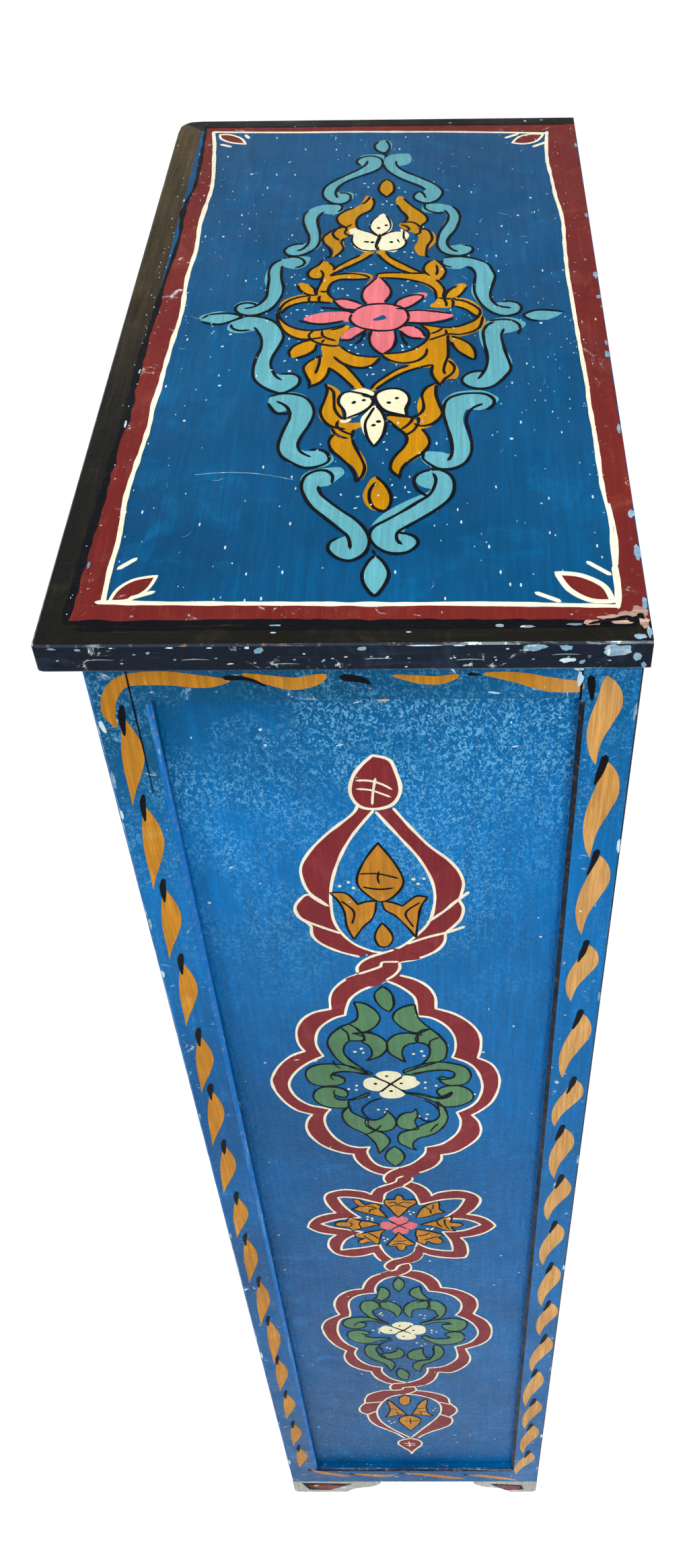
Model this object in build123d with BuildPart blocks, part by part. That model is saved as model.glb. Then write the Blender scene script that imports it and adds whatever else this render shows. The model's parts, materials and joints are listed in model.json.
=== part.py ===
from build123d import *
import os
from math import cos, hypot, pi, sin, sqrt

# A painted two-door cabinet with carved door panels, standing on low bracket feet.
# Millimetres, +Z up, doors facing -Y. The origin is on the floor, under the centre
# of the top. Right-hand pieces (+X) are modelled and the left-hand ones mirrored.

# Overall
cabinet_height = 1510.0  # floor to the upper face of the top
top_width = 650.0  # along X
top_depth = 330.0  # along Y
top_thickness = 20.0
top_overhang = 18.0  # past the front and both sides, flush at the back
foot_height = 42.0

# Lipping nailed round the front and both ends of the top
lipping_width = 20.0
lipping_chamfer = 1.5
lipping_corner = 4.0  # radius of the two front corners in plan

# Face frame of the front
face_frame_thickness = 24.5
post_width = 42.0
top_rail_height = 42.0  # front and sides alike
bottom_rail_height = 44.0  # front and sides alike
frame_tenon_thickness = 10.0
frame_tenon_length = 22.0
frame_tenon_shoulder = 6.0

# Framed side walls
side_thickness = 20.0
side_strip_width = 10.0  # stile behind each front post
rear_stile_width = 34.0  # as far as the back
side_panel_recess = 9.0
side_panel_thickness = 8.0
side_groove_depth = 6.0
bevel = 3.0  # along the frame's inner edges, round the panel

# Fits between glued and floating pieces
groove_clearance = 0.15  # each side of a tongue, tenon or panel
edge_clearance = 0.5  # from the end of a tongue to the bottom of its groove
lying_clearance = 0.5  # round a loose shelf

# Back, shelves and stops
back_thickness = 12.0
back_board_count = 3
back_board_gap = 0.6
back_rebate = 10.0  # width cut out of each rear stile to take the back boards
rear_rail_thickness = 18.0
shelf_thickness = 16.0
shelf_count = 3
shelf_setback = 4.0  # from the back of the face frame
cleat_width = 12.0
cleat_height = 18.0
bottom_board_rise = 8.0  # above the bottom rail, where the doors shut against it
door_stop_thickness = 12.0
door_stop_height = 30.0
door_stop_drop = 12.0  # below the top rail

# Bracket feet
foot_thickness = 20.0
foot_lip = 6.0  # depth left where the curve meets the rail
foot_corner = 7.0  # rounded outer corner
front_foot_flat = 68.0
front_foot_curve = 44.0
rear_foot_flat = 34.0
rear_foot_curve = 47.0

# Doors
door_stop_gap = 0.5  # between a shut door and its stop
door_end_gap = 2.0  # above and below
meeting_clearance = 0.3  # left between both doors as their edges swing past
door_stile_width = 45.0
door_top_rail = 50.0
door_lock_rail = 45.0
door_bottom_rail = 60.0
door_lower_panel = 250.0  # visible height
door_panel_thickness = 12.0
door_panel_recess = 5.0
door_groove_depth = 8.0
door_moulding = 3.0  # bevel round each panel

# Carving
carve_border = 10.0  # plain margin of a panel
carve_step = 2.0  # depth of the sunk field
carve_depth = 3.5  # of each chip's point, below the face that it is cut in
arch_lift = 26.0  # from the springing up to the arcs' centres
arch_offset = 13.0  # of each arc's centre past the middle line
petal_count = 8
rosette_margin = 7.0  # left between rings of chips
rosette_eye = 5.0  # radius of the plain boss in a rosette's middle
petal_width = 13.0
petal_cuts = 3  # straight cuts down each side of a petal
point_width = 11.0
corner_reach = 108.0  # from a star's middle to the far end of a corner's chip
margin_chip = 24.0  # length of the chips down the middle panel's margins
margin_width = 6.0
star_ratio = 0.42  # reach of a star's rays to the pitch of the motifs
motif_count = 5  # down the middle panel

# Butt hinges, with their leaves in the gap beside each door
hinge_count = 3
hinge_inset = 120.0  # from a door's end to the hinge's middle
hinge_length = 60.0
leaf_thickness = 1.2
leaf_width = 20.0
leaf_gap = 0.6  # between the two leaves of a shut hinge
leaf_setback = 0.4  # behind the door's face
knuckle_radius = 3.5
knuckle_count = 3
knuckle_gap = 0.3
round_sides = 12  # facets of a knuckle and its pin
pin_radius = 2.0
pin_clearance = 0.04
pin_head_radius = 3.1
pin_head_height = 1.2
pin_head_gap = 0.1
pin_head_slope = 30.0  # degrees

# Ring pulls
pull_height = 780.0
plate_radius = 17.0
plate_thickness = 1.6
plate_sides = 8
boss_radius = 8.0
boss_height = 1.4
boss_slope = 40.0  # degrees
eye_radius = 4.4
eye_length = 4.0
eye_neck = 5.0  # width of the stalk behind the eye
ring_standoff = 6.4  # from the door's face to the ring's wire
ring_radius = 15.0
ring_wire = 2.0
ring_sides = 8  # facets left by the hammer, round the wire
ring_bends = 24  # straight lengths between bends, round the ring
ring_clearance = 0.4

# Turn button that holds the doors shut
button_rise = 90.0  # above the pulls
button_inset = 14.0  # of its screw from the door's meeting edge
button_length = 56.0
button_width = 15.0
button_thickness = 6.0
button_corner = 4.0
button_chamfer = 1.5
button_gap = 0.5  # clear of the doors' faces
screw_radius = 2.0
screw_clearance = 0.06
screw_depth = 14.0  # into the stile
screw_head_radius = 4.6
screw_head_height = 2.0
screw_head_gap = 0.2
slot_width = 1.0
slot_depth = 0.9

# Planes and limits of the carcass
side_x = top_width / 2 - top_overhang
front_y = -top_depth / 2 + top_overhang
back_y = top_depth / 2
carcass_top = cabinet_height - top_thickness
side_inner_x = side_x - side_thickness
opening_x = side_x - post_width
frame_back_y = front_y + face_frame_thickness
strip_y = frame_back_y + side_strip_width
back_board_y = back_y - back_thickness
stile_y = back_y - rear_stile_width
rebate_x = side_inner_x + back_rebate
top_rail_z = carcass_top - top_rail_height
bottom_rail_z = foot_height + bottom_rail_height
panel_outer_x = side_x - side_panel_recess
panel_inner_x = panel_outer_x - side_panel_thickness
bottom_board_z = bottom_rail_z + bottom_board_rise
bay_height = (carcass_top - bottom_board_z - shelf_count * shelf_thickness) / (shelf_count + 1)

# Planes and limits of the right-hand door
door_thickness = face_frame_thickness - door_stop_gap
hinge_gap = 2 * leaf_thickness + leaf_gap
meeting_gap = (door_thickness + knuckle_radius) ** 2 / opening_x + meeting_clearance
door_in_x = meeting_gap / 2
door_out_x = opening_x - hinge_gap
door_low_z = bottom_rail_z + door_end_gap
door_high_z = top_rail_z - door_end_gap
door_back_y = front_y + door_thickness
panel_low_x = door_in_x + door_stile_width
panel_high_x = door_out_x - door_stile_width
panel_x = (panel_low_x + panel_high_x) / 2
panel_width = panel_high_x - panel_low_x
door_panel_y = front_y + door_panel_recess
groove_back_y = door_panel_y + door_panel_thickness
lower_panel_z = (door_low_z + door_bottom_rail, door_low_z + door_bottom_rail + door_lower_panel)
upper_panel_z = (door_high_z - door_top_rail - panel_width, door_high_z - door_top_rail)
middle_panel_z = (lower_panel_z[1] + door_lock_rail, upper_panel_z[0] - door_lock_rail)

# Hinge and fitting axes
hinge_x = opening_x - hinge_gap / 2
hinge_y = front_y - knuckle_radius
hinge_span = door_high_z - door_low_z - 2 * hinge_inset
hinge_heights = [door_low_z + hinge_inset + i * hinge_span / (hinge_count - 1) for i in range(hinge_count)]
pull_x = door_in_x + door_stile_width / 2
ring_y = front_y - ring_standoff
button_x = -door_in_x - button_inset
button_z = pull_height + button_rise


def save(piece, name):
    # Label a finished piece and write it to its own file.
    piece.part.label = name
    export_step(piece.part, f"parts/{name}.step")


def save_pair(piece, name):
    # Write a right-hand piece and its mirror image.
    save(piece, f"{name}_right")
    with BuildPart() as opposite:
        mirror(piece.part, about=Plane.YZ)
    save(opposite, f"{name}_left")


def block(x, y, z, mode=Mode.ADD):
    # A board between pairs of limits, in the part that is being built.
    with Locations(((x[0] + x[1]) / 2, (y[0] + y[1]) / 2, (z[0] + z[1]) / 2)):
        Box(x[1] - x[0], y[1] - y[0], z[1] - z[0], mode=mode)


def grown(limits, amount):
    # A pair of limits moved outwards by an amount, or inwards if it is negative.
    return (limits[0] - amount, limits[1] + amount)


def facing_front(x, y, z):
    # An upright plane that looks out of the front, its own y axis pointing up.
    return Plane(origin=(x, y, z), x_dir=(1, 0, 0), z_dir=(0, -1, 0))


os.makedirs("parts", exist_ok=True)

# ---- The top: a board with mitred lipping on three edges
lipping_in_x = top_width / 2 - lipping_width
lipping_in_y = -top_depth / 2 + lipping_width
top_z = (carcass_top, cabinet_height)

with BuildPart() as top_board:
    block((-lipping_in_x, lipping_in_x), (lipping_in_y, back_y), top_z)
save(top_board, "top_board")

with BuildPart() as lipping:
    with BuildSketch(Plane.XY.offset(carcass_top)):
        Rectangle(top_width, top_depth)
        front_corners = vertices().group_by(Axis.Y)[0]
        fillet(front_corners, radius=lipping_corner)
        with Locations((0, (lipping_in_y + back_y) / 2)):
            Rectangle(2 * lipping_in_x, back_y - lipping_in_y, mode=Mode.SUBTRACT)
    extrude(amount=top_thickness)
    outer_edges = edges().filter_by(
        lambda e: abs(e.center().X) > top_width / 2 - lipping_corner
        or e.center().Y < -top_depth / 2 + lipping_corner
    )
    chamfer(outer_edges.filter_by(Axis.Z, reverse=True).filter_by(
        lambda e: e.length > lipping_width
    ), length=lipping_chamfer)

mitre_right = Plane(origin=(lipping_in_x, lipping_in_y, 0), x_dir=(1, -1, 0), z_dir=(1, 1, 0))
mitre_left = Plane(origin=(-lipping_in_x, lipping_in_y, 0), x_dir=(1, 1, 0), z_dir=(-1, 1, 0))

with BuildPart() as top_lipping_side:
    add(lipping.part)
    split(bisect_by=mitre_right, keep=Keep.TOP)
save_pair(top_lipping_side, "top_lipping")

with BuildPart() as top_lipping_front:
    add(lipping.part)
    split(bisect_by=mitre_right, keep=Keep.BOTTOM)
    split(bisect_by=mitre_left, keep=Keep.BOTTOM)
save(top_lipping_front, "top_lipping_front")

# ---- The face frame: two posts joined by a top and a bottom rail
front_limits = (front_y, frame_back_y)
tenon_y = grown(((front_y + frame_back_y) / 2,) * 2, frame_tenon_thickness / 2)
front_rails = {
    "front_top_rail": (top_rail_z, carcass_top),
    "front_bottom_rail": (foot_height, bottom_rail_z),
}

with BuildPart() as front_post:
    block((opening_x, side_x), front_limits, (foot_height, carcass_top))
    for rail_z in front_rails.values():
        block(
            (opening_x, opening_x + frame_tenon_length + edge_clearance),
            grown(tenon_y, groove_clearance),
            grown(rail_z, groove_clearance - frame_tenon_shoulder),
            mode=Mode.SUBTRACT,
        )
save_pair(front_post, "front_post")

for name, rail_z in front_rails.items():
    with BuildPart() as front_rail:
        block((-opening_x, opening_x), front_limits, rail_z)
        block(
            grown((-opening_x, opening_x), frame_tenon_length),
            tenon_y,
            grown(rail_z, -frame_tenon_shoulder),
        )
    save(front_rail, name)

# ---- The side walls: a thin panel held in grooves between stiles and rails
side_limits = (side_inner_x, side_x)
groove_x = (panel_inner_x, panel_outer_x)
panel_opening_z = (bottom_rail_z, top_rail_z)
side_stiles = {
    "side_front_strip": ((frame_back_y, strip_y), strip_y, -1, side_inner_x),
    "side_rear_stile": ((stile_y, back_y), stile_y, 1, rebate_x),
}
side_rails = {
    "side_top_rail": ((top_rail_z, carcass_top), top_rail_z, 1),
    "side_bottom_rail": ((foot_height, bottom_rail_z), bottom_rail_z, -1),
}

for name, (stile_limits, inner_y, outward, cut_x) in side_stiles.items():
    groove_end = inner_y + outward * side_groove_depth
    with BuildPart() as side_stile:
        block(side_limits, stile_limits, (foot_height, carcass_top))
        if cut_x > side_inner_x:
            block(
                (side_inner_x, cut_x),
                (back_board_y, back_y),
                (foot_height, carcass_top),
                mode=Mode.SUBTRACT,
            )
        block(
            grown(groove_x, groove_clearance),
            sorted((inner_y, groove_end)),
            (foot_height, carcass_top),
            mode=Mode.SUBTRACT,
        )
        with BuildSketch(Plane.XY.offset(bottom_rail_z)):
            with BuildLine():
                Polyline(
                    (side_x - bevel, inner_y),
                    (side_x, inner_y),
                    (side_x, inner_y + outward * bevel),
                    close=True,
                )
            make_face()
        extrude(amount=top_rail_z - bottom_rail_z, mode=Mode.SUBTRACT)
    save_pair(side_stile, name)

for name, (rail_z, inner_z, outward) in side_rails.items():
    with BuildPart() as side_rail:
        block(side_limits, (strip_y, stile_y), rail_z)
        inner_edge = edges().filter_by(Axis.Y).sort_by(
            lambda e: hypot(e.center().X - side_x, e.center().Z - inner_z)
        )[0]
        chamfer(inner_edge, length=bevel)
        block(groove_x, grown((strip_y, stile_y), side_groove_depth - edge_clearance), rail_z)
        block(
            grown(groove_x, groove_clearance),
            grown((strip_y, stile_y), side_groove_depth),
            sorted((inner_z, inner_z + outward * side_groove_depth)),
            mode=Mode.SUBTRACT,
        )
    save_pair(side_rail, name)

with BuildPart() as side_panel:
    panel_grip = side_groove_depth - edge_clearance
    block(groove_x, grown((strip_y, stile_y), panel_grip), grown(panel_opening_z, panel_grip))
save_pair(side_panel, "side_panel")

# ---- Inside and back: rear rail, bottom board, shelves on cleats, upright back boards
inner_limits = (-side_inner_x, side_inner_x)

with BuildPart() as rear_rail:
    block(inner_limits, (back_board_y - rear_rail_thickness, back_board_y), (top_rail_z, carcass_top))
save(rear_rail, "rear_rail")

with BuildPart() as bottom_board:
    block(inner_limits, (frame_back_y, back_board_y), (bottom_board_z - shelf_thickness, bottom_board_z))
save(bottom_board, "bottom_board")

shelf_undersides = [
    bottom_board_z + bay_height + i * (bay_height + shelf_thickness) for i in range(shelf_count)
]
for i, underside in enumerate(shelf_undersides):
    with BuildPart() as shelf:
        block(
            grown(inner_limits, -lying_clearance),
            (frame_back_y + shelf_setback, back_board_y - lying_clearance),
            (underside, underside + shelf_thickness),
        )
    save(shelf, f"shelf_{i + 1}")

with BuildPart() as shelf_cleats:
    for underside in [bottom_board_z - shelf_thickness] + shelf_undersides:
        for side in (-1, 1):
            block(
                sorted((side * side_inner_x, side * (side_inner_x - cleat_width))),
                (frame_back_y, back_board_y),
                (underside - cleat_height, underside),
            )
save(shelf_cleats, "shelf_cleats")

with BuildPart() as door_stop:
    block(
        (-opening_x, opening_x),
        (frame_back_y, frame_back_y + door_stop_thickness),
        (top_rail_z - door_stop_drop, top_rail_z - door_stop_drop + door_stop_height),
    )
save(door_stop, "door_stop")

back_start_x = edge_clearance - rebate_x
back_board_pitch = (-2 * back_start_x + back_board_gap) / back_board_count
for i in range(back_board_count):
    board_x = back_start_x + i * back_board_pitch
    with BuildPart() as back_board:
        block(
            (board_x, board_x + back_board_pitch - back_board_gap),
            (back_board_y, back_y),
            (foot_height, carcass_top),
        )
    save(back_board, f"back_board_{i + 1}")


# ---- Bracket feet: a flat pad that sweeps up in an ogee under the bottom rails
def foot_outline(flat, curve):
    # Seen from the side, the outer corner at the origin and the wing along +x.
    crest = foot_height - foot_lip
    middle = (flat + curve / 2, crest / 2)
    bow = hypot(curve, crest) / 2
    with BuildSketch() as outline:
        with BuildLine():
            Line((foot_corner, 0), (flat, 0))
            RadiusArc((flat, 0), middle, bow)
            RadiusArc(middle, (flat + curve, crest), -bow)
            Polyline(
                (flat + curve, crest), (flat + curve, foot_height), (0, foot_height), (0, foot_corner)
            )
            RadiusArc((0, foot_corner), (foot_corner, 0), -foot_corner)
        make_face()
    return outline.sketch


front_foot = foot_outline(front_foot_flat, front_foot_curve)
rear_foot = foot_outline(rear_foot_flat, rear_foot_curve)
foot_plane_front = Plane(origin=(side_x, front_y, 0), x_dir=(0, 1, 0), z_dir=(1, 0, 0))
foot_plane_rear = Plane(origin=(side_x - foot_thickness, back_y, 0), x_dir=(0, -1, 0), z_dir=(-1, 0, 0))
foot_plane_wing = Plane(origin=(side_x, front_y, 0), x_dir=(-1, 0, 0), z_dir=(0, 1, 0))

with BuildPart() as foot_front:
    with BuildSketch(foot_plane_front):
        add(front_foot)
    extrude(amount=-foot_thickness)
    with BuildSketch(foot_plane_wing):
        add(front_foot)
    extrude(amount=foot_thickness)
save_pair(foot_front, "foot_front")

with BuildPart() as foot_rear:
    with BuildSketch(foot_plane_rear):
        add(rear_foot)
    extrude(amount=-foot_thickness)
save_pair(foot_rear, "foot_rear")

# ---- Carving tools: V-cut chips whose walls run down to a point under their middle
def leaf_outline(inner, outer, width):
    # A leaf with two pointed ends on the x axis, its sides in straight cuts.
    cut_length = (outer - inner) / petal_cuts
    side = [
        (inner + i * cut_length, width / 2 * sin(pi * i / petal_cuts)) for i in range(petal_cuts + 1)
    ]
    with BuildSketch() as outline:
        with BuildLine():
            Polyline(side)
            mirror(about=Plane.XZ)
        make_face()
    return outline.sketch


def kite_outline(inner, outer, width):
    # A straight-sided diamond with two corners on the x axis.
    middle = (inner + outer) / 2
    with BuildSketch() as outline:
        with BuildLine():
            Polyline((inner, 0), (middle, -width / 2), (outer, 0), (middle, width / 2), close=True)
        make_face()
    return outline.sketch


def chip(outline):
    # The wood that leaves a face at z = 0 when the outline is cut to a point.
    centre = outline.center()
    with BuildPart() as cut:
        loft([outline.face(), Vertex(centre.X, centre.Y, -carve_depth)], ruled=True)
    return cut.part


def star_outline(half_side):
    # Two equal squares, one turned by an eighth of a turn.
    with BuildSketch() as outline:
        Rectangle(2 * half_side, 2 * half_side)
        Rectangle(2 * half_side, 2 * half_side, rotation=45)
    return outline.sketch


def arch_outline(half_span, foot_y, apex_y):
    # A pointed horseshoe arch on straight jambs; each arc's centre lies past the middle.
    radius = hypot(half_span + arch_offset, arch_lift)
    rise = sqrt(radius**2 - arch_offset**2)
    centre_y = apex_y - rise
    spring_y = centre_y - arch_lift
    widest = radius - arch_offset
    with BuildSketch() as outline:
        with BuildLine():
            Line((0, foot_y), (half_span, foot_y))
            Line((half_span, foot_y), (half_span, spring_y))
            ThreePointArc((half_span, spring_y), (widest, centre_y), (0, apex_y))
            mirror(about=Plane.YZ)
        make_face()
    return outline.sketch, centre_y


def sink_field(outline, height):
    # Lower the inside of an outline by one step, below the panel's face.
    with BuildSketch(facing_front(panel_x, door_panel_y, height)) as field:
        add(outline)
    extrude(field.sketch, amount=-carve_step, mode=Mode.SUBTRACT)


def cut_round(cutter, height, depth, count, start=0.0):
    # Cut equal chips round a middle, each turned on from the last.
    with Locations(facing_front(panel_x, door_panel_y + depth, height)):
        with PolarLocations(0, count, start_angle=start):
            add(cutter, mode=Mode.SUBTRACT)


def cut_row(cutter, height, count, pitch):
    # Cut equal chips in an upright row down both margins of the panel's face.
    with Locations(facing_front(panel_x, door_panel_y, height)):
        with GridLocations(panel_width - carve_border, pitch, 2, count):
            add(cutter, rotation=(0, 0, 90), mode=Mode.SUBTRACT)


def door_panel_blank(height_limits):
    # The plain panel, held in grooves on all four edges.
    grip = door_groove_depth - edge_clearance
    block(
        grown((panel_low_x, panel_high_x), grip),
        (door_panel_y, groove_back_y),
        grown(height_limits, grip),
    )


# ---- Door frames: stiles and rails grooved for the panels, bevelled round them
panel_heights = (lower_panel_z, middle_panel_z, upper_panel_z)
panel_groove_y = grown((door_panel_y, groove_back_y), groove_clearance)
door_limits_y = (front_y, door_back_y)
door_stiles = {
    "door_hinge_stile": ((panel_high_x, door_out_x), panel_high_x, 1),
    "door_meeting_stile": ((door_in_x, panel_low_x), panel_low_x, -1),
}
door_rails = {
    "door_bottom_rail": (door_low_z, lower_panel_z[0]),
    "door_lower_lock_rail": (lower_panel_z[1], middle_panel_z[0]),
    "door_upper_lock_rail": (middle_panel_z[1], upper_panel_z[0]),
    "door_top_rail": (upper_panel_z[1], door_high_z),
}

for name, (stile_x, inner_x, outward) in door_stiles.items():
    with BuildPart() as door_stile:
        block(stile_x, door_limits_y, (door_low_z, door_high_z))
        block(
            sorted((inner_x, inner_x + outward * door_groove_depth)),
            panel_groove_y,
            (door_low_z, door_high_z),
            mode=Mode.SUBTRACT,
        )
        for panel_z in panel_heights:
            with BuildSketch(Plane.XY.offset(panel_z[0])):
                with BuildLine():
                    Polyline(
                        (inner_x, front_y + door_moulding),
                        (inner_x, front_y),
                        (inner_x + outward * door_moulding, front_y),
                        close=True,
                    )
                make_face()
            extrude(amount=panel_z[1] - panel_z[0], mode=Mode.SUBTRACT)
    if name == "door_meeting_stile":
        save(door_stile, f"{name}_right")
        with BuildPart() as button_stile:
            mirror(door_stile.part, about=Plane.YZ)
            with Locations(facing_front(button_x, front_y, button_z)):
                Hole(radius=screw_radius + screw_clearance, depth=screw_depth + screw_clearance)
        save(button_stile, f"{name}_left")
    else:
        save_pair(door_stile, name)

for name, rail_z in door_rails.items():
    low_edge = rail_z[0] if rail_z[0] > door_low_z else None
    high_edge = rail_z[1] if rail_z[1] < door_high_z else None
    with BuildPart() as door_rail:
        block((panel_low_x, panel_high_x), door_limits_y, rail_z)
        front_edges = edges().filter_by(Axis.X).group_by(Axis.Y)[0].sort_by(Axis.Z)
        if low_edge:
            chamfer(front_edges[0], length=door_moulding)
        if high_edge:
            chamfer(front_edges[-1], length=door_moulding)
        block(
            grown((panel_low_x, panel_high_x), door_groove_depth - edge_clearance),
            (door_panel_y, groove_back_y),
            rail_z,
        )
        for inner_z, outward in ((low_edge, 1), (high_edge, -1)):
            if inner_z:
                block(
                    grown((panel_low_x, panel_high_x), door_groove_depth),
                    panel_groove_y,
                    sorted((inner_z, inner_z + outward * door_groove_depth)),
                    mode=Mode.SUBTRACT,
                )
    save_pair(door_rail, name)

# ---- Carved panels: a star on the top and bottom ones, a horseshoe arch on the middle one
star_half = (panel_width / 2 - carve_border) / sqrt(2)
rosette_radius = star_half - rosette_margin
half_turn = 180 / petal_count
petal_cut = chip(leaf_outline(rosette_eye, rosette_radius, petal_width))
point_cut = chip(kite_outline(rosette_radius, star_half * sqrt(2) - rosette_margin / 2, point_width))
corner_cut = chip(kite_outline(star_half * sqrt(2) + rosette_margin / 2, corner_reach, point_width))
margin_cut = chip(kite_outline(-margin_chip / 2, margin_chip / 2, margin_width))

for name, panel_z in (("door_upper_panel", upper_panel_z), ("door_lower_panel", lower_panel_z)):
    centre_z = (panel_z[0] + panel_z[1]) / 2
    spare = (panel_z[1] - panel_z[0] - panel_width) / 2
    with BuildPart() as star_panel:
        door_panel_blank(panel_z)
        sink_field(star_outline(star_half), centre_z)
        cut_round(petal_cut, centre_z, carve_step, petal_count)
        cut_round(point_cut, centre_z, carve_step, petal_count, half_turn)
        cut_round(corner_cut, centre_z, 0, 4, 45)
        if spare > carve_border:
            for end in (-1, 1):
                band_z = centre_z + end * (panel_width / 2 + spare / 2)
                cut_round(petal_cut, band_z, 0, 2)
    save_pair(star_panel, name)

arch_low = middle_panel_z[0] + carve_border
arch_high = middle_panel_z[1] - carve_border
arch_half_span = panel_width / 2 - 2 * carve_border
arch, head_z = arch_outline(arch_half_span, arch_low, arch_high)
motif_pitch = (head_z - arch_low) / (motif_count - 0.5)
ray_cut = chip(kite_outline(rosette_eye / 2, star_ratio * motif_pitch, point_width))
margin_length = middle_panel_z[1] - middle_panel_z[0] - 2 * carve_border
margin_count = int(margin_length / margin_chip)

with BuildPart() as middle_panel:
    door_panel_blank(middle_panel_z)
    sink_field(arch, 0)
    for i in range(motif_count):
        motif_z = head_z - i * motif_pitch
        if i % 2:
            cut_round(ray_cut, motif_z, carve_step, petal_count)
        else:
            cut_round(petal_cut, motif_z, carve_step, petal_count)
    cut_row(margin_cut, (arch_low + arch_high) / 2, margin_count, margin_length / margin_count)
save_pair(middle_panel, "door_middle_panel")

# ---- Butt hinges: knuckles taken in turn by the frame's leaf and the door's leaf
frame_leaf_x = (hinge_x + leaf_gap / 2, hinge_x + leaf_gap / 2 + leaf_thickness)
door_leaf_x = (hinge_x - leaf_gap / 2 - leaf_thickness, hinge_x - leaf_gap / 2)
knuckle_pitch = hinge_length / knuckle_count


def knuckle_outline(leaf_x):
    # Seen from above: a bored knuckle, with a finger back to the leaf's plate.
    with BuildSketch() as outline:
        with Locations((hinge_x, hinge_y)):
            RegularPolygon(knuckle_radius, round_sides)
        with Locations(((leaf_x[0] + leaf_x[1]) / 2, (hinge_y + front_y + leaf_setback) / 2)):
            Rectangle(leaf_x[1] - leaf_x[0], front_y + leaf_setback - hinge_y)
        with Locations((hinge_x, hinge_y)):
            RegularPolygon(
                pin_radius + pin_clearance, round_sides, major_radius=False, mode=Mode.SUBTRACT
            )
    return outline.sketch


def hinge_leaves(leaf_x, first_knuckle):
    # One leaf of every hinge on the right: plates, and the knuckles taken in turn.
    outline = knuckle_outline(leaf_x)
    for height in hinge_heights:
        low = height - hinge_length / 2
        block(leaf_x, (front_y + leaf_setback, front_y + leaf_width), (low, low + hinge_length))
        for i in range(first_knuckle, knuckle_count, 2):
            with Locations((0, 0, low + i * knuckle_pitch + knuckle_gap / 2)):
                add(extrude(outline, amount=knuckle_pitch - knuckle_gap, mode=Mode.PRIVATE))


with BuildPart() as hinge_frame_leaves:
    hinge_leaves(frame_leaf_x, 0)
    mirror(about=Plane.YZ)
save(hinge_frame_leaves, "hinge_frame_leaves")

with BuildPart() as hinge_door_leaves:
    hinge_leaves(door_leaf_x, 1)
save_pair(hinge_door_leaves, "hinge_door_leaves")

pin_half = hinge_length / 2 + pin_head_gap

with BuildPart() as hinge_pins:
    for height in hinge_heights:
        with BuildSketch(Plane.XY.offset(height - pin_half)):
            with Locations((hinge_x, hinge_y)):
                RegularPolygon(pin_radius, round_sides)
        extrude(amount=2 * pin_half)
        with BuildSketch(Plane.XY.offset(height + pin_half)):
            with Locations((hinge_x, hinge_y)):
                RegularPolygon(pin_head_radius, round_sides)
        extrude(amount=pin_head_height, taper=pin_head_slope)
    mirror(about=Plane.YZ)
save(hinge_pins, "hinge_pins")

# ---- Ring pulls: a star-shaped plate with an eye, and the forged ring that swings in it
eye_plane = Plane(origin=(pull_x, ring_y, pull_height), x_dir=(0, 1, 0), z_dir=(1, 0, 0))

with BuildPart() as ring_plate:
    with BuildSketch(facing_front(pull_x, front_y, pull_height)):
        add(star_outline(plate_radius / sqrt(2)))
    extrude(amount=plate_thickness)
    with BuildSketch(facing_front(pull_x, front_y - plate_thickness, pull_height)):
        RegularPolygon(boss_radius, plate_sides)
    extrude(amount=boss_height, taper=boss_slope)
    with BuildSketch(facing_front(pull_x, front_y, pull_height)):
        Rectangle(eye_length, eye_neck)
    extrude(amount=ring_standoff)
    with BuildSketch(eye_plane):
        Circle(eye_radius)
    extrude(amount=eye_length / 2, both=True)
    with BuildSketch(eye_plane):
        Circle(ring_wire + ring_clearance)
    extrude(amount=plate_radius, both=True, mode=Mode.SUBTRACT)
save_pair(ring_plate, "ring_plate")

bend_turn = 2 * pi / ring_bends
bend_reach = ring_radius / cos(bend_turn / 2)
bends = [
    (bend_reach * sin((i + 0.5) * bend_turn), bend_reach * cos((i + 0.5) * bend_turn))
    for i in range(ring_bends)
]

with BuildPart() as ring:
    with BuildLine(facing_front(pull_x, ring_y, pull_height - ring_radius)):
        Polyline([(0, ring_radius)] + bends + [(0, ring_radius)])
    with BuildSketch(Plane(origin=(pull_x, ring_y, pull_height), x_dir=(0, 0, 1), z_dir=(1, 0, 0))):
        RegularPolygon(ring_wire, ring_sides)
    sweep(transition=Transition.RIGHT)
save_pair(ring, "ring")

# ---- Turn button on the left door's meeting stile, with its screw
button_back_y = front_y - button_gap
button_front_y = button_back_y - button_thickness

with BuildPart() as turn_button:
    with BuildSketch(facing_front(button_x, button_back_y, button_z)):
        Rectangle(button_width, button_length)
        chamfer(vertices(), length=button_corner)
    extrude(amount=button_thickness)
    chamfer(faces().sort_by(Axis.Y)[0].edges(), length=button_chamfer)
    with Locations(facing_front(button_x, button_front_y, button_z)):
        Hole(radius=screw_radius + screw_clearance)
save(turn_button, "turn_button")

with BuildPart() as button_screw:
    head_y = button_front_y - screw_head_gap
    with BuildSketch(facing_front(button_x, head_y, button_z)):
        Circle(screw_head_radius)
    extrude(amount=screw_head_height)
    with BuildSketch(facing_front(button_x, head_y - screw_head_height, button_z)):
        Rectangle(2 * screw_head_radius, slot_width)
    extrude(amount=-slot_depth, mode=Mode.SUBTRACT)
    with BuildSketch(facing_front(button_x, head_y, button_z)):
        Circle(screw_radius)
    extrude(amount=-(screw_depth + button_thickness + button_gap + screw_head_gap))
save(button_screw, "button_screw")
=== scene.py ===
import json
import math
import bmesh
import bpy
from mathutils import Matrix, Vector, noise
from mathutils.geometry import tessellate_polygon

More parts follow.
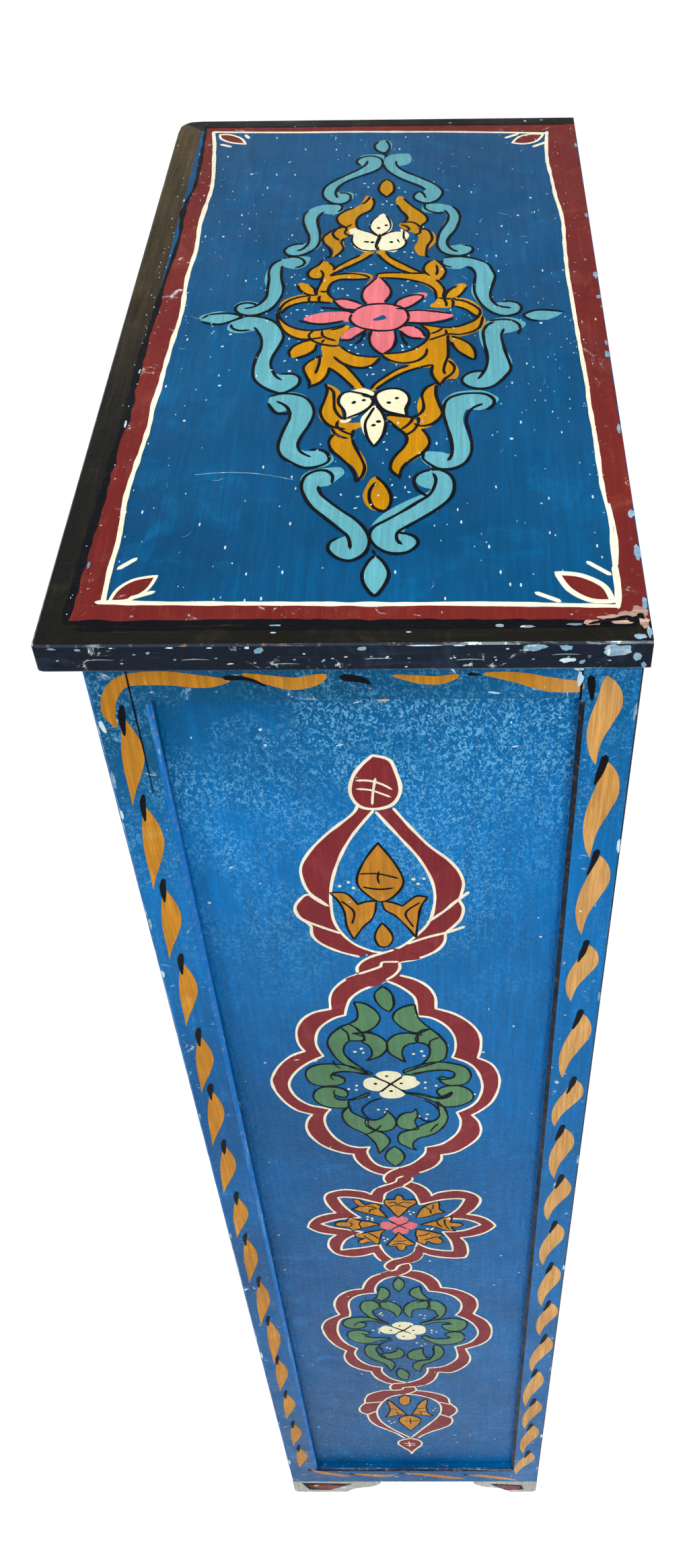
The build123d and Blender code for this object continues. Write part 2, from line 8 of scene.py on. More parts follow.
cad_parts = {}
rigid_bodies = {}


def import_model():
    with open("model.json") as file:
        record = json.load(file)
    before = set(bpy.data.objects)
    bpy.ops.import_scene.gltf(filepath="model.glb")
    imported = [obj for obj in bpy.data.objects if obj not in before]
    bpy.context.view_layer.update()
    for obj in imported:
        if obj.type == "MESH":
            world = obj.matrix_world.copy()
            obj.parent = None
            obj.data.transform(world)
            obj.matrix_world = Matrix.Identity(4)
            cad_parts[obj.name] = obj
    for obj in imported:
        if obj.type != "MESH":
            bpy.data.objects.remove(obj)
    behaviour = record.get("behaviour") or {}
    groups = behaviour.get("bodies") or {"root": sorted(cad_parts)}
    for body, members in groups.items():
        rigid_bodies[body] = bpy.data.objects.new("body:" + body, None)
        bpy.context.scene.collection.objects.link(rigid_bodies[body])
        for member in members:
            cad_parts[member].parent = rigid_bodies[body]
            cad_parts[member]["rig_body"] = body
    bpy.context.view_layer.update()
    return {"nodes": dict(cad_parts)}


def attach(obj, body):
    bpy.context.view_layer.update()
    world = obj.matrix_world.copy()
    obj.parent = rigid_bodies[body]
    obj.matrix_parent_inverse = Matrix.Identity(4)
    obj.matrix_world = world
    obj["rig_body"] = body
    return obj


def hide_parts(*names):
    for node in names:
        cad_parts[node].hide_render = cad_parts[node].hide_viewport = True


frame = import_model()
mm = 0.001
print("frame loaded:", len(frame["nodes"]), "nodes")

faces = {  # where the cabinet's painted faces lie, in mm from its middle or from the floor
    "end": 324.6,  # ends of the lipping, drawn in to make room for the paint
    "top": 1509.6,
    "back": 164.8,  # paint stops short of the back by a hair
    "side": 307,
    "sidePanel": 298,
    "front": 147.0,
    "doorPanel": 142.0,
    "doorMiddle": 131.79,  # middle of a door's panels
}


def tone(red, green, blue):
    # a screen colour, 0 to 255, as the linear colour that shaders take
    linear = [((c / 255 + 0.055) / 1.055) ** 2.4 if c > 10 else c / 255 / 12.92 for c in (red, green, blue)]
    return (*linear, 1)


def shade(colour, share):
    return tone(*[c * share for c in colour])


class Recipe:
    # builds one node material, each call adding a node and handing back its output
    def __init__(self, name):
        self.material = bpy.data.materials.new(name)
        self.material.use_nodes = True
        self.nodes = self.material.node_tree.nodes
        self.links = self.material.node_tree.links
        self.shader = self.nodes["Principled BSDF"]
        self.place = self.add("ShaderNodeTexCoord").outputs["Object"]

    def add(self, kind, **settings):
        node = self.nodes.new(kind)
        for key, value in settings.items():
            setattr(node, key, value)
        return node

    def feed(self, socket, value):
        if isinstance(value, bpy.types.NodeSocket):
            self.links.new(value, socket)
        else:
            socket.default_value = value

    def stretched(self, scale, shift=(0, 0, 0)):
        # the object's own coordinates, scaled so that a pattern runs along a board
        node = self.add("ShaderNodeMapping")
        self.feed(node.inputs["Vector"], self.place)
        self.feed(node.inputs["Scale"], scale)
        self.feed(node.inputs["Location"], shift)
        return node.outputs["Vector"]

    def cloud(self, scale, detail=4, rough=0.55, twist=0.0, vector=None):
        node = self.add("ShaderNodeTexNoise")
        self.feed(node.inputs["Vector"], vector or self.place)
        self.feed(node.inputs["Scale"], scale)
        self.feed(node.inputs["Detail"], detail)
        self.feed(node.inputs["Roughness"], rough)
        self.feed(node.inputs["Distortion"], twist)
        return node.outputs["Fac"]

    def cells(self, scale, vector=None):
        # how far the nearest cell's middle is, and a chance colour for each cell
        node = self.add("ShaderNodeTexVoronoi")
        self.feed(node.inputs["Vector"], vector or self.place)
        self.feed(node.inputs["Scale"], scale)
        return node.outputs["Distance"], node.outputs["Color"]

    def ramp(self, value, low, high, bottom=0.0, top=1.0):
        # from bottom to top as the value goes from low to high
        node = self.add("ShaderNodeMapRange")
        self.feed(node.inputs["Value"], value)
        self.feed(node.inputs["From Min"], low)
        self.feed(node.inputs["From Max"], high)
        self.feed(node.inputs["To Min"], bottom)
        self.feed(node.inputs["To Max"], top)
        return node.outputs["Result"]

    def work(self, operation, first, second):
        node = self.add("ShaderNodeMath", operation=operation)
        self.feed(node.inputs[0], first)
        self.feed(node.inputs[1], second)
        return node.outputs["Value"]

    def times(self, first, second):
        return self.work("MULTIPLY", first, second)

    def plus(self, first, second):
        return self.work("ADD", first, second)

    def mix(self, share, under, over):
        node = self.add("ShaderNodeMix", data_type="RGBA")
        self.feed(node.inputs[0], share)
        self.feed(node.inputs[6], under)
        self.feed(node.inputs[7], over)
        return node.outputs[2]

    def split(self, vector, axis):
        node = self.add("ShaderNodeSeparateXYZ")
        self.feed(node.inputs[0], vector)
        return node.outputs[axis]

    def bump(self, height, strength, distance):
        node = self.add("ShaderNodeBump")
        self.feed(node.inputs["Height"], height)
        self.feed(node.inputs["Strength"], strength)
        self.feed(node.inputs["Distance"], distance)
        return node.outputs["Normal"]

    def finish(self, colour, roughness, normal, **constants):
        self.feed(self.shader.inputs["Base Color"], colour)
        self.feed(self.shader.inputs["Roughness"], roughness)
        self.feed(self.shader.inputs["Normal"], normal)
        for key, value in constants.items():
            self.shader.inputs[key.replace("_", " ")].default_value = value
        return self.material


# gloss paint, brushed on by hand and varnished
grainAlong = {"x": (3, 60, 60), "y": (60, 3, 60), "z": (60, 60, 3)}  # pattern stretched along a board
paintLook = {
    "speckColour": tone(196, 216, 222),
    "speckSize": 0.17,  # of the cell that a fleck sits in
    "speckShare": 0.85,  # how white a fleck is
    "bareWood": tone(176, 140, 100),
    "primer": tone(205, 214, 210),
    # painted highlights on the sides: the glints' colour, and how high they begin and are full
    "paintedGlintColour": tone(96, 168, 212),
    "glintsFrom": 1.08,  # m up, where the glints begin
    "glintsFull": 1.4,
    "relief": 0.0012,  # m
    "varnishCoat": 0.01,
    "varnishRough": 0.12,
    "gleam": 0.035,
    "edgeGleam": 0.15,
}


def clouded(r, base, deep, pale, mottle):
    # the base colour with deeper clouds and paler patches
    clouds = r.ramp(r.cloud(6.5, detail=5, rough=0.6, twist=0.4), 0.36, 0.64)
    colour = r.mix(r.times(clouds, mottle), tone(*base), tone(*deep))
    elsewhere = r.stretched((1, 1, 1), (3.1, 1.7, 0.4))
    patches = r.ramp(r.cloud(23, detail=6, rough=0.68, twist=0.8, vector=elsewhere), 0.55, 0.78)
    return r.mix(r.times(patches, mottle), colour, tone(*pale))


def drifted(r, colour, drifts):
    # each drift is a colour, an axis, where it starts and is full along it, and its strength
    for hue, axis, start, full, strength in drifts:
        reach = r.ramp(r.split(r.place, "xyz".index(axis)), start, full, 0, strength)
        uneven = r.ramp(r.cloud(4.3, detail=5, rough=0.65, twist=0.5), 0.3, 0.6, 0.45, 1)
        colour = r.mix(r.times(reach, uneven), colour, tone(*hue))
    return colour


def flecked(r, colour, along, specks):
    # flecks of white, drawn out along the brush, and round dots between them
    dashes = tuple(260 if s > 10 else 90 for s in grainAlong[along])
    size = paintLook["speckSize"]
    near, chance = r.cells(1, r.stretched(dashes))
    rare = r.ramp(r.split(chance, 0), 1 - 0.1 * specks, 1 - 0.1 * specks + 0.002)
    fleck = r.times(r.ramp(near, size, size - 0.05), rare)
    far, fate = r.cells(48)
    few = r.ramp(r.split(fate, 1), 1 - 0.5 * specks, 1.002 - 0.5 * specks)
    dotted = r.times(r.ramp(far, 0.06, 0.045), few)
    shown = r.times(r.work("MAXIMUM", fleck, dotted), paintLook["speckShare"])
    return r.mix(shown, colour, paintLook["speckColour"])


def rubbedThrough(r, colour, pale, worn):
    # spots where the paint has gone down to primer
    rubbed = r.ramp(r.cloud(55, detail=8, rough=0.75, twist=1.2), 0.62 - 0.2 * worn, 0.68 - 0.2 * worn)
    under = r.mix(r.ramp(r.cloud(160, detail=3), 0.42, 0.58), paintLook["primer"], tone(*pale))
    return r.mix(rubbed, colour, under)


def paintedGlints(r, colour, glints):
    # painted highlights: pale blue glints put into the colour of the stippled skin towards the top
    grains = r.stretched((1, 1, 0.7))
    fine = r.ramp(r.cloud(400, detail=3, rough=0.6, twist=1.2, vector=grains), 0.5, 0.6)
    broad = r.ramp(r.cloud(8.5, detail=5, rough=0.62, twist=0.8), 0.38, 0.58)
    lifted = r.ramp(r.split(r.place, 2), paintLook["glintsFrom"], paintLook["glintsFull"], 0, glints)
    return r.mix(r.times(r.times(fine, broad), lifted), colour, paintLook["paintedGlintColour"])


def paint(
    name, base, deep, pale, along="z", gloss=0.3, mottle=0.6, specks=0.5, streaks=0.35, peel=0.35, worn=0.0,
    drifts=(), glints=0.0
):
    # three tones clouded together, drifts (some of them painted sheen and shade), then brush streaks,
    # flecks, worn spots, painted glints and the varnish's orange peel
    r = Recipe(name)
    brush = r.cloud(6, detail=6, rough=0.7, twist=0.3, vector=r.stretched(grainAlong[along]))
    colour = drifted(r, clouded(r, base, deep, pale, mottle), drifts)
    colour = r.mix(r.ramp(brush, 0.62, 0.4, 0, streaks), colour, shade(base, 0.62))
    colour = r.mix(r.ramp(brush, 0.6, 0.8, 0, streaks), colour, tone(*pale))
    colour = flecked(r, colour, along, specks)
    if worn:
        colour = rubbedThrough(r, colour, pale, worn)
    if glints:
        colour = paintedGlints(r, colour, glints)
    rough = r.ramp(r.cloud(34, detail=5, rough=0.6), 0.3, 0.7, gloss - 0.06, gloss + 0.16)
    stippled = r.stretched([0.75 if s < 10 else 1 for s in grainAlong[along]])
    stipple = r.cloud(210, detail=3, rough=0.5, twist=1.4, vector=stippled)
    skin = r.plus(r.times(stipple, 2 * peel), r.times(brush, 0.9))
    skin = r.plus(skin, r.times(r.cloud(70, detail=3), 0.8 * peel))
    normal = r.bump(skin, 0.6, paintLook["relief"])
    r.feed(r.shader.inputs["Coat Normal"], normal)
    coat = {"Coat_Weight": paintLook["varnishCoat"], "Coat_Roughness": paintLook["varnishRough"]}
    return r.finish(colour, rough, normal, Specular_IOR_Level=paintLook["gleam"], **coat)


def wornEdge(name, base, bare, along, amount):
    # an arris where hands and knocks have taken the paint down to primer and wood
    r = Recipe(name)
    streaks = r.cloud(4, detail=7, rough=0.72, twist=0.6, vector=r.stretched(grainAlong[along]))
    rubbed = r.ramp(streaks, 0.66 - 0.3 * amount, 0.72 - 0.3 * amount)
    chipped = r.ramp(r.cloud(120, detail=6, rough=0.7), 0.68 - 0.25 * amount, 0.7 - 0.25 * amount)
    colour = r.mix(r.times(rubbed, r.ramp(chipped, 0, 1, 0.25, 1)), tone(*base), tone(*bare))
    colour = r.mix(r.ramp(r.cloud(210, detail=4), 0.55, 0.75, 0, amount), colour, paintLook["bareWood"])
    rough = r.ramp(r.cloud(80, detail=3), 0.3, 0.7, 0.4, 0.7)
    normal = r.bump(r.cloud(190, detail=5, rough=0.7), 0.6, paintLook["relief"])
    return r.finish(colour, rough, normal, Specular_IOR_Level=paintLook["edgeGleam"])


def wood(name, pale, dark, along, knots, rough=0.68):
    # bare board: growth rings drawn out along the grain, fine pores and a few knots
    r = Recipe(name)
    size = {"x": (0.9, 9, 9), "y": (9, 0.9, 9), "z": (9, 9, 0.9)}[along]
    warped = r.add("ShaderNodeVectorMath", operation="ADD")
    bend = r.add("ShaderNodeTexNoise")
    r.feed(bend.inputs["Vector"], r.stretched(size))
    r.feed(bend.inputs["Scale"], 0.7)
    r.feed(warped.inputs[0], r.stretched(size))
    r.feed(warped.inputs[1], bend.outputs["Color"])
    rings = r.add("ShaderNodeTexWave", bands_direction="DIAGONAL", wave_profile="SAW")
    r.feed(rings.inputs["Vector"], warped.outputs["Vector"])
    r.feed(rings.inputs["Scale"], 3.2)
    r.feed(rings.inputs["Distortion"], 3.5)
    r.feed(rings.inputs["Detail"], 3)
    colour = r.mix(r.ramp(rings.outputs["Fac"], 0.1, 0.95, 0.1, 0.85), tone(*pale), tone(*dark))
    pores = r.cloud(9, detail=8, rough=0.75, twist=0.1, vector=r.stretched(tuple(40 * s for s in size)))
    colour = r.mix(r.ramp(pores, 0.58, 0.8, 0, 0.7), colour, shade(dark, 0.55))
    spot, luck = r.cells(1, r.stretched(tuple(0.55 * s for s in size)))
    knot = r.times(r.ramp(spot, 0.13, 0.05), r.ramp(r.split(luck, 2), 0.7, 0.72, 0, knots))
    colour = r.mix(knot, colour, shade(dark, 0.35))
    colour = r.mix(r.ramp(r.cloud(5, detail=5), 0.45, 0.75, 0, 0.35), colour, shade(pale, 0.75))
    height = r.plus(r.times(pores, 0.6), r.times(rings.outputs["Fac"], 0.35))
    return r.finish(colour, r.ramp(pores, 0.3, 0.7, rough - 0.1, rough + 0.12), r.bump(height, 0.5, 0.0008))


def metal(name, base, tarnish, rough, grime, pitted):
    # polished where it is handled, dull and spotted elsewhere
    r = Recipe(name)
    dull = r.ramp(r.cloud(95, detail=6, rough=0.68, twist=0.5), 0.42, 0.66)
    colour = r.mix(r.times(dull, grime), tone(*base), tone(*tarnish))
    colour = r.mix(r.ramp(r.cloud(420, detail=3), 0.62, 0.75, 0, grime), colour, shade(tarnish, 0.4))
    roughness = r.ramp(dull, 0, 1, rough, rough + 0.25)
    normal = r.bump(r.cloud(600, detail=4, rough=0.6), pitted, 0.0004)
    return r.finish(colour, roughness, normal, Metallic=1.0)


# drifts that several paints share: colour, axis, start, full, strength
# painted sheen: the top's blue greyer towards -x
greySheenTop = ((28, 80, 122), "x", 0.05, -0.3, 0.4)
# painted sheen: the black paint turns bronze towards -x
bronzeSheen = ((92, 76, 46), "x", 0.1, -0.28, 0.75)
# painted shade: the sides' blue darker and tealer towards the top
shadeHead = ((0, 66, 90), "z", 1.34, 1.46, 0.75)
shadeStile = ((0, 62, 86), "z", 1.28, 1.44, 0.95)
# painted sheen: the sides' blue paler upwards and towards the back
sheenHead = ((0, 118, 190), "z", 0.95, 1.3, 0.7)
sheenBack = ((0, 112, 182), "y", 0.0, 0.13, 0.6)
# the same painted sheen, paler towards the back, on the ochre
ochreSheenBack = ((218, 174, 116), "y", 0.1, 0.14, 0.8)
# the same painted sheen, greyer towards -x, on the turquoise and the gold
turquoiseSheen = ((86, 142, 154), "x", 0.05, -0.25, 0.7)
goldSheen = ((158, 120, 20), "x", 0.0, -0.2, 0.6)

# tones of the paints: body, deeper, paler
blueTop = ((0, 78, 124), (0, 56, 94), (0, 104, 156))
blueSide = ((0, 90, 150), (0, 70, 120), (0, 122, 192))
navy = ((20, 30, 44), (10, 15, 26), (48, 66, 88))
black = ((22, 21, 16), (12, 12, 12), (66, 58, 42))
maroonOld = ((112, 34, 30), (88, 24, 24), (140, 72, 56))
maroonFresh = ((128, 40, 46), (106, 32, 38), (152, 76, 78))
stileDrifts = (sheenHead, shadeStile, sheenBack)

paints = {  # tones, the way the brush ran, and how the paint lies
    "topBlue": (blueTop, "x", dict(gloss=0.34, mottle=0.75, specks=1.3, peel=0.3, drifts=(greySheenTop,))),
    "sideBlue": (blueSide, "z", dict(
        gloss=0.2, mottle=0.75, specks=0.2, peel=0.9, drifts=(sheenHead, shadeHead, sheenBack), glints=0.85)),
    "stileBlue": (blueSide, "z", dict(
        gloss=0.26, mottle=0.8, specks=0.4, peel=0.5, worn=0.06, drifts=stileDrifts, glints=0.45)),
    "railBlue": (blueSide, "y", dict(
        gloss=0.26, mottle=0.8, specks=0.5, peel=0.5, worn=0.08, drifts=stileDrifts, glints=0.4)),
    "frontBlue": (blueSide, "x", dict(gloss=0.26, mottle=0.7, specks=0.3, peel=0.5, worn=0.1)),
    "doorBlue": (blueSide, "z", dict(gloss=0.26, mottle=0.7, specks=0.3, peel=0.5, worn=0.1)),
    "blackAlongX": (black, "x", dict(gloss=0.36, mottle=0.7, specks=0.6, streaks=0.6, drifts=(bronzeSheen,))),
    "blackAlongY": (black, "y", dict(gloss=0.36, mottle=0.7, specks=0.8, streaks=0.6)),
    "navyAlongX": (navy, "x", dict(gloss=0.34, mottle=0.8, specks=1.2, streaks=0.5, worn=0.1)),
    "navyAlongY": (navy, "y", dict(gloss=0.34, mottle=0.8, specks=1.4, streaks=0.5, worn=0.12)),
    "maroonTop": (maroonOld, "x", dict(gloss=0.36, worn=0.05)),
    "maroonSide": (maroonFresh, "z", dict(specks=0.15, peel=0.6)),
    "cream": (((240, 234, 212), (216, 204, 172), (248, 246, 232)), "z", dict(
        gloss=0.4, specks=0.1, streaks=0.25)),
    "white": (((226, 222, 190), (204, 196, 158), (240, 238, 216)), "z", dict(
        gloss=0.36, mottle=0.4, specks=0.1, streaks=0.15)),
    "turquoise": (((96, 166, 178), (78, 144, 156), (128, 190, 200)), "x", dict(
        gloss=0.38, specks=0.3, drifts=(turquoiseSheen,))),
    "gold": (((200, 138, 2), (150, 104, 4), (222, 158, 10)), "x", dict(
        gloss=0.38, specks=0.6, drifts=(goldSheen,))),
    "ochre": (((198, 134, 34), (164, 106, 32), (218, 168, 92)), "z", dict(
        mottle=0.65, specks=0.25, streaks=0.5, drifts=(ochreSheenBack,))),
    "pink": (((222, 116, 124), (198, 94, 104), (230, 146, 150)), "x", dict(
        gloss=0.38, mottle=0.45, specks=0.4)),
    "green": (((86, 130, 92), (64, 104, 76), (114, 152, 114)), "z", dict(gloss=0.32, specks=0.15)),
    "ink": (((6, 8, 14), (2, 3, 6), (22, 26, 34)), "z", dict(
        gloss=0.45, mottle=0.4, specks=0.1, streaks=0.2)),
    "fleckWhite": (((200, 222, 230), (164, 196, 212), (236, 244, 244)), "z", dict(
        gloss=0.45, mottle=0.5, specks=0)),
    "flake": (((150, 166, 176), (96, 112, 128), (214, 222, 222)), "y", dict(
        gloss=0.6, mottle=0.9, specks=0, streaks=0.6, worn=0.35)),
    "paleBlue": (((138, 174, 194), (84, 130, 162), (208, 222, 224)), "y", dict(
        gloss=0.5, mottle=0.9, specks=0, streaks=0.5, worn=0.3)),
    "scar": (((196, 164, 146), (120, 70, 58), (236, 226, 216)), "y", dict(
        gloss=0.62, mottle=0.9, specks=0, streaks=0.7)),
    "footWhite": (((196, 200, 192), (150, 152, 146), (228, 230, 226)), "z", dict(
        gloss=0.45, mottle=0.8, specks=0, streaks=0.5, worn=0.1)),
}
wornEdges = {  # paint, what shows through it, the way the arris runs, how worn it is
    "edgeBlueZ": ((10, 92, 158), (164, 192, 206), "z", 0.5),
    "edgeBlueY": ((10, 92, 158), (164, 192, 206), "y", 0.5),
    "edgeBlueX": ((10, 92, 158), (164, 192, 206), "x", 0.4),
    # painted light: a brighter copy of the edge blue for the front strip's bevel, which faces the light
    "edgeBrightZ": ((0, 106, 182), (110, 170, 206), "z", 0.4),
    # painted shadow: near black on the rear stile's bevel
    "edgeDarkZ": ((4, 12, 26), (60, 92, 120), "z", 0.2),
    # painted shade on the bottom rail's bevel, with real wear showing through
    "edgeDarkY": ((14, 36, 66), (170, 196, 210), "y", 0.45),
    "edgeBlackX": ((32, 40, 54), (196, 214, 222), "x", 0.4),
    "edgeBlackY": ((32, 40, 54), (196, 214, 222), "y", 0.45),
    "edgeFoot": ((206, 208, 198), (122, 92, 70), "y", 0.5),
}
woods = {  # pale wood, dark wood, grain, how strong the knots are
    "backPine": ((176, 134, 92), (132, 92, 56), "z", 0.9),
    "shelfPine": ((186, 146, 102), (146, 104, 66), "x", 0.6),
    "cleatPine": ((172, 132, 90), (128, 90, 56), "y", 0.3),
}
metals = {  # bright, tarnished, roughness, grime, pitting
    "iron": ((86, 82, 78), (58, 40, 30), 0.42, 0.8, 0.4),
    "brass": ((196, 158, 84), (112, 82, 44), 0.28, 0.7, 0.5),
    "steel": ((150, 148, 144), (92, 78, 64), 0.34, 0.6, 0.4),
}
finishes = {name: paint(name, *tones, along, **lies) for name, (tones, along, lies) in paints.items()}
for maker, looks in ((wornEdge, wornEdges), (wood, woods), (metal, metals)):
    finishes.update({name: maker(name, *look) for name, look in looks.items()})
print("finishes made:", len(finishes))


def formOf(node, joined):
    # the CAD piece's mesh, with points nearer than this joined and its flat faces whole again
    form = bmesh.new()
    form.from_mesh(frame["nodes"][node].data)
    bmesh.ops.remove_doubles(form, verts=form.verts, dist=joined * mm)
    bmesh.ops.dissolve_limit(form, angle_limit=math.radians(1), verts=form.verts, edges=form.edges)
    return form


def pieceFrom(form, name):
    # a new object with the shape that bmesh holds
    mesh = bpy.data.meshes.new(name)
    form.to_mesh(mesh)
    form.free()
    piece = bpy.data.objects.new(name, mesh)
    bpy.context.scene.collection.objects.link(piece)
    return piece


def settle(piece, body, slotName, *materials):
    for material in materials:
        piece.data.materials.append(finishes[material])
    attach(piece, body)


boardLook = {
    "roundedBy": 1.1,  # mm taken off an open arris
    "wear": 0.5,  # mm that knocks have gone deeper
    "cutEvery": 9.0,  # mm between the cuts along an arris
    "drawnIn": 0.4,  # mm that makes room for paint inside the cabinet's own size,
    "drawnPast": (324.6, -164.6, 1509.5),  # for what lies past these planes
}
wornCorner = {"x": -306.6, "y": -146.6, "radius": 18.0}  # middle and size of the top's rounded corner, mm
arrises = {  # open edges, each as the two planes that meet in it, in mm on either side of the middle
    "postOuter": {"x": 307, "y": 147},
    "postInner": {"x": 265, "y": 147},
    "rearStile": {"x": 307, "y": 165},
    "hingeStile": {"x": 262, "y": 147},
    "meetingStile": {"x": 1.577, "y": 147},
    "topRail": {"y": 147, "z": 1448},
    "bottomRail": {"y": 147, "z": 86},
    "sideLipping": {"x": 325, "z": 1490},
    "frontLipping": {"y": 165, "z": 1490},
}


def onArris(edge, name):
    return all(
        abs(abs(vertex.co["xyz".index(axis)]) - value * mm) < 0.4 * mm
        for vertex in edge.verts
        for axis, value in arrises[name].items()
    )


def sloping(form):
    # the faces that carry the edge's finish
    return [f for f in form.faces if f.material_index == 1]


def cutAcross(form):
    # the sloping faces cut at uneven steps along the board, so that knocks can bend them
    low = Vector(min(v.co[i] for v in form.verts) for i in range(3))
    high = Vector(max(v.co[i] for v in form.verts) for i in range(3))
    axis = max(range(3), key=lambda i: high[i] - low[i])
    normal = Vector(1.0 if i == axis else 0.0 for i in range(3))
    step = boardLook["cutEvery"] * mm
    place = low[axis] + step
    while sloping(form) and place < high[axis] - 0.3 * step:
        cut = low.copy()
        cut[axis] = place + 0.3 * step * noise.noise(Vector((place * 71, low.x * 9, low.y * 9)))
        worn = sloping(form)
        edges = dict.fromkeys(e for f in worn for e in f.edges)  # each once
        bmesh.ops.bisect_plane(form, geom=[*worn, *edges], plane_co=cut, plane_no=normal)
        place += step


def knocked(form):
    for vertex in form.verts:
        if vertex.link_faces and all(f.material_index == 1 for f in vertex.link_faces):
            knock = noise.noise(vertex.co * 55) + 0.6 * noise.noise(vertex.co * 190)
            vertex.co -= vertex.normal * max(0.0, knock) * boardLook["wear"] * mm


def cornerRounded(form):
    # what lies past the worn corner's arc is drawn in onto it
    for vertex in form.verts:
        dx, dy = vertex.co.x / mm - wornCorner["x"], vertex.co.y / mm - wornCorner["y"]
        share = wornCorner["radius"] / math.hypot(dx, dy)
        if dx < 0 and dy < 0 and share < 1:
            vertex.co.x = (wornCorner["x"] + dx * share) * mm
            vertex.co.y = (wornCorner["y"] + dy * share) * mm


def drawnIn(form):
    by = boardLook["drawnIn"] * mm
    end, front, top = (limit * mm for limit in boardLook["drawnPast"])
    for vertex in form.verts:
        if vertex.co.z > top:
            vertex.co.z -= by
        if abs(vertex.co.x) > end:
            vertex.co.x -= math.copysign(by, vertex.co.x)
        if vertex.co.y < front:
            vertex.co.y += by


def board(node, finish, edge, slotName, *lines, roundedBy=None, upright=None, corner=False, top=False):
    # the CAD board with its open arrises rounded and knocked about; upright is another finish for its sides
    form = formOf(node, 0.01)
    for face in form.faces:
        face.material_index = 1 if max(abs(c) for c in face.normal) < 0.97 else 0
    chosen = [e for e in form.edges if any(onArris(e, line) for line in lines)]
    if chosen:
        offset = (roundedBy or boardLook["roundedBy"]) * mm
        bmesh.ops.bevel(
            form, geom=chosen, offset=offset, segments=4, profile=0.5, affect="EDGES", material=1,
            clamp_overlap=True,
        )
    cutAcross(form)
    form.normal_update()
    if chosen:
        knocked(form)
    for face in form.faces:
        face.smooth = face.material_index == 1
        if upright and abs(face.normal.z) < 0.3:
            face.material_index = 2
    if corner:
        cornerRounded(form)
    if top:
        drawnIn(form)
    piece = pieceFrom(form, "painted_" + node)
    settle(piece, frame["nodes"][node]["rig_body"], slotName, *filter(None, (finish, edge, upright)))
    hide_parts(node)


def eased(node, finish, slotName, amount=0.5):
    # the CAD piece with every sharp edge just taken off
    form = formOf(node, 0.005)
    sharp = [e for e in form.edges if len(e.link_faces) == 2 and e.calc_face_angle(0) > math.radians(32)]
    bmesh.ops.bevel(
        form, geom=sharp, offset=amount * mm, segments=2, profile=0.5, affect="EDGES", clamp_overlap=True
    )
    piece = pieceFrom(form, "eased_" + node)
    settle(piece, frame["nodes"][node]["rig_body"], slotName, finish)
    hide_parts(node)


coatLook = {  # mm
    "heights": {"ground": 0.06, "low": 0.11, "middle": 0.16, "high": 0.21, "stroke": 0.26, "fleck": 0.31},
    "apart": 0.0015,  # between shapes at one height, so that no two share a plane
    "rise": 0.0008,  # the same along a stroke, which may cross itself
    "sunk": 0.12,  # how far a shape reaches into the board
    "step": 2.2,  # along a smooth line
}


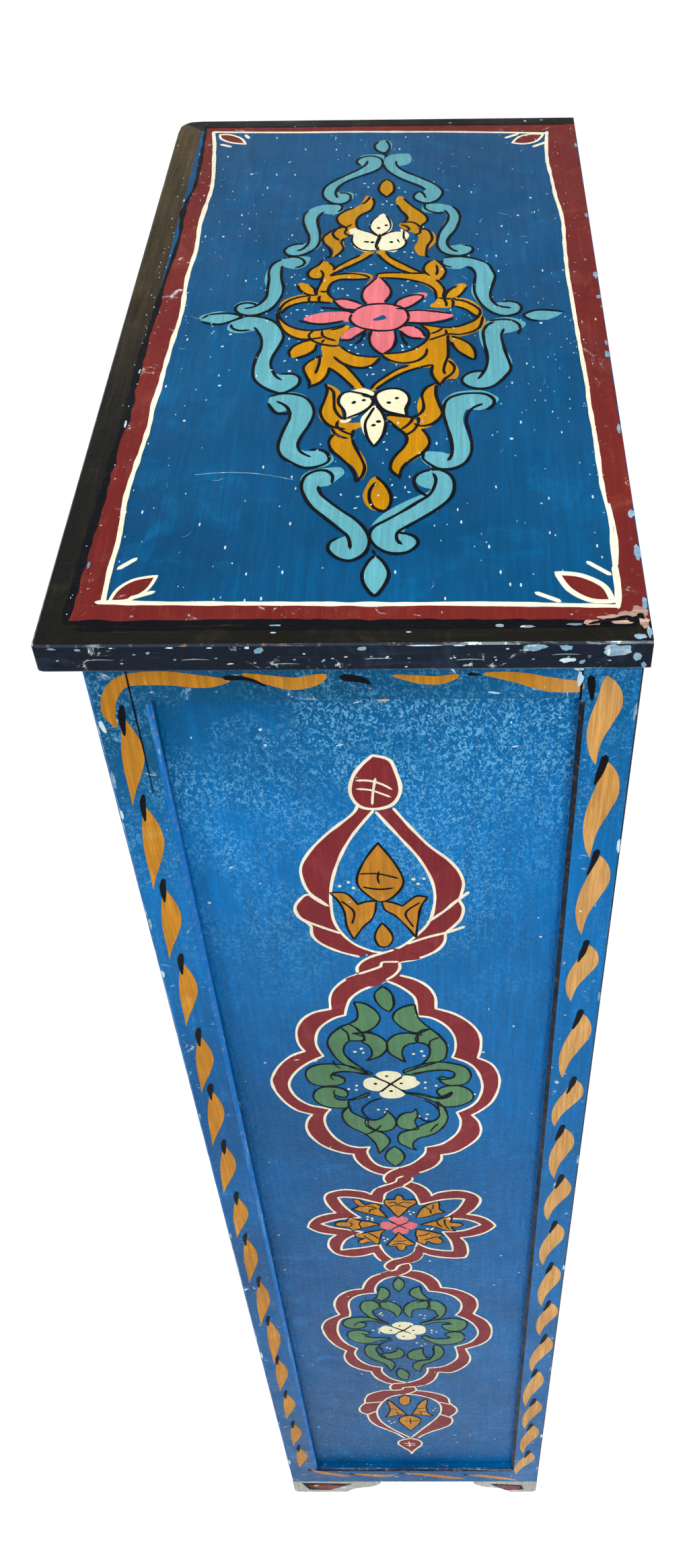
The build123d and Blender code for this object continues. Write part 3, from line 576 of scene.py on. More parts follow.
class Coat:
    # paint laid on a flat face: thin closed shapes gathered by colour, each colour at its own height
    def __init__(self, name, body, slotName, place):
        self.name = name
        self.body = body
        self.slotName = slotName
        self.place = place  # turns two coordinates and a height, in mm, into a point
        self.parts = {}
        self.laid = 0

    def layer(self, finish, level):
        # the mesh that a colour gathers in, and a height a hair above the last shape's
        self.laid += 1
        height = coatLook["heights"][level] + coatLook["apart"] * (self.laid % 16)
        return self.parts.setdefault((finish, level), bmesh.new()), height

    def fill(self, finish, level, *loops):
        # a closed outline, with holes if more loops are given
        form, height = self.layer(finish, level)
        rings = [[Vector((p[0], p[1], 0)) for p in loop] for loop in loops]
        points = [p for ring in rings for p in ring]
        over = [form.verts.new(self.place(p.x, p.y, height)) for p in points]
        under = [form.verts.new(self.place(p.x, p.y, -coatLook["sunk"])) for p in points]
        for triangle in tessellate_polygon(rings):
            form.faces.new([over[i] for i in triangle])
            form.faces.new([under[i] for i in reversed(triangle)])
        start = 0
        for ring in rings:
            for i in range(len(ring)):
                a, b = start + i, start + (i + 1) % len(ring)
                form.faces.new((over[a], over[b], under[b], under[a]))
            start += len(ring)

    def patches(self, finish, level, *outlines):
        # filled shapes with smooth outlines
        for outline in outlines:
            self.fill(finish, level, smooth(outline, True))

    def stroke(self, finish, level, points, width, closed=False, ends=1.5, steps=None, uneven=0.12):
        # one pull of the brush along a line; width is a number or one for each point
        widths = width if isinstance(width, (list, tuple)) else [width] * len(points)
        line = smooth([(p[0], p[1], w, *p[2:]) for p, w in zip(points, widths)], closed, steps, 3)
        form, height = self.layer(finish, level)
        total = len(line)
        run = [0.0]
        for a, b in zip(line, line[1:]):
            run.append(run[-1] + math.hypot(b[0] - a[0], b[1] - a[1]))
        rows = []
        for i, (x, y, w) in enumerate(line):
            before, after = line[(i - 1) % total], line[(i + 1) % total]
            if not closed:
                before, after = line[max(i - 1, 0)], line[min(i + 1, total - 1)]
            dx, dy = after[0] - before[0], after[1] - before[1]
            size = math.hypot(dx, dy) or 1.0
            w *= 1 + uneven * noise.noise(Vector((x * 0.09, y * 0.09, 3.0)))
            if not closed:  # the ends are rounded off
                near = min(run[i], run[-1] - run[i])
                reach = max(w * 0.5 * ends, 0.2)
                w *= math.sqrt(max(0.02, 1 - (1 - min(near / reach, 1)) ** 2))
            nx, ny = -dy / size * w / 2, dx / size * w / 2
            lift, sunk = height + coatLook["rise"] * (i % 20), -coatLook["sunk"]
            corners = ((1, lift), (-1, lift), (-1, sunk), (1, sunk))
            rows.append([form.verts.new(self.place(x + s * nx, y + s * ny, h)) for s, h in corners])
        pairs = list(zip(rows, rows[1:])) + ([(rows[-1], rows[0])] if closed else [])
        for first, second in pairs:
            for k in range(4):
                form.faces.new((first[k], first[(k + 1) % 4], second[(k + 1) % 4], second[k]))
        if not closed:
            form.faces.new(rows[0])
            form.faces.new(list(reversed(rows[-1])))

    def strokes(self, finish, level, lines, width, **how):
        for line in lines:
            self.stroke(finish, level, line, width, **how)

    def leaves(self, finish, level, outlines, brush):
        # filled shapes, each with a brushed ink outline
        for outline in outlines:
            self.patches(finish, level, outline)
            self.stroke("ink", "stroke", outline, brush, closed=True, uneven=0.6)

    def dots(self, finish, level, points, size):
        for i, (x, y) in enumerate(points):
            radius = size * (1 + 0.35 * noise.noise(Vector((x, y, i * 0.7)) * 0.37))
            ring = []
            for k in range(9):
                angle = k * math.tau / 9
                r = radius * (1 + 0.22 * noise.noise(Vector((x + k, y, 1.3)) * 0.9))
                ring.append((x + r * math.cos(angle), y + r * math.sin(angle)))
            self.fill(finish, level, ring)

    def done(self):
        for (finish, level), form in self.parts.items():
            bmesh.ops.recalc_face_normals(form, faces=form.faces)
            piece = pieceFrom(form, f"{self.name}_{finish}_{level}")
            settle(piece, self.body, self.slotName, finish)
        print("coat laid:", self.name, len(self.parts), "colours")


def onCurve(a, b, c, d, t):
    # one coordinate of the curve that runs from b to c on its way from a to d
    straight = 2 * b + (c - a) * t
    return 0.5 * (straight + (2 * a - 5 * b + 4 * c - d) * t * t + (3 * b - a - 3 * c + d) * t ** 3)


def smooth(points, closed=False, steps=None, sizes=2):
    # an even line through given points; a point with a last entry of 1 is a sharp turn
    sharp = [len(p) > sizes for p in points]
    flat = [tuple(p[:sizes]) for p in points]
    count = len(flat)
    out = []
    for i in range(count if closed else count - 1):
        p1, p2 = flat[i], flat[(i + 1) % count]
        p0 = flat[(i - 1) % count] if closed or i > 0 else p1
        p3 = flat[(i + 2) % count] if closed or i + 2 < count else p2
        if sharp[i]:
            p0 = p1
        if sharp[(i + 1) % count]:
            p3 = p2
        length = math.hypot(p2[0] - p1[0], p2[1] - p1[1])
        parts = steps or max(2, min(12, int(length / coatLook["step"])))
        for k in range(parts):
            out.append(tuple(onCurve(*four, k / parts) for four in zip(p0, p1, p2, p3)))
    if not closed:
        out.append(flat[-1])
    return out


def onSide(sign, level):
    # a place on a side wall: y towards the back, z upwards
    return lambda y, z, height: Vector((sign * (level + height), min(y, faces["back"]), z)) * mm


def onTop(x, y, height):
    return Vector((x, min(y, faces["back"]), faces["top"] + height)) * mm


def frontCoat(name, body, level=faces["front"], slotName="painted_frame"):
    return Coat(name, body, slotName, lambda x, z, height: Vector((x, -(level + height), z)) * mm)


sides = (("left", -1), ("right", 1))
sideBoards = (  # node, finish, finish of its edges, slot, open arrises, rounding in mm
    ("front_post", "stileBlue", "edgeBlueZ", "painted_frame", ("postOuter", "postInner"), 1.6),
    ("side_front_strip", "stileBlue", "edgeBrightZ", "painted_frame", (), None),
    ("side_rear_stile", "stileBlue", "edgeDarkZ", "painted_frame", ("rearStile",), 1.2),
    ("side_top_rail", "railBlue", "edgeBlueY", "painted_frame", (), None),
    ("side_bottom_rail", "railBlue", "edgeDarkY", "painted_frame", (), None),
    ("side_panel", "sideBlue", "sideBlue", "painted_side_panel", (), None),
    ("foot_front", "footWhite", "edgeFoot", "painted_foot", (), None),
    ("foot_rear", "footWhite", "edgeFoot", "painted_foot", (), None),
    ("door_hinge_stile", "doorBlue", "edgeBlueZ", "painted_frame", ("hingeStile", "meetingStile"), 1.3),
    ("door_meeting_stile", "doorBlue", "edgeBlueZ", "painted_frame", ("hingeStile", "meetingStile"), 1.3),
    ("door_bottom_rail", "frontBlue", "edgeBlueX", "painted_frame", (), None),
    ("door_lower_lock_rail", "frontBlue", "edgeBlueX", "painted_frame", (), None),
    ("door_upper_lock_rail", "frontBlue", "edgeBlueX", "painted_frame", (), None),
    ("door_top_rail", "frontBlue", "edgeBlueX", "painted_frame", (), None),
)
lippingRounding = 1.2  # mm
railRounding = 1.3
for side, sign in sides:
    for name, finish, edge, slotName, lines, rounding in sideBoards:
        board(f"{name}_{side}", finish, edge, slotName, *lines, roundedBy=rounding)
    board(
        f"top_lipping_{side}", "blackAlongY", "edgeBlackY", "painted_lipping", "sideLipping",
        roundedBy=lippingRounding, upright="navyAlongY", corner=side == "left", top=True,
    )
board("front_top_rail", "frontBlue", "edgeBlueX", "painted_frame", "topRail", roundedBy=railRounding)
board("front_bottom_rail", "frontBlue", "edgeBlueX", "painted_frame", "bottomRail", roundedBy=railRounding)
board(
    "top_lipping_front", "blackAlongX", "edgeBlackX", "painted_lipping", "frontLipping",
    roundedBy=lippingRounding, upright="navyAlongX", corner=True, top=True,
)
board("top_board", "topBlue", "topBlue", "painted_top", top=True)
print("boards dressed")

easedPieces = (  # finish, slot, mm taken off the edges, nodes
    ("backPine", "back_wood", 0.7, ("back_board_1", "back_board_2", "back_board_3")),
    ("shelfPine", "inner_wood", 0.8, (
        "shelf_1", "shelf_2", "shelf_3", "bottom_board", "rear_rail", "door_stop")),
    ("cleatPine", "inner_wood", 0.6, ("shelf_cleats",)),
    ("iron", "hinge_iron", 0.15, (
        "hinge_frame_leaves", "hinge_door_leaves_left", "hinge_door_leaves_right", "hinge_pins")),
    ("brass", "pull_brass", 0.25, ("ring_plate_left", "ring_plate_right")),
    ("steel", "screw_steel", 0.15, ("button_screw",)),
    ("ochre", "painted_button", 0.9, ("turn_button",)),
)
for finish, slotName, amount, nodes in easedPieces:
    for node in nodes:
        eased(node, finish, slotName, amount)

ringLook = {  # mm
    "middle": (24.077, -153.4, 765),  # of the right-hand ring
    "radius": 15.0,
    "wire": 2.0,
    "waist": 0.35,  # how much thinner the wire has worn where it hangs
    "uneven": 0.05,
    "around": 56,
    "across": 14,
}
for side, sign in sides:
    form = bmesh.new()
    around, across = ringLook["around"], ringLook["across"]
    middleX, middleY, middleZ = ringLook["middle"]
    rows = []
    for i in range(around):
        angle = i * math.tau / around
        thick = ringLook["wire"] - ringLook["waist"] * max(0.0, math.sin(angle)) ** 2
        row = []
        for k in range(across):
            turn = k * math.tau / across
            reach = ringLook["radius"] + thick * math.cos(turn)
            x = sign * middleX + reach * math.cos(angle)
            point = Vector((x, middleY + thick * math.sin(turn), middleZ + reach * math.sin(angle)))
            point += Vector((0, 0, 1)) * ringLook["uneven"] * noise.noise(point * 0.6)
            row.append(form.verts.new(point * mm))
        rows.append(row)
    for i in range(around):
        for k in range(across):
            a, b = rows[i], rows[(i + 1) % around]
            form.faces.new((a[k], a[(k + 1) % across], b[(k + 1) % across], b[k])).smooth = True
    bmesh.ops.recalc_face_normals(form, faces=form.faces)
    ring = pieceFrom(form, f"round_ring_{side}")
    settle(ring, f"ring_{side}", "pull_brass", "brass")
    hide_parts(f"ring_{side}")
print("inner boards and fittings finished")

carvedLook = {  # the paint of each kind of facet
    "face": "doorBlue",
    "field": "maroonSide",
    "wall": "cream",
    "petal": "ochre",
    "point": "turquoise",
    "corner": "ochre",
    "margin": "cream",
}
carvedSizes = {  # mm, what tells one kind of facet from another
    "fieldBehind": -141.2,
    "chipsBefore": -141.5,
    "wallsBefore": -139.5,
    "fieldReach": 84,
    "petalReach": 42,
}
panelMiddles = {  # mm up, the middles of the rosettes and stars
    "lower": (273.0,),
    "upper": (1310.8,),
    "middle": (1089.2, 947.8, 806.4, 665.1, 523.7),
}


def facetKind(facet, part):
    # told by the facet's slope, its depth and how near a rosette's middle it lies
    at = facet.calc_center_median() / mm
    across = abs(at.x) - faces["doorMiddle"]
    slope = facet.normal.y
    if slope < -0.9995:
        return "field" if at.y > carvedSizes["fieldBehind"] else "face"
    if slope < -0.05:
        if min(v.co.y for v in facet.verts) < carvedSizes["chipsBefore"] * mm:
            return "margin" if part == "middle" else "corner"
        reach = min(math.hypot(across, at.z - z) for z in panelMiddles[part])
        return "petal" if reach < carvedSizes["petalReach"] else "point"
    if slope <= 0.05 and at.y < carvedSizes["wallsBefore"] and abs(across) < carvedSizes["fieldReach"]:
        return "wall"
    return "face"


for side, sign in sides:
    for part in panelMiddles:
        node = f"door_{part}_panel_{side}"
        form = formOf(node, 0.005)
        colours = list(dict.fromkeys(carvedLook.values()))
        for facet in form.faces:
            facet.material_index = colours.index(carvedLook[facetKind(facet, part)])
        piece = pieceFrom(form, "painted_" + node)
        settle(piece, f"door_{side}", "carved_panel", *colours)
        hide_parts(node)
print("carved panels painted")


# the ornament painted on the top; u runs to the back, v to the left, in mm
topPattern = {
    "brush": 2.1,
    "dashes": 1.2,
}


def topPlace(u, v, height):
    return onTop(-v, u, height)


def wavy(points, amount, every=14):
    # straight runs broken up and set a little unevenly, as by hand
    out = []
    for a, b in zip(points, points[1:] + points[:1]):
        length = math.hypot(b[0] - a[0], b[1] - a[1])
        parts = max(1, int(length / every))
        for k in range(parts):
            t = k / parts
            x, y = a[0] + (b[0] - a[0]) * t, a[1] + (b[1] - a[1]) * t
            across, along = (noise.noise(Vector((x, y, seed)) * 0.05) for seed in (2, 7))
            out.append((x + amount * across, y + amount * along))
    return out


top = Coat("topPaint", "carcass", "painted_top", topPlace)

frontRun = [
    (-135, 302), (-132, 282), (-130, 262), (-128, 240), (-126.4, 222), (-125.4, 200), (-126.2, 180),
    (-127.2, 160), (-127.8, 140), (-126.8, 120), (-126.2, 100), (-127.2, 80), (-127.8, 60), (-127, 40),
    (-126, 20), (-126.2, 0), (-127.4, -20), (-128, -40), (-128.6, -60), (-128.8, -80), (-130, -100),
    (-129.4, -120), (-130.2, -140), (-131.4, -160), (-132.6, -180), (-133, -200), (-131.8, -220),
    (-131.2, -240), (-132, -262), (-131.4, -290),
]
farRun = [
    (-136, 302.4), (-100, 301), (-60, 300), (-20, 300), (20, 299), (60, 298), (100, 296), (142, 293.4),
]
backRun = [
    (141.4, 297), (140, 280), (139, 260), (138.8, 240), (140, 220), (141, 200), (142, 180), (144, 160),
    (145, 140), (144.6, 120), (144, 100), (143.6, 60), (144.2, 40), (145, 0), (146, -40), (147.2, -80),
    (147, -100), (148, -140), (148.2, -180), (149, -200), (150.4, -220), (150, -250), (149.2, -280),
    (148.4, -298),
]
nearRun = [
    (-136, -289.6), (-100, -291), (-60, -291.6), (-20, -292.2), (20, -293), (60, -293), (100, -294),
    (150, -296),
]
inner = [
    *frontRun[1:-1], (-131.6, -290.3), *nearRun[1:-1], (148.8, -295.4), *backRun[::-1][1:-1], (141.6, 294),
    *farRun[::-1][1:-1], (-133.5, 300.5),
]
outer = [
    (-142, 311), (-141, 286), (-140, 262), (-139.4, 236), (-139, 205), (-142, 180), (-143, 158),
    (-141, 128), (-141.6, 97), (-143.4, 60), (-144, 20), (-145, -12), (-146, -45), (-145.6, -80),
    (-145, -112), (-146.6, -140), (-147, -172), (-147.4, -204), (-148.4, -232), (-149, -274),
    (-149.6, -306), (-110, -307), (-60, -306.4), (0, -308), (40, -307.4), (100, -308.4), (164.7, -308),
    (164.7, 311),
]
top.fill("maroonTop", "ground", wavy(outer, 1.4, 7), inner)
for run, width in ((frontRun, 3.0), (farRun, 2.5), (backRun, 2.7), (nearRun, 3.2)):
    top.stroke("cream", "high", run, width, uneven=0.4)
top.stroke("cream", "high", [(151, -205), (152.4, -228), (152, -246), (150.6, -262)], 1.6, uneven=0.5)
top.stroke("cream", "high", [(149.4, -262), (149.6, -280), (148.6, -296)], 3.6, uneven=0.5)
heavyEdges = (  # the black paint's thick edge beside the maroon, and its widths
    (outer[:21], (3, 2, 4, 3, 2, 3, 4, 2, 3, 2, 4, 3, 5, 4, 5, 3, 5, 4, 5, 4, 4)),
    (outer[20:27], (4, 5, 4, 6, 4, 5, 3)),
)
for run, widths in heavyEdges:
    top.stroke("ink", "low", run, widths, uneven=0.7)

# maroon petals with cream edges and two ticks in the corners
corners = {
    "farFront": (
        [(-129, 297, 1), (-121, 297), (-111, 290), (-106, 279, 1), (-118, 282), (-127, 289)],
        [[(-127, 279), (-117, 274)], [(-108, 297), (-104, 289)]],
    ),
    "nearFront": (
        [(-128, -289, 1), (-125, -279), (-117, -271), (-105, -268, 1), (-109, -280), (-118, -288)],
        [[(-128, -262), (-118, -252)], [(-118, -287), (-104, -281)]],
    ),
    "farBack": (
        [(138, 291, 1), (132, 279), (122, 274), (112, 276, 1), (118, 287), (128, 292)],
        [[(140, 277), (128, 268)], [(118, 293), (106, 285)]],
    ),
    "nearBack": (
        [(146, -292, 1), (142, -279), (130, -270), (117, -268, 1), (123, -282), (134, -291)],
        [[(118, -292), (104, -284)], [(147, -270), (134, -258)]],
    ),
}
for name, (petal, ticks) in corners.items():
    top.patches("maroonTop", "low", petal)
    top.stroke("cream", "high", petal, 3.4 if name == "nearBack" else 2.0, closed=True)
    top.strokes("cream", "high", ticks, 2.8)

# turquoise scrolls and buds of the medallion, each a broad stroke that ends in a curled-in head
turquoiseShapes = (
    [
        (-12, 252), (-9, 256), (-3, 257.5), (4, 257), (8, 255), (8, 250), (8, 243), (7, 236), (4, 230),
        (-1, 226), (-6, 222), (-13, 216), (-19, 210), (-24, 204), (-27, 198), (-27, 192), (-23, 192.5),
        (-18, 192), (-14, 189), (-14, 182), (-17, 176), (-22, 172), (-28, 172), (-33, 176), (-37, 184),
        (-38, 193), (-37, 202), (-32, 210), (-26, 218), (-19, 225), (-12, 231), (-8, 236), (-11, 239),
        (-13, 243), (-13, 248),
    ],
    [
        (28, 258), (20, 258), (13, 256), (9, 250), (8, 243), (8, 236), (11, 229), (15, 222), (21, 215),
        (28, 208), (35, 202), (40, 196), (41, 192), (37, 191), (34, 188), (33, 183), (35, 177), (40, 173),
        (46, 173), (51, 177), (54, 184), (55, 191), (53, 198), (48, 205), (41, 213), (33, 220), (26, 226),
        (22, 231), (19, 236), (23, 237), (28, 240), (30.5, 246), (30, 252),
    ],
    [
        (-22, 170), (-20, 165), (-22, 159), (-28, 155), (-34, 157), (-37, 156), (-39, 150), (-39, 143),
        (-37, 134), (-35, 124), (-34, 114), (-35, 107), (-38, 101), (-43, 97), (-48, 93), (-56, 92),
        (-61, 96), (-61, 102), (-58, 107), (-52, 109.5), (-46, 111), (-45, 117), (-46, 126), (-49, 136),
        (-51, 146), (-50, 156), (-47, 163), (-42, 168), (-36, 171), (-28, 171),
    ],
    [
        (40, 168), (39, 162), (41, 158), (48, 156), (54, 157), (57, 157), (58, 151), (57, 144), (55, 136),
        (52, 125), (51, 113), (51, 103), (53, 96), (58, 92), (66, 90), (74, 91), (77, 97), (78, 102),
        (74, 106), (68, 107), (62, 105), (59, 106), (58, 112), (60, 118), (64, 126), (67, 136), (69, 146),
        (68, 156), (65, 163), (60, 168), (53, 171), (45, 171),
    ],
    [
        (-42, 90), (-42, 82), (-45, 76), (-50, 73), (-56, 74), (-60, 76), (-62, 70), (-61, 60), (-59, 50),
        (-58, 40), (-59, 30), (-62, 22), (-68, 14), (-76, 9), (-84, 11), (-89, 16), (-90, 22), (-87, 27),
        (-80, 28.5), (-74, 26), (-71, 28), (-69, 36), (-70, 46), (-72, 56), (-72, 66), (-70, 76), (-66, 84),
        (-60, 89), (-52, 91),
    ],
    [
        (56, 86), (62, 88), (70, 87), (78, 84), (86, 78), (90, 70), (91, 60), (90, 50), (88, 40), (88, 30),
        (90, 23), (95, 24), (102, 25), (107, 22), (109, 16), (107, 10), (101, 6), (95, 6), (88, 11),
        (82, 18), (78, 26), (75, 36), (75, 46), (77, 56), (78, 66), (76, 73), (72, 75), (68, 71), (62, 71),
        (56, 74), (54, 80),
    ],
    [
        (-85, 4), (-78, 8), (-70, 7), (-62, 2), (-56, -6), (-53, -15), (-53, -25), (-56, -36), (-58, -48),
        (-58, -58), (-54, -65), (-48, -64), (-42, -65), (-39, -70), (-39, -78), (-43, -84), (-50, -88),
        (-58, -84), (-66, -76), (-70, -64), (-70, -52), (-68, -40), (-67, -28), (-68, -18), (-71, -11),
        (-75, -11), (-80, -13), (-87, -13), (-92, -9), (-92, -3), (-89, 2),
    ],
    [
        (90, 2), (98, 4), (105, 2), (110, -2), (111, -6), (107, -12), (100, -16), (96, -17), (95, -22),
        (96, -32), (98, -42), (100, -52), (99, -62), (94, -72), (86, -81), (78, -84), (71, -82), (67, -76),
        (67, -68), (72, -64), (80, -63), (83, -58), (83, -48), (82, -38), (80, -28), (79, -18), (80, -8),
        (84, -2),
    ],
    [
        (-57, -97), (-56, -91), (-50, -87), (-42, -86), (-34, -90), (-29, -98), (-27, -108), (-28, -120),
        (-32, -132), (-35, -142), (-33, -149), (-27, -151), (-20, -150), (-14, -154), (-12, -160),
        (-16, -166), (-24, -168), (-34, -166), (-42, -160), (-46, -150), (-47, -140), (-45, -128),
        (-42, -116), (-41, -109), (-45, -107), (-51, -109), (-55, -104),
    ],
    [
        (62, -88), (70, -86), (80, -86), (88, -92), (90, -97), (84, -104), (78, -108), (70, -107),
        (68, -111), (67, -120), (69, -132), (71, -144), (71, -156), (68, -164), (62, -169), (52, -170),
        (45, -166), (41, -160), (41, -154), (46, -152), (54, -153), (58, -155), (60, -148), (59, -136),
        (57, -124), (55, -112), (54, -100), (57, -93),
    ],
    [
        (-24, -170), (-15, -168), (-7, -168), (-5, -174), (-9, -180), (-14, -186), (-19, -187), (-20, -191),
        (-15, -199), (-7, -209), (1, -217), (7, -225), (11, -234), (12, -243), (8, -251), (2, -256),
        (-4, -255), (-10, -250), (-11, -243), (-7, -237), (-2, -234), (-3, -229), (-9, -221), (-17, -212),
        (-24, -202), (-29, -191), (-31, -180), (-29, -174),
    ],
    [
        (38, -178), (42, -173), (50, -171), (57, -174), (61, -181), (62, -190), (59, -200), (53, -208),
        (45, -215), (37, -222), (32, -229), (33, -233), (38, -235), (40, -241), (36, -247), (30, -250),
        (23, -249), (17, -244), (13, -237), (12, -229), (14, -222), (19, -214), (27, -206), (36, -199),
        (45, -193), (47, -190), (44, -189), (39, -185),
    ],
    [
        (8, 284, 1), (12, 282), (14, 274), (13, 266), (10, 261), (6, 261), (2, 266), (0.5, 272), (2, 279),
        (5, 283),
    ],
    [(-113, 8), (-108, 12), (-100, 15), (-92, 13), (-84, 9, 1), (-90, 3), (-98, -1), (-106, 1), (-111, 3)],
    [(110, 5, 1), (114, 10), (120, 13), (126, 14), (132, 12), (137, 9, 1), (131, 3), (124, 0), (116, 1)],
    [(16, -251, 1), (20, -257), (23.5, -266), (22, -275), (16, -286, 1), (11, -277), (9, -266), (12, -256)],
)
top.patches("turquoise", "low", *turquoiseShapes)
scrollLines = (
    [
        (-5, 246), (-6, 240), (-9, 234), (-14, 228), (-22, 220), (-30, 211), (-36, 202), (-38, 193),
        (-37, 184), (-33, 177), (-28, 173), (-22, 172.5), (-17, 177), (-16, 184), (-18, 189), (-22, 190.5),
        (-26, 190),
    ],
    [
        (-10, 238), (-13, 241), (-13.5, 246), (-11, 251), (-6, 254), (0, 254), (5, 250), (7, 245), (7, 238),
        (5, 232), (0, 226), (-7, 221), (-15, 215), (-21, 209), (-25, 203), (-27, 197), (-28, 190),
        (-26, 182),
    ],
    [
        (18, 245), (18, 240), (20, 234), (24, 228), (31, 221), (39, 214), (47, 206), (52, 199), (55, 192),
        (54, 184), (50, 176), (44, 172), (38, 174), (33, 180), (33, 186), (36, 191), (39, 190), (41, 185),
        (42, 180),
    ],
    [(8, 240), (9, 234), (12, 227), (17, 220), (23, 213), (31, 206), (37, 201), (42, 194)],
    [
        (-35, 160), (-38, 155), (-39.5, 148), (-38.5, 138), (-36.5, 126), (-36, 113), (-38, 104), (-43, 97),
        (-50, 92), (-57, 92.5), (-61, 98), (-60, 104), (-54, 109), (-47, 110),
    ],
    [
        (-47, 162), (-50, 155), (-50, 144), (-48, 134), (-45, 124), (-44, 115), (-45, 108), (-48, 102),
        (-52, 99),
    ],
    [(-34, 173), (-26, 172), (-22, 169), (-22, 163), (-25, 159)],
    [(42, 171), (41, 165), (45, 159), (52, 156), (56, 158)],
    [
        (56, 161), (59, 154), (59, 147), (57, 138), (53, 127), (51, 115), (51, 104), (54, 96), (60, 91),
        (68, 90), (75, 94), (77, 100), (75, 104), (69, 106),
    ],
    [
        (62, 167), (66, 160), (68, 150), (67, 140), (64, 128), (60, 119), (58, 110), (60, 102), (63, 98),
        (66, 96),
    ],
    [(-62, 87), (-68, 80), (-70, 70), (-69, 58), (-69, 46), (-69, 34), (-72, 26), (-76, 21), (-83, 18)],
    [(-62, 88), (-54, 90.5), (-48, 88), (-45, 82), (-47, 77), (-52, 74)],
    [
        (-61, 78), (-61, 70), (-60, 58), (-58, 48), (-58, 38), (-60, 28), (-64, 18), (-70, 12), (-78, 9),
        (-85, 11), (-89, 17), (-88, 23), (-83, 26), (-77, 25), (-74, 21),
    ],
    [(55, 84), (54, 79), (57, 75), (62, 73)],
    [
        (56, 87), (64, 88.5), (72, 88), (80, 84), (87, 78), (90, 70), (92, 60), (90, 48), (88, 36),
        (89, 26), (93, 19), (98, 17), (102, 16),
    ],
    [
        (72, 74), (76, 70), (78, 62), (77, 50), (77, 38), (79, 28), (83, 18), (90, 9), (98, 5.5), (106, 9),
        (109, 16), (107, 22), (101, 25), (95, 24),
    ],
    [
        (-83, 9), (-76, 8), (-68, 6), (-61, 1), (-57, -5), (-54, -13), (-53, -21), (-55, -31), (-58, -42),
        (-59, -52), (-57, -61), (-54, -68), (-50, -72),
    ],
    [
        (-74, -6), (-71, -12), (-68, -20), (-67, -32), (-69, -44), (-70, -56), (-69, -68), (-65, -76),
        (-58, -83), (-50, -87), (-44, -84), (-39, -77), (-39, -69), (-44, -64.5), (-52, -65),
    ],
    [(-90, -2), (-89, -7), (-84, -10.5), (-76, -10)],
    [(90, -2), (85, -6), (82, -14), (82, -24), (83, -36), (84, -48), (83, -58), (80, -67), (77, -73)],
    [(86, -1), (94, 1), (101, 0), (106, -5), (107, -12), (105, -18)],
    [
        (96, -11), (94, -20), (95, -32), (97, -46), (99, -60), (95, -70), (88, -80), (80, -84), (72, -82),
        (67, -76), (68, -69), (74, -64), (82, -63),
    ],
    [
        (-52, -96), (-46, -101), (-43, -107), (-42, -115), (-44, -124), (-46, -135), (-47, -146),
        (-44, -156), (-37, -163), (-29, -168), (-20, -166), (-15, -161), (-16, -154), (-20, -150),
        (-27, -149),
    ],
    [
        (-57, -91), (-50, -88), (-42, -88), (-34, -92), (-29, -100), (-27, -110), (-29, -122), (-33, -134),
        (-35, -144), (-33, -151), (-29, -155), (-26, -157),
    ],
    [(-57, -98), (-54, -105), (-50, -110), (-42, -110)],
    [
        (80, -101), (74, -105), (70, -112), (69, -122), (71, -134), (72, -146), (71, -156), (67, -165),
        (60, -170), (52, -170), (46, -165), (42, -159), (43, -153),
    ],
    [
        (82, -108), (86, -103), (87, -97), (83, -91), (76, -89), (66, -90), (58, -95), (55, -104),
        (55, -114), (57, -126), (59, -138), (60, -150), (59, -158), (57, -162),
    ],
    [
        (-12, -184), (-12, -176), (-16, -171), (-22, -171), (-28, -176), (-30, -185), (-28, -195),
        (-23, -206), (-15, -216), (-7, -226), (-1, -233), (1, -240), (1.5, -246),
    ],
    [
        (-20, -186), (-18, -194), (-12, -202), (-4, -211), (3, -218), (9, -227), (12, -237), (11, -247),
        (7, -253), (1, -256), (-6, -253), (-11, -246), (-10, -239), (-5, -235),
    ],
    [
        (48, -174), (50, -180), (49, -188), (46, -196), (40, -202), (31, -211), (22, -219), (14, -226),
        (12, -234), (15, -242), (21, -248), (28, -250), (35, -248), (40, -241), (38, -235), (33, -232),
        (27, -231),
    ],
    [
        (46, -198), (40, -192), (37, -184), (38, -177), (44, -172), (52, -171), (59, -177), (61, -187),
        (59, -198), (52, -208), (43, -217), (34, -225), (28, -231), (28, -238), (31, -242),
    ],
    [(9, 283), (11.5, 276), (12, 268), (9, 260), (4, 262), (0.5, 268), (0, 275), (3, 281)],
    [(-111, 2), (-105, -1), (-98, -2), (-90, 2), (-84, 8), (-92, 12), (-100, 12), (-107, 10), (-111, 5)],
    [(120, -1), (115, 0), (110, 6), (115, 11), (122, 13), (131, 12), (138, 10)],
    [
        (16, -251), (21, -258), (24, -268), (21, -279), (16.5, -286), (11, -278), (9, -268), (12, -257),
        (16, -251),
    ],
    [(-84, 9), (-78, 9), (-70, 10)],
    [(7, 258), (10, 256), (9, 252)],
    [(16, -251), (14, -246)],
)
top.strokes("ink", "stroke", scrollLines, topPattern["brush"], uneven=0.35)

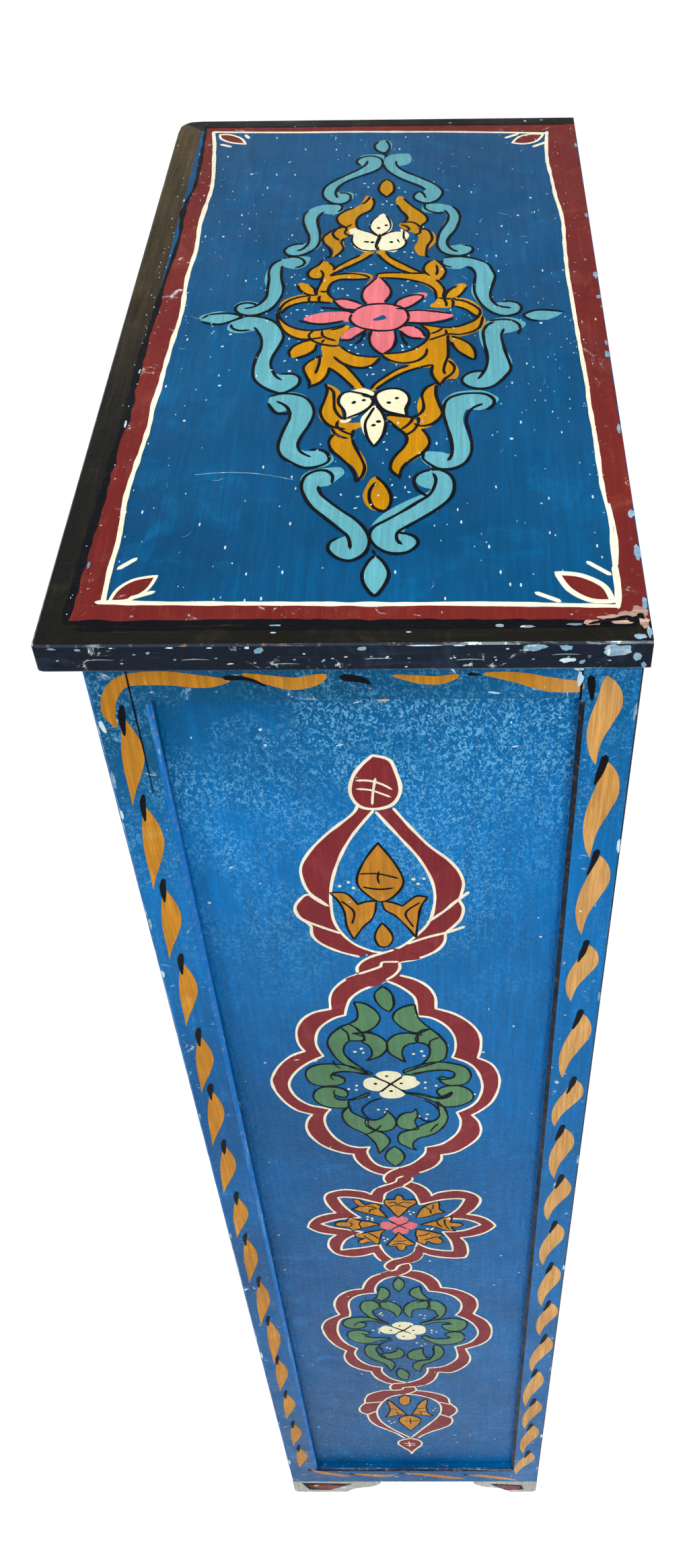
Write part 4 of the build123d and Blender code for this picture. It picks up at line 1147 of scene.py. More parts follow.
# gold drops, leaves, ribbon and stems
goldShapes = (
    [
        (11, 213, 1), (14, 210), (17, 202), (17.5, 195), (16, 188), (12, 183), (8, 187), (5, 193),
        (4.5, 200), (6, 206),
    ],
    [
        (14, -177, 1), (18, -182), (22, -190), (24, -200), (22, -208), (18, -211), (12, -209), (8, -202),
        (7, -194), (9, -186), (11, -180),
    ],
    [
        (-4, 185), (-1, 184), (1.5, 181), (2, 175), (1.5, 168), (0, 162), (-5, 157), (-9, 152), (-10, 146),
        (-10, 138), (-8, 130), (-13, 127), (-17, 132), (-22, 133), (-21, 138), (-24, 144), (-25, 150),
        (-22, 157), (-18, 162), (-12, 166), (-8, 171), (-6, 178),
    ],
    [
        (-20, 134), (-25, 132), (-30, 126), (-33, 119), (-31, 110), (-27, 104), (-25, 98), (-26, 90, 1),
        (-20, 94), (-17, 103), (-18, 110), (-18, 118), (-14, 122), (-12, 127), (-14, 133),
    ],
    [
        (21, 184), (24, 183), (28, 176), (32, 168), (36, 162), (41, 155), (44, 149), (43, 143), (40, 137),
        (38, 130), (36, 124), (32, 126), (27, 130), (23, 134), (22, 138), (24, 141), (27, 144), (28, 150),
        (26, 157), (23, 164), (20, 171), (19, 178),
    ],
    [
        (37, 131), (43, 131), (48, 125), (50, 118), (49, 109), (46, 103), (43, 97), (43, 90, 1), (38, 91),
        (35, 97), (34, 104), (36, 110), (37, 117), (36, 125),
    ],
    [
        (5, 99), (4, 95), (0, 89), (-8, 81), (-16, 75), (-20, 71), (-26, 66), (-25, 71), (-21, 76),
        (-13, 84), (-5, 92), (-1, 98),
    ],
    [
        (6, 98), (12, 99), (14, 94), (20, 86), (26, 79), (33, 71), (41, 65), (33, 65), (26, 70), (18, 77),
        (12, 85), (8, 92),
    ],
    [
        (-32, 84, 1), (-27, 82), (-24, 76), (-24, 70), (-25, 64), (-30, 59), (-36, 59), (-40, 62),
        (-41, 69), (-37, 74), (-34, 78),
    ],
    [(49, 84, 1), (44, 80), (42, 74), (42, 68), (43, 62), (49, 54), (54, 55), (56, 61), (56, 68), (53, 77)],
    [
        (-30, 62), (-31, 54), (-33, 46), (-33, 38), (-32, 31), (-30, 26), (-23, 25), (-22, 30), (-24, 35),
        (-26, 42), (-25, 49), (-21, 55), (-13, 57.5), (-4, 57), (3, 57), (5, 62), (-1, 66), (-10, 67),
        (-20, 66), (-26, 64),
    ],
    [(-48, 51), (-45, 53), (-40, 50), (-36, 46), (-34, 40), (-35, 36), (-40, 37), (-44, 42), (-47, 47)],
    [
        (-33, 35), (-42, 37), (-50, 34), (-57, 28), (-59, 18), (-59, 8), (-57, -2), (-54, -12), (-48, -19),
        (-40, -22), (-34, -22), (-30, -28), (-22, -31), (-16, -30), (-15, -21), (-12, -14), (-9, -9),
        (-10, -5), (-18, -7), (-28, -10), (-36, -11), (-44, -9), (-52, -3), (-56, 4), (-57, 11), (-54, 17),
        (-48, 23), (-40, 26), (-30, 26),
    ],
    [
        (-33, -24), (-30, -30), (-31, -36), (-36, -41), (-42, -44), (-46, -45), (-47, -37), (-44, -30),
        (-39, -25),
    ],
    [
        (-26, -30), (-16, -31), (-9, -38), (-2, -43), (6, -45.5), (13, -46), (10, -52), (4, -56), (-4, -57),
        (-10, -55), (-18, -50), (-24, -46), (-26, -38),
    ],
    [
        (-20, -44), (-12, -53), (-6, -62), (0, -72), (4, -80), (4, -84), (-1, -84), (-5, -77), (-12, -66),
        (-20, -57), (-24, -50),
    ],
    [
        (-22, -44), (-28, -45), (-34, -50), (-36, -56), (-35, -64), (-32, -73), (-31, -80, 1), (-26, -76),
        (-22, -68), (-20, -60), (-19, -50),
    ],
    [
        (8, 62), (12, 66), (22, 66), (32, 65), (43, 65), (50, 58), (54, 48), (56, 42), (58, 36), (61, 29),
        (61, 18), (54, 17), (47, 18), (46, 21), (50, 26), (50, 32), (48, 39), (45, 45), (40, 50), (30, 56),
        (18, 59), (9, 60),
    ],
    [(57, 28), (57, 35), (58, 40), (62, 46), (67, 50), (71, 49), (71, 43), (68, 36), (64, 29), (60, 27)],
    [
        (60, 28), (68, 30), (75, 26), (80, 19), (82, 11), (81, 5), (78, 4), (75, 9), (70, 15), (64, 20),
        (60, 21),
    ],
    [
        (82, 5), (84, 1), (83, -6), (79, -13), (72, -18), (64, -21), (56, -19), (48, -22), (44, -24),
        (44, -18), (45, -12), (42, -7), (40, -4), (46, -6), (54, -8.5), (62, -8.5), (70, -5), (75, -1),
        (79, 4),
    ],
    [
        (56, -17), (59, -28), (58, -40), (58, -50), (50, -57), (40, -59), (30, -64), (22, -71), (15, -79),
        (11, -85), (8, -84), (12, -75), (18, -67), (25, -60), (33, -55), (24, -53.5), (18, -49), (15, -42),
        (24, -40.5), (34, -38), (41, -31), (45, -23),
    ],
    [
        (50, -50), (58, -47), (63, -55), (65, -64), (63, -72), (58, -72), (54, -79, 1), (49, -73),
        (47, -65), (48, -57),
    ],
    [(59, -19), (66, -23), (72, -30), (75, -38), (75, -48, 1), (68, -44), (63, -37), (60, -28)],
    [
        (-20, -77, 1), (-16, -80), (-12, -85), (-11, -92), (-11, -102), (-9, -112), (-10, -119),
        (-13, -125), (-17, -124), (-22, -118), (-24, -111), (-22, -102), (-21, -94), (-21, -86),
    ],
    [
        (-15, -125), (-10, -119), (-4, -121), (4, -121), (4, -125), (-1, -129), (-2, -134), (-5, -138),
        (-11, -137), (-15, -132),
    ],
    [
        (-12, -133), (-15, -138), (-15, -144), (-12, -152), (-6, -160), (0, -167), (3, -174), (5, -181, 1),
        (7.5, -176), (8.5, -169), (7, -160), (4, -152), (0, -144), (-2, -134),
    ],
    [
        (50, -78, 1), (44, -83), (41, -90), (39, -96), (38, -104), (39, -112), (38, -120), (39, -127),
        (45, -127), (49, -122), (53, -114), (54, -106), (51, -98), (50, -88),
    ],
    [
        (20, -114), (28, -115), (35, -116), (39, -122), (38, -130), (32, -135), (28, -130), (24, -124),
        (20, -119),
    ],
    [
        (38, -124), (43, -130), (46, -139), (46, -148), (42, -155), (36, -162), (31, -168), (28, -178, 1),
        (24, -173), (22, -167), (23, -160), (27, -152), (31, -144), (31, -135), (34, -128),
    ],
)
top.patches("gold", "middle", *goldShapes)
goldLines = (
    [
        (11, 213), (15.5, 208), (17.3, 200), (17, 192), (14, 186), (12, 183), (8, 188), (5.5, 194),
        (5.6, 202), (8, 209), (11, 213),
    ],
    [
        (14, -177), (20, -186), (23.5, -196), (23, -206), (20, -211), (14, -208), (11, -200), (11, -191),
        (14, -183),
    ],
    [(-1, 184), (-2, 180), (-4, 175), (-7, 171)],
    [(1, 182), (2.5, 175), (2, 168), (0, 161), (-6, 155), (-9, 150), (-10, 142), (-9, 134), (-6, 130)],
    [(-12, 166), (-19, 161), (-24, 154), (-25, 147), (-22, 139), (-17, 135), (-13, 140)],
    [(-23, 136), (-17, 133), (-18, 126), (-15, 122), (-11, 123)],
    [
        (-20, 135), (-26, 131), (-31, 125), (-34, 118), (-33, 111), (-29, 104), (-27, 97), (-27, 91),
        (-31, 88),
    ],
    [(-24, 131), (-27, 126), (-25, 119), (-21, 114)],
    [(-18, 118), (-20, 111), (-18, 103), (-20, 96), (-24, 90)],
    [(25, 180), (31, 169), (38, 159), (43, 150), (43, 143), (40, 138), (38, 132)],
    [(20, 170), (23, 161), (27, 153), (28, 146), (24, 140)],
    [(24, 141), (31, 142), (36, 138), (38, 132)],
    [(23, 138), (28, 135), (30, 130), (27, 128)],
    [(36, 131), (43, 130), (46, 124), (47, 115), (44, 106), (43, 98), (43, 90), (45, 88)],
    [(38, 131), (38, 125), (34, 121)],
    [(-5, 92), (-13, 84.5), (-21, 76), (-24, 70)],
    [(4, 94), (-2, 86), (-9, 79), (-18, 70), (-26, 63)],
    [(13, 97), (16, 90), (19, 86), (27, 78), (34, 71), (42, 64)],
    [(7, 94), (13, 83), (22, 72), (32, 65)],
    [(-32, 86), (-35, 78), (-40, 72), (-42, 66), (-40, 60), (-35, 58), (-31, 60), (-31, 66), (-33, 71)],
    [(-28, 82), (-24, 77), (-23, 71)],
    [(47, 84), (43, 79), (41, 72), (42, 66), (46, 61)],
    [(50, 84), (55, 76), (57, 67), (55, 59), (52, 54)],
    [(50, 77), (51, 69), (50, 62)],
    [
        (-26, 62), (-18, 65), (-8, 65), (0, 62), (2, 58), (-8, 57), (-18, 57), (-24, 52), (-26, 43),
        (-25, 36), (-22, 31), (-19, 28),
    ],
    [(-31, 60), (-32, 52), (-34, 42), (-34, 35)],
    [(-32, 41), (-28, 40), (-26, 42)],
    [(-48, 50), (-46, 43), (-41, 37), (-34, 35)],
    [(-40, 50), (-36, 45), (-35, 40), (-34, 35)],
    [
        (-38, 35), (-46, 33), (-53, 28), (-57, 21), (-58.5, 13), (-57, 5), (-52, -3), (-46, -8), (-38, -11),
        (-28, -10.5), (-18, -7), (-11, -4),
    ],
    [(-23, 25), (-34, 26.5), (-42, 26), (-49, 23), (-54, 18), (-57, 11)],
    [(-59, 16), (-59, 6), (-57, -3), (-53, -12), (-47, -19), (-40, -22.5), (-33, -22), (-26, -20)],
    [(-38, 35), (-39, 30), (-38, 26)],
    [(-31, 35), (-32, 31), (-31, 26)],
    [(-33, -11), (-36, -17), (-34, -23), (-28, -28), (-20, -31), (-15, -31)],
    [(-27, -11), (-27, -17), (-24, -21), (-17, -25)],
    [(-22, -11), (-17, -9), (-12, -6)],
    [(-25, -22), (-27, -28)],
    [(-33, -23), (-40, -26), (-46, -32), (-48, -39), (-46, -45)],
    [(-30, -28), (-31, -36), (-36, -42), (-43, -46)],
    [(-14, -31), (-9, -38), (-2, -43), (6, -45), (13, -45)],
    [(-18, -44), (-14, -50), (-9, -56), (-4, -65), (1, -75), (4, -82)],
    [(-20, -58), (-14, -65), (-8, -74), (-3, -82)],
    [(-12, -52), (-5, -57), (3, -58), (9, -54), (13, -46)],
    [(-27, -42), (-27, -52), (-28, -60), (-29, -65)],
    [(-26, -43), (-33, -49), (-37, -57), (-35, -66), (-32, -75), (-32, -82)],
    [(-20, -57), (-21, -66), (-25, -75), (-32, -80)],
    [(8, 60), (8, 64), (14, 66), (23, 66), (32, 65), (43, 65)],
    [(10, 59), (22, 58), (33, 55), (42, 50), (48, 43), (50, 35), (50, 28)],
    [(50, 56), (54, 48), (56, 41), (55, 33), (56, 29)],
    [(55, 30), (57, 24), (57, 18)],
    [(61, 29), (62, 23), (61, 17)],
    [(51, 31), (56, 29), (62, 29)],
    [(56, 29), (57, 36), (60, 42), (65, 47)],
    [(72, 46), (69, 38), (65, 31), (61, 29)],
    [(62, 28), (69, 26), (75, 21), (80, 14), (80, 8), (78, 4)],
    [(63, 19), (70, 15), (76, 7), (80, 3)],
    [(82, 5), (81, -3), (79, -10), (74, -15), (66, -18), (57, -17)],
    [(38, -4), (48, -7), (56, -9), (64, -8), (71, -4), (76, 0), (79, 5)],
    [(55, -9), (51, -14), (46, -17)],
    [(40, -6), (44, -12), (45, -19), (43, -26), (38, -33), (30, -39), (20, -41), (14, -41)],
    [(56, -11), (57, -17), (50, -22), (45, -25)],
    [(58, -18), (58, -30), (58, -44), (56, -54), (55, -62), (56, -67)],
    [(58, -50), (62, -57), (61, -65), (56, -72), (53, -79)],
    [(48, -55), (47, -64), (49, -72), (53, -80)],
    [(44, -35), (43, -43), (38, -50), (30, -53), (22, -51), (16, -46), (14, -42)],
    [(8, -84), (10, -78), (16, -70), (24, -61), (32, -56)],
    [(11, -84), (18, -75), (28, -65), (38, -59), (48, -55)],
    [(60, -20), (67, -24), (73, -31), (76, -40), (75, -49), (68, -43), (63, -36), (60, -27)],
    [(-22, -76), (-20, -84), (-21, -95), (-23, -107), (-21, -117), (-15, -125), (-6, -128)],
    [(-20, -80), (-16, -86), (-15, -96), (-14, -106), (-10, -115), (-6, -118)],
    [(-11, -118), (-12, -124), (-8, -130), (-2, -134)],
    [(-15, -126), (-13, -132), (-9, -136), (-4, -138)],
    [(-1, -128), (-2, -134), (-1, -142), (2, -151), (5, -160), (7, -168), (6, -176), (3, -182)],
    [(-13, -133), (-16, -140), (-14, -150), (-8, -158), (-2, -167), (1, -174), (2.5, -183)],
    [(50, -77), (44, -82), (41, -90), (42, -100), (42, -107), (39, -113), (34, -116)],
    [(50, -79), (50, -91), (52, -101), (54, -111), (51, -119), (46, -124), (40, -125), (36, -122)],
    [(18, -112), (27, -114), (35, -116), (33, -123), (28, -129)],
    [(39, -115), (39, -122), (36, -130), (31, -135)],
    [(41, -128), (45, -136), (46, -144), (43, -152), (36, -160), (30, -168), (28, -180)],
    [
        (20, -118), (25, -126), (31, -134), (32, -141), (30, -148), (26, -155), (23, -163), (23, -171),
        (28, -178),
    ],
)
top.strokes("ink", "stroke", goldLines, topPattern["brush"], uneven=0.35)

# pink flower in the middle
pinkShapes = (
    [
        (8, 60, 1), (11, 57), (14, 53), (17, 45), (18.5, 38), (16, 29), (12, 22), (3, 21), (0, 27),
        (-2, 34), (-1, 45), (2, 53), (5, 58),
    ],
    [
        (-41, 4), (-36, 9), (-28, 12), (-20, 13), (-10, 12), (-7, 5), (-8, 0), (-16, 0), (-24, -3),
        (-32, -2), (-38, 1),
    ],
    [(-22, 29), (-15, 29.5), (-8, 26), (-1, 21), (-4, 16), (-11, 17), (-17, 21)],
    [(20, 18), (22, 24), (28, 32), (34, 36), (39, 38), (43, 37), (44, 34), (40, 28), (33, 20), (27, 16.5)],
    [(29, 14), (40, 15), (50, 14), (58, 11), (62, 7), (58, 3), (50, 0), (42, -2), (32, -2), (28, 3)],
    [(1, -8), (-6, -7.5), (-11, -13), (-14, -19), (-13, -24), (-6, -23), (-1, -17), (4, -11)],
    [(6, -10), (5, -20), (7, -30), (12, -40), (17, -40), (21, -32), (22.5, -22), (21, -10)],
    [(23, -7), (30, -6), (38, -10), (42, -15), (43, -21), (39, -22), (33, -20), (27, -14)],
)
top.patches("pink", "middle", *pinkShapes)
disc = [
    (-8, 10), (-9, 2), (-5, -5), (2, -10), (12, -12.5), (22, -11), (28, -5), (31, 3), (30, 12), (26, 18),
    (19, 22), (10, 23), (1, 21), (-5, 16),
]
discGap = [(6.5, 2), (9, 0.5), (14, 2), (16, 4), (14, 8), (11, 6)]
top.patches("pink", "high", disc)
top.patches("topBlue", "stroke", discGap)
petalLines = (
    [*disc, disc[0]],
    [(8, 60), (3, 51), (-1, 43), (-2, 33), (0, 26), (3, 22)],
    [(11, 59), (15, 51), (18, 43), (18, 34), (14, 25)],
    [(-44, 2), (-38, -1), (-30, -3), (-22, -2), (-13, 1)], [(-30, 19), (-21, 17.5), (-13, 15), (-7, 12)],
    [(-22, 29), (-14, 30), (-7, 27), (-1, 22)], [(-22, 29), (-17, 20), (-12, 16), (-6, 16)],
    [(21, 19), (23, 27), (30, 33), (37, 35), (41, 33), (40, 29), (34, 21), (27, 16), (22, 17)],
    [(28, 13), (38, 14), (50, 12), (61, 9)], [(30, -2), (42, -3), (52, -2), (62, 3)],
    [(-15, -23), (-8, -23.5), (-3, -18), (3, -11)], [(6, -12), (5, -22), (7, -32), (12, -40), (15, -42)],
    [(22, -12), (23, -24), (21, -34), (15, -42)],
    [(26, -7), (33, -6), (40, -12), (43, -21)], [(25, -12), (32, -21), (41, -22.5)],
    [(2, -14), (0, -22), (-4, -29)], [(26, -14), (28, -24), (31, -31)],
)
top.strokes("ink", "stroke", petalLines, topPattern["brush"], uneven=0.35)

# white flowers above and below
whiteShapes = (
    [
        (10, 156, 1), (14, 150), (17, 141), (17, 133), (15, 127), (9, 121), (3, 126), (0.5, 134),
        (1.5, 143), (5, 151),
    ],
    [
        (-14, 132), (-9, 133), (-6, 129), (0, 127), (4, 124), (8, 120), (9, 114), (8, 107), (6, 100),
        (1, 97), (-4, 98), (-10, 104), (-12, 112), (-13, 122), (-15, 128),
    ],
    [
        (9, 119), (14, 125), (20, 127), (24, 127), (23, 131), (26, 129), (30, 122), (28, 114), (27, 107),
        (24, 102), (19, 96), (14, 99), (9, 100), (8, 106), (8, 113),
    ],
    [
        (-2, -84), (3, -82.5), (8, -85), (11, -90), (9, -99), (7, -106), (2, -112), (-4, -116), (-7, -117),
        (-8, -110), (-9, -104), (-12, -98), (-11, -91), (-9, -87),
    ],
    [
        (12, -88), (16, -85), (21, -83), (26, -84), (31, -89), (33, -96), (31, -104), (30, -113),
        (26, -113), (20, -110), (15, -104), (12, -97),
    ],
    [
        (11, -102), (14, -108), (17, -114), (19, -122), (18, -130), (15, -138), (12, -146, 1), (8, -138),
        (5, -132), (3, -122), (3, -116), (7, -108),
    ],
    [(-10, -118), (-7, -117), (-3, -117), (-5, -120), (-9, -121)],
)
top.patches("white", "high", *whiteShapes)
whiteLines = (  # line, width of the brush
    ([(7, 153), (2, 144), (0.5, 134), (3, 127), (7, 121)], 1.4),
    ([(12, 153), (15, 144), (16, 135), (14, 128), (9, 122)], 1.6),
    ([(-12, 122), (-12, 112), (-9, 105), (-5, 100), (2, 98), (6, 99)], 1.8),
    ([(8, 124), (8, 118), (6.5, 110), (6, 104), (8, 99)], 2.6),
    ([(-5, 129), (1, 126), (7, 120)], 1.5),
    ([(9, 120), (14, 125), (20, 128)], 2.0),
    ([(26, 129), (26, 118), (28, 111), (26, 104), (22, 100), (15, 98)], 1.7),
    ([(21, 116), (23, 110)], 1.6),
    (
        [
            (-7, -117), (-8, -108), (-12, -99), (-11, -90), (-6, -86), (1, -88), (7, -91), (10, -97),
            (8, -104), (3, -110), (-3, -114), (-7, -117),
        ],
        2.2,
    ),
    ([(2, -90), (7, -92), (11, -92)], 2.4),
    (
        [
            (32, -114), (31, -106), (33, -98), (32, -90), (27, -84), (20, -83), (14, -86), (11, -91),
            (13, -100), (18, -108), (26, -112), (33, -115),
        ],
        2.3,
    ),
    ([(12, -102), (16, -110), (18.5, -120), (18, -130), (16, -138), (12, -147)], 2.2),
    ([(11, -104), (8, -113), (6, -120), (6, -128), (8, -138), (12, -147)], 1.8),
)
for line, width in whiteLines:
    top.stroke("ink", "stroke", line, width, uneven=0.4)
seeds = [
    (7, 133), (12.6, 137), (-2, 112), (-0.6, 111.6), (3, 111), (17, 111), (-2, -98), (-2.6, -99), (4, -96),
    (25, -94), (20, -99), (14, -120), (11, -124),
]
top.dots("ink", "stroke", seeds, 1.5)

# white dashes and flecks scattered round the flowers
dashes = (  # place, and which way it lies in degrees
    (-6, 206, 0), (-3, 200, -35), (1, 206, 50), (21, 198, -60), (26, 191, -55), (-15, 166, 80),
    (-2, 152, 80), (12, 176, 90), (9, 171, -30), (16, 170, 20), (-20, 91, -50), (27, 96, -40),
    (33, 95, -60), (32, 88, -35), (3, 78, 20), (14, 73, -40), (-53, 61, 60), (-44, 58, 20), (-50, 50, -50),
    (-16, 44, -30), (-5, 44, 10), (-12, 35, -40), (26, 48, -50), (36, 47, -60), (29, 41, -60),
    (-41, 16, -20), (-29, 15, -30), (-39, 8, 0), (-53, 7, 60), (30, 54, 20), (42, 26, 40), (60, 14, 80),
    (62, -10, -30), (-7, -30, 30), (1, -30, 60), (-8, -37, -40), (-2, -41, -20), (27, -31, -60),
    (32, -33, -50), (28, -37, 20), (37, -36, -70), (-42, -48, -60), (-50, -49, 40), (7, -58, -20),
    (16, -61, -50), (9, -66, 20), (-46, 16, 10), (-66, 2, 20), (54, 70, -30), (-6, -195, -65),
    (4, -197, 20), (34, -193, -30), (24, -186, 60), (26, -198, 0), (3, -208, 10), (40, -154, 60),
    (20, -150, -60), (-58, -60, 0), (62, -24, 60), (18, -142, 50), (16, -196, 80), (12, -205, 60),
    (-12, 60, 10), (64, 30, -20),
)
hairScratch = [(-95, -174), (-75, -172), (-55, -174), (-35, -180)]
for u, v, turn in dashes:
    long = topPattern["dashes"]
    dx, dy = math.cos(math.radians(turn)) * long, math.sin(math.radians(turn)) * long
    dash = [(u - dx, v - dy), (u - 0.5 * dy, v + 0.5 * dx), (u + dx, v + dy), (u + 0.5 * dy, v - 0.5 * dx)]
    top.fill("fleckWhite", "fleck", dash)
top.stroke("paleBlue", "fleck", hairScratch, 0.16)
top.done()


# the ornament painted on the side panels; u runs to the back, z upwards, in mm
chainLook = {
    "edge": 2.1,  # mm, width of the cream edges
    "bolder": 2.3,  # round the lobes and the buds
    "bar": 1.6,
    "ink": 1.5,
    "flowerInk": 1.8,
    "seed": 1.3,
    "dot": 1.2,
}


def band(coat, outer, inner):
    # a maroon ribbon between two lines, with cream edges
    a, b = smooth(outer), smooth(inner)
    coat.fill("maroonSide", "ground", a + b[::-1])
    coat.strokes("cream", "middle", (outer, inner), chainLook["edge"], uneven=0.35)


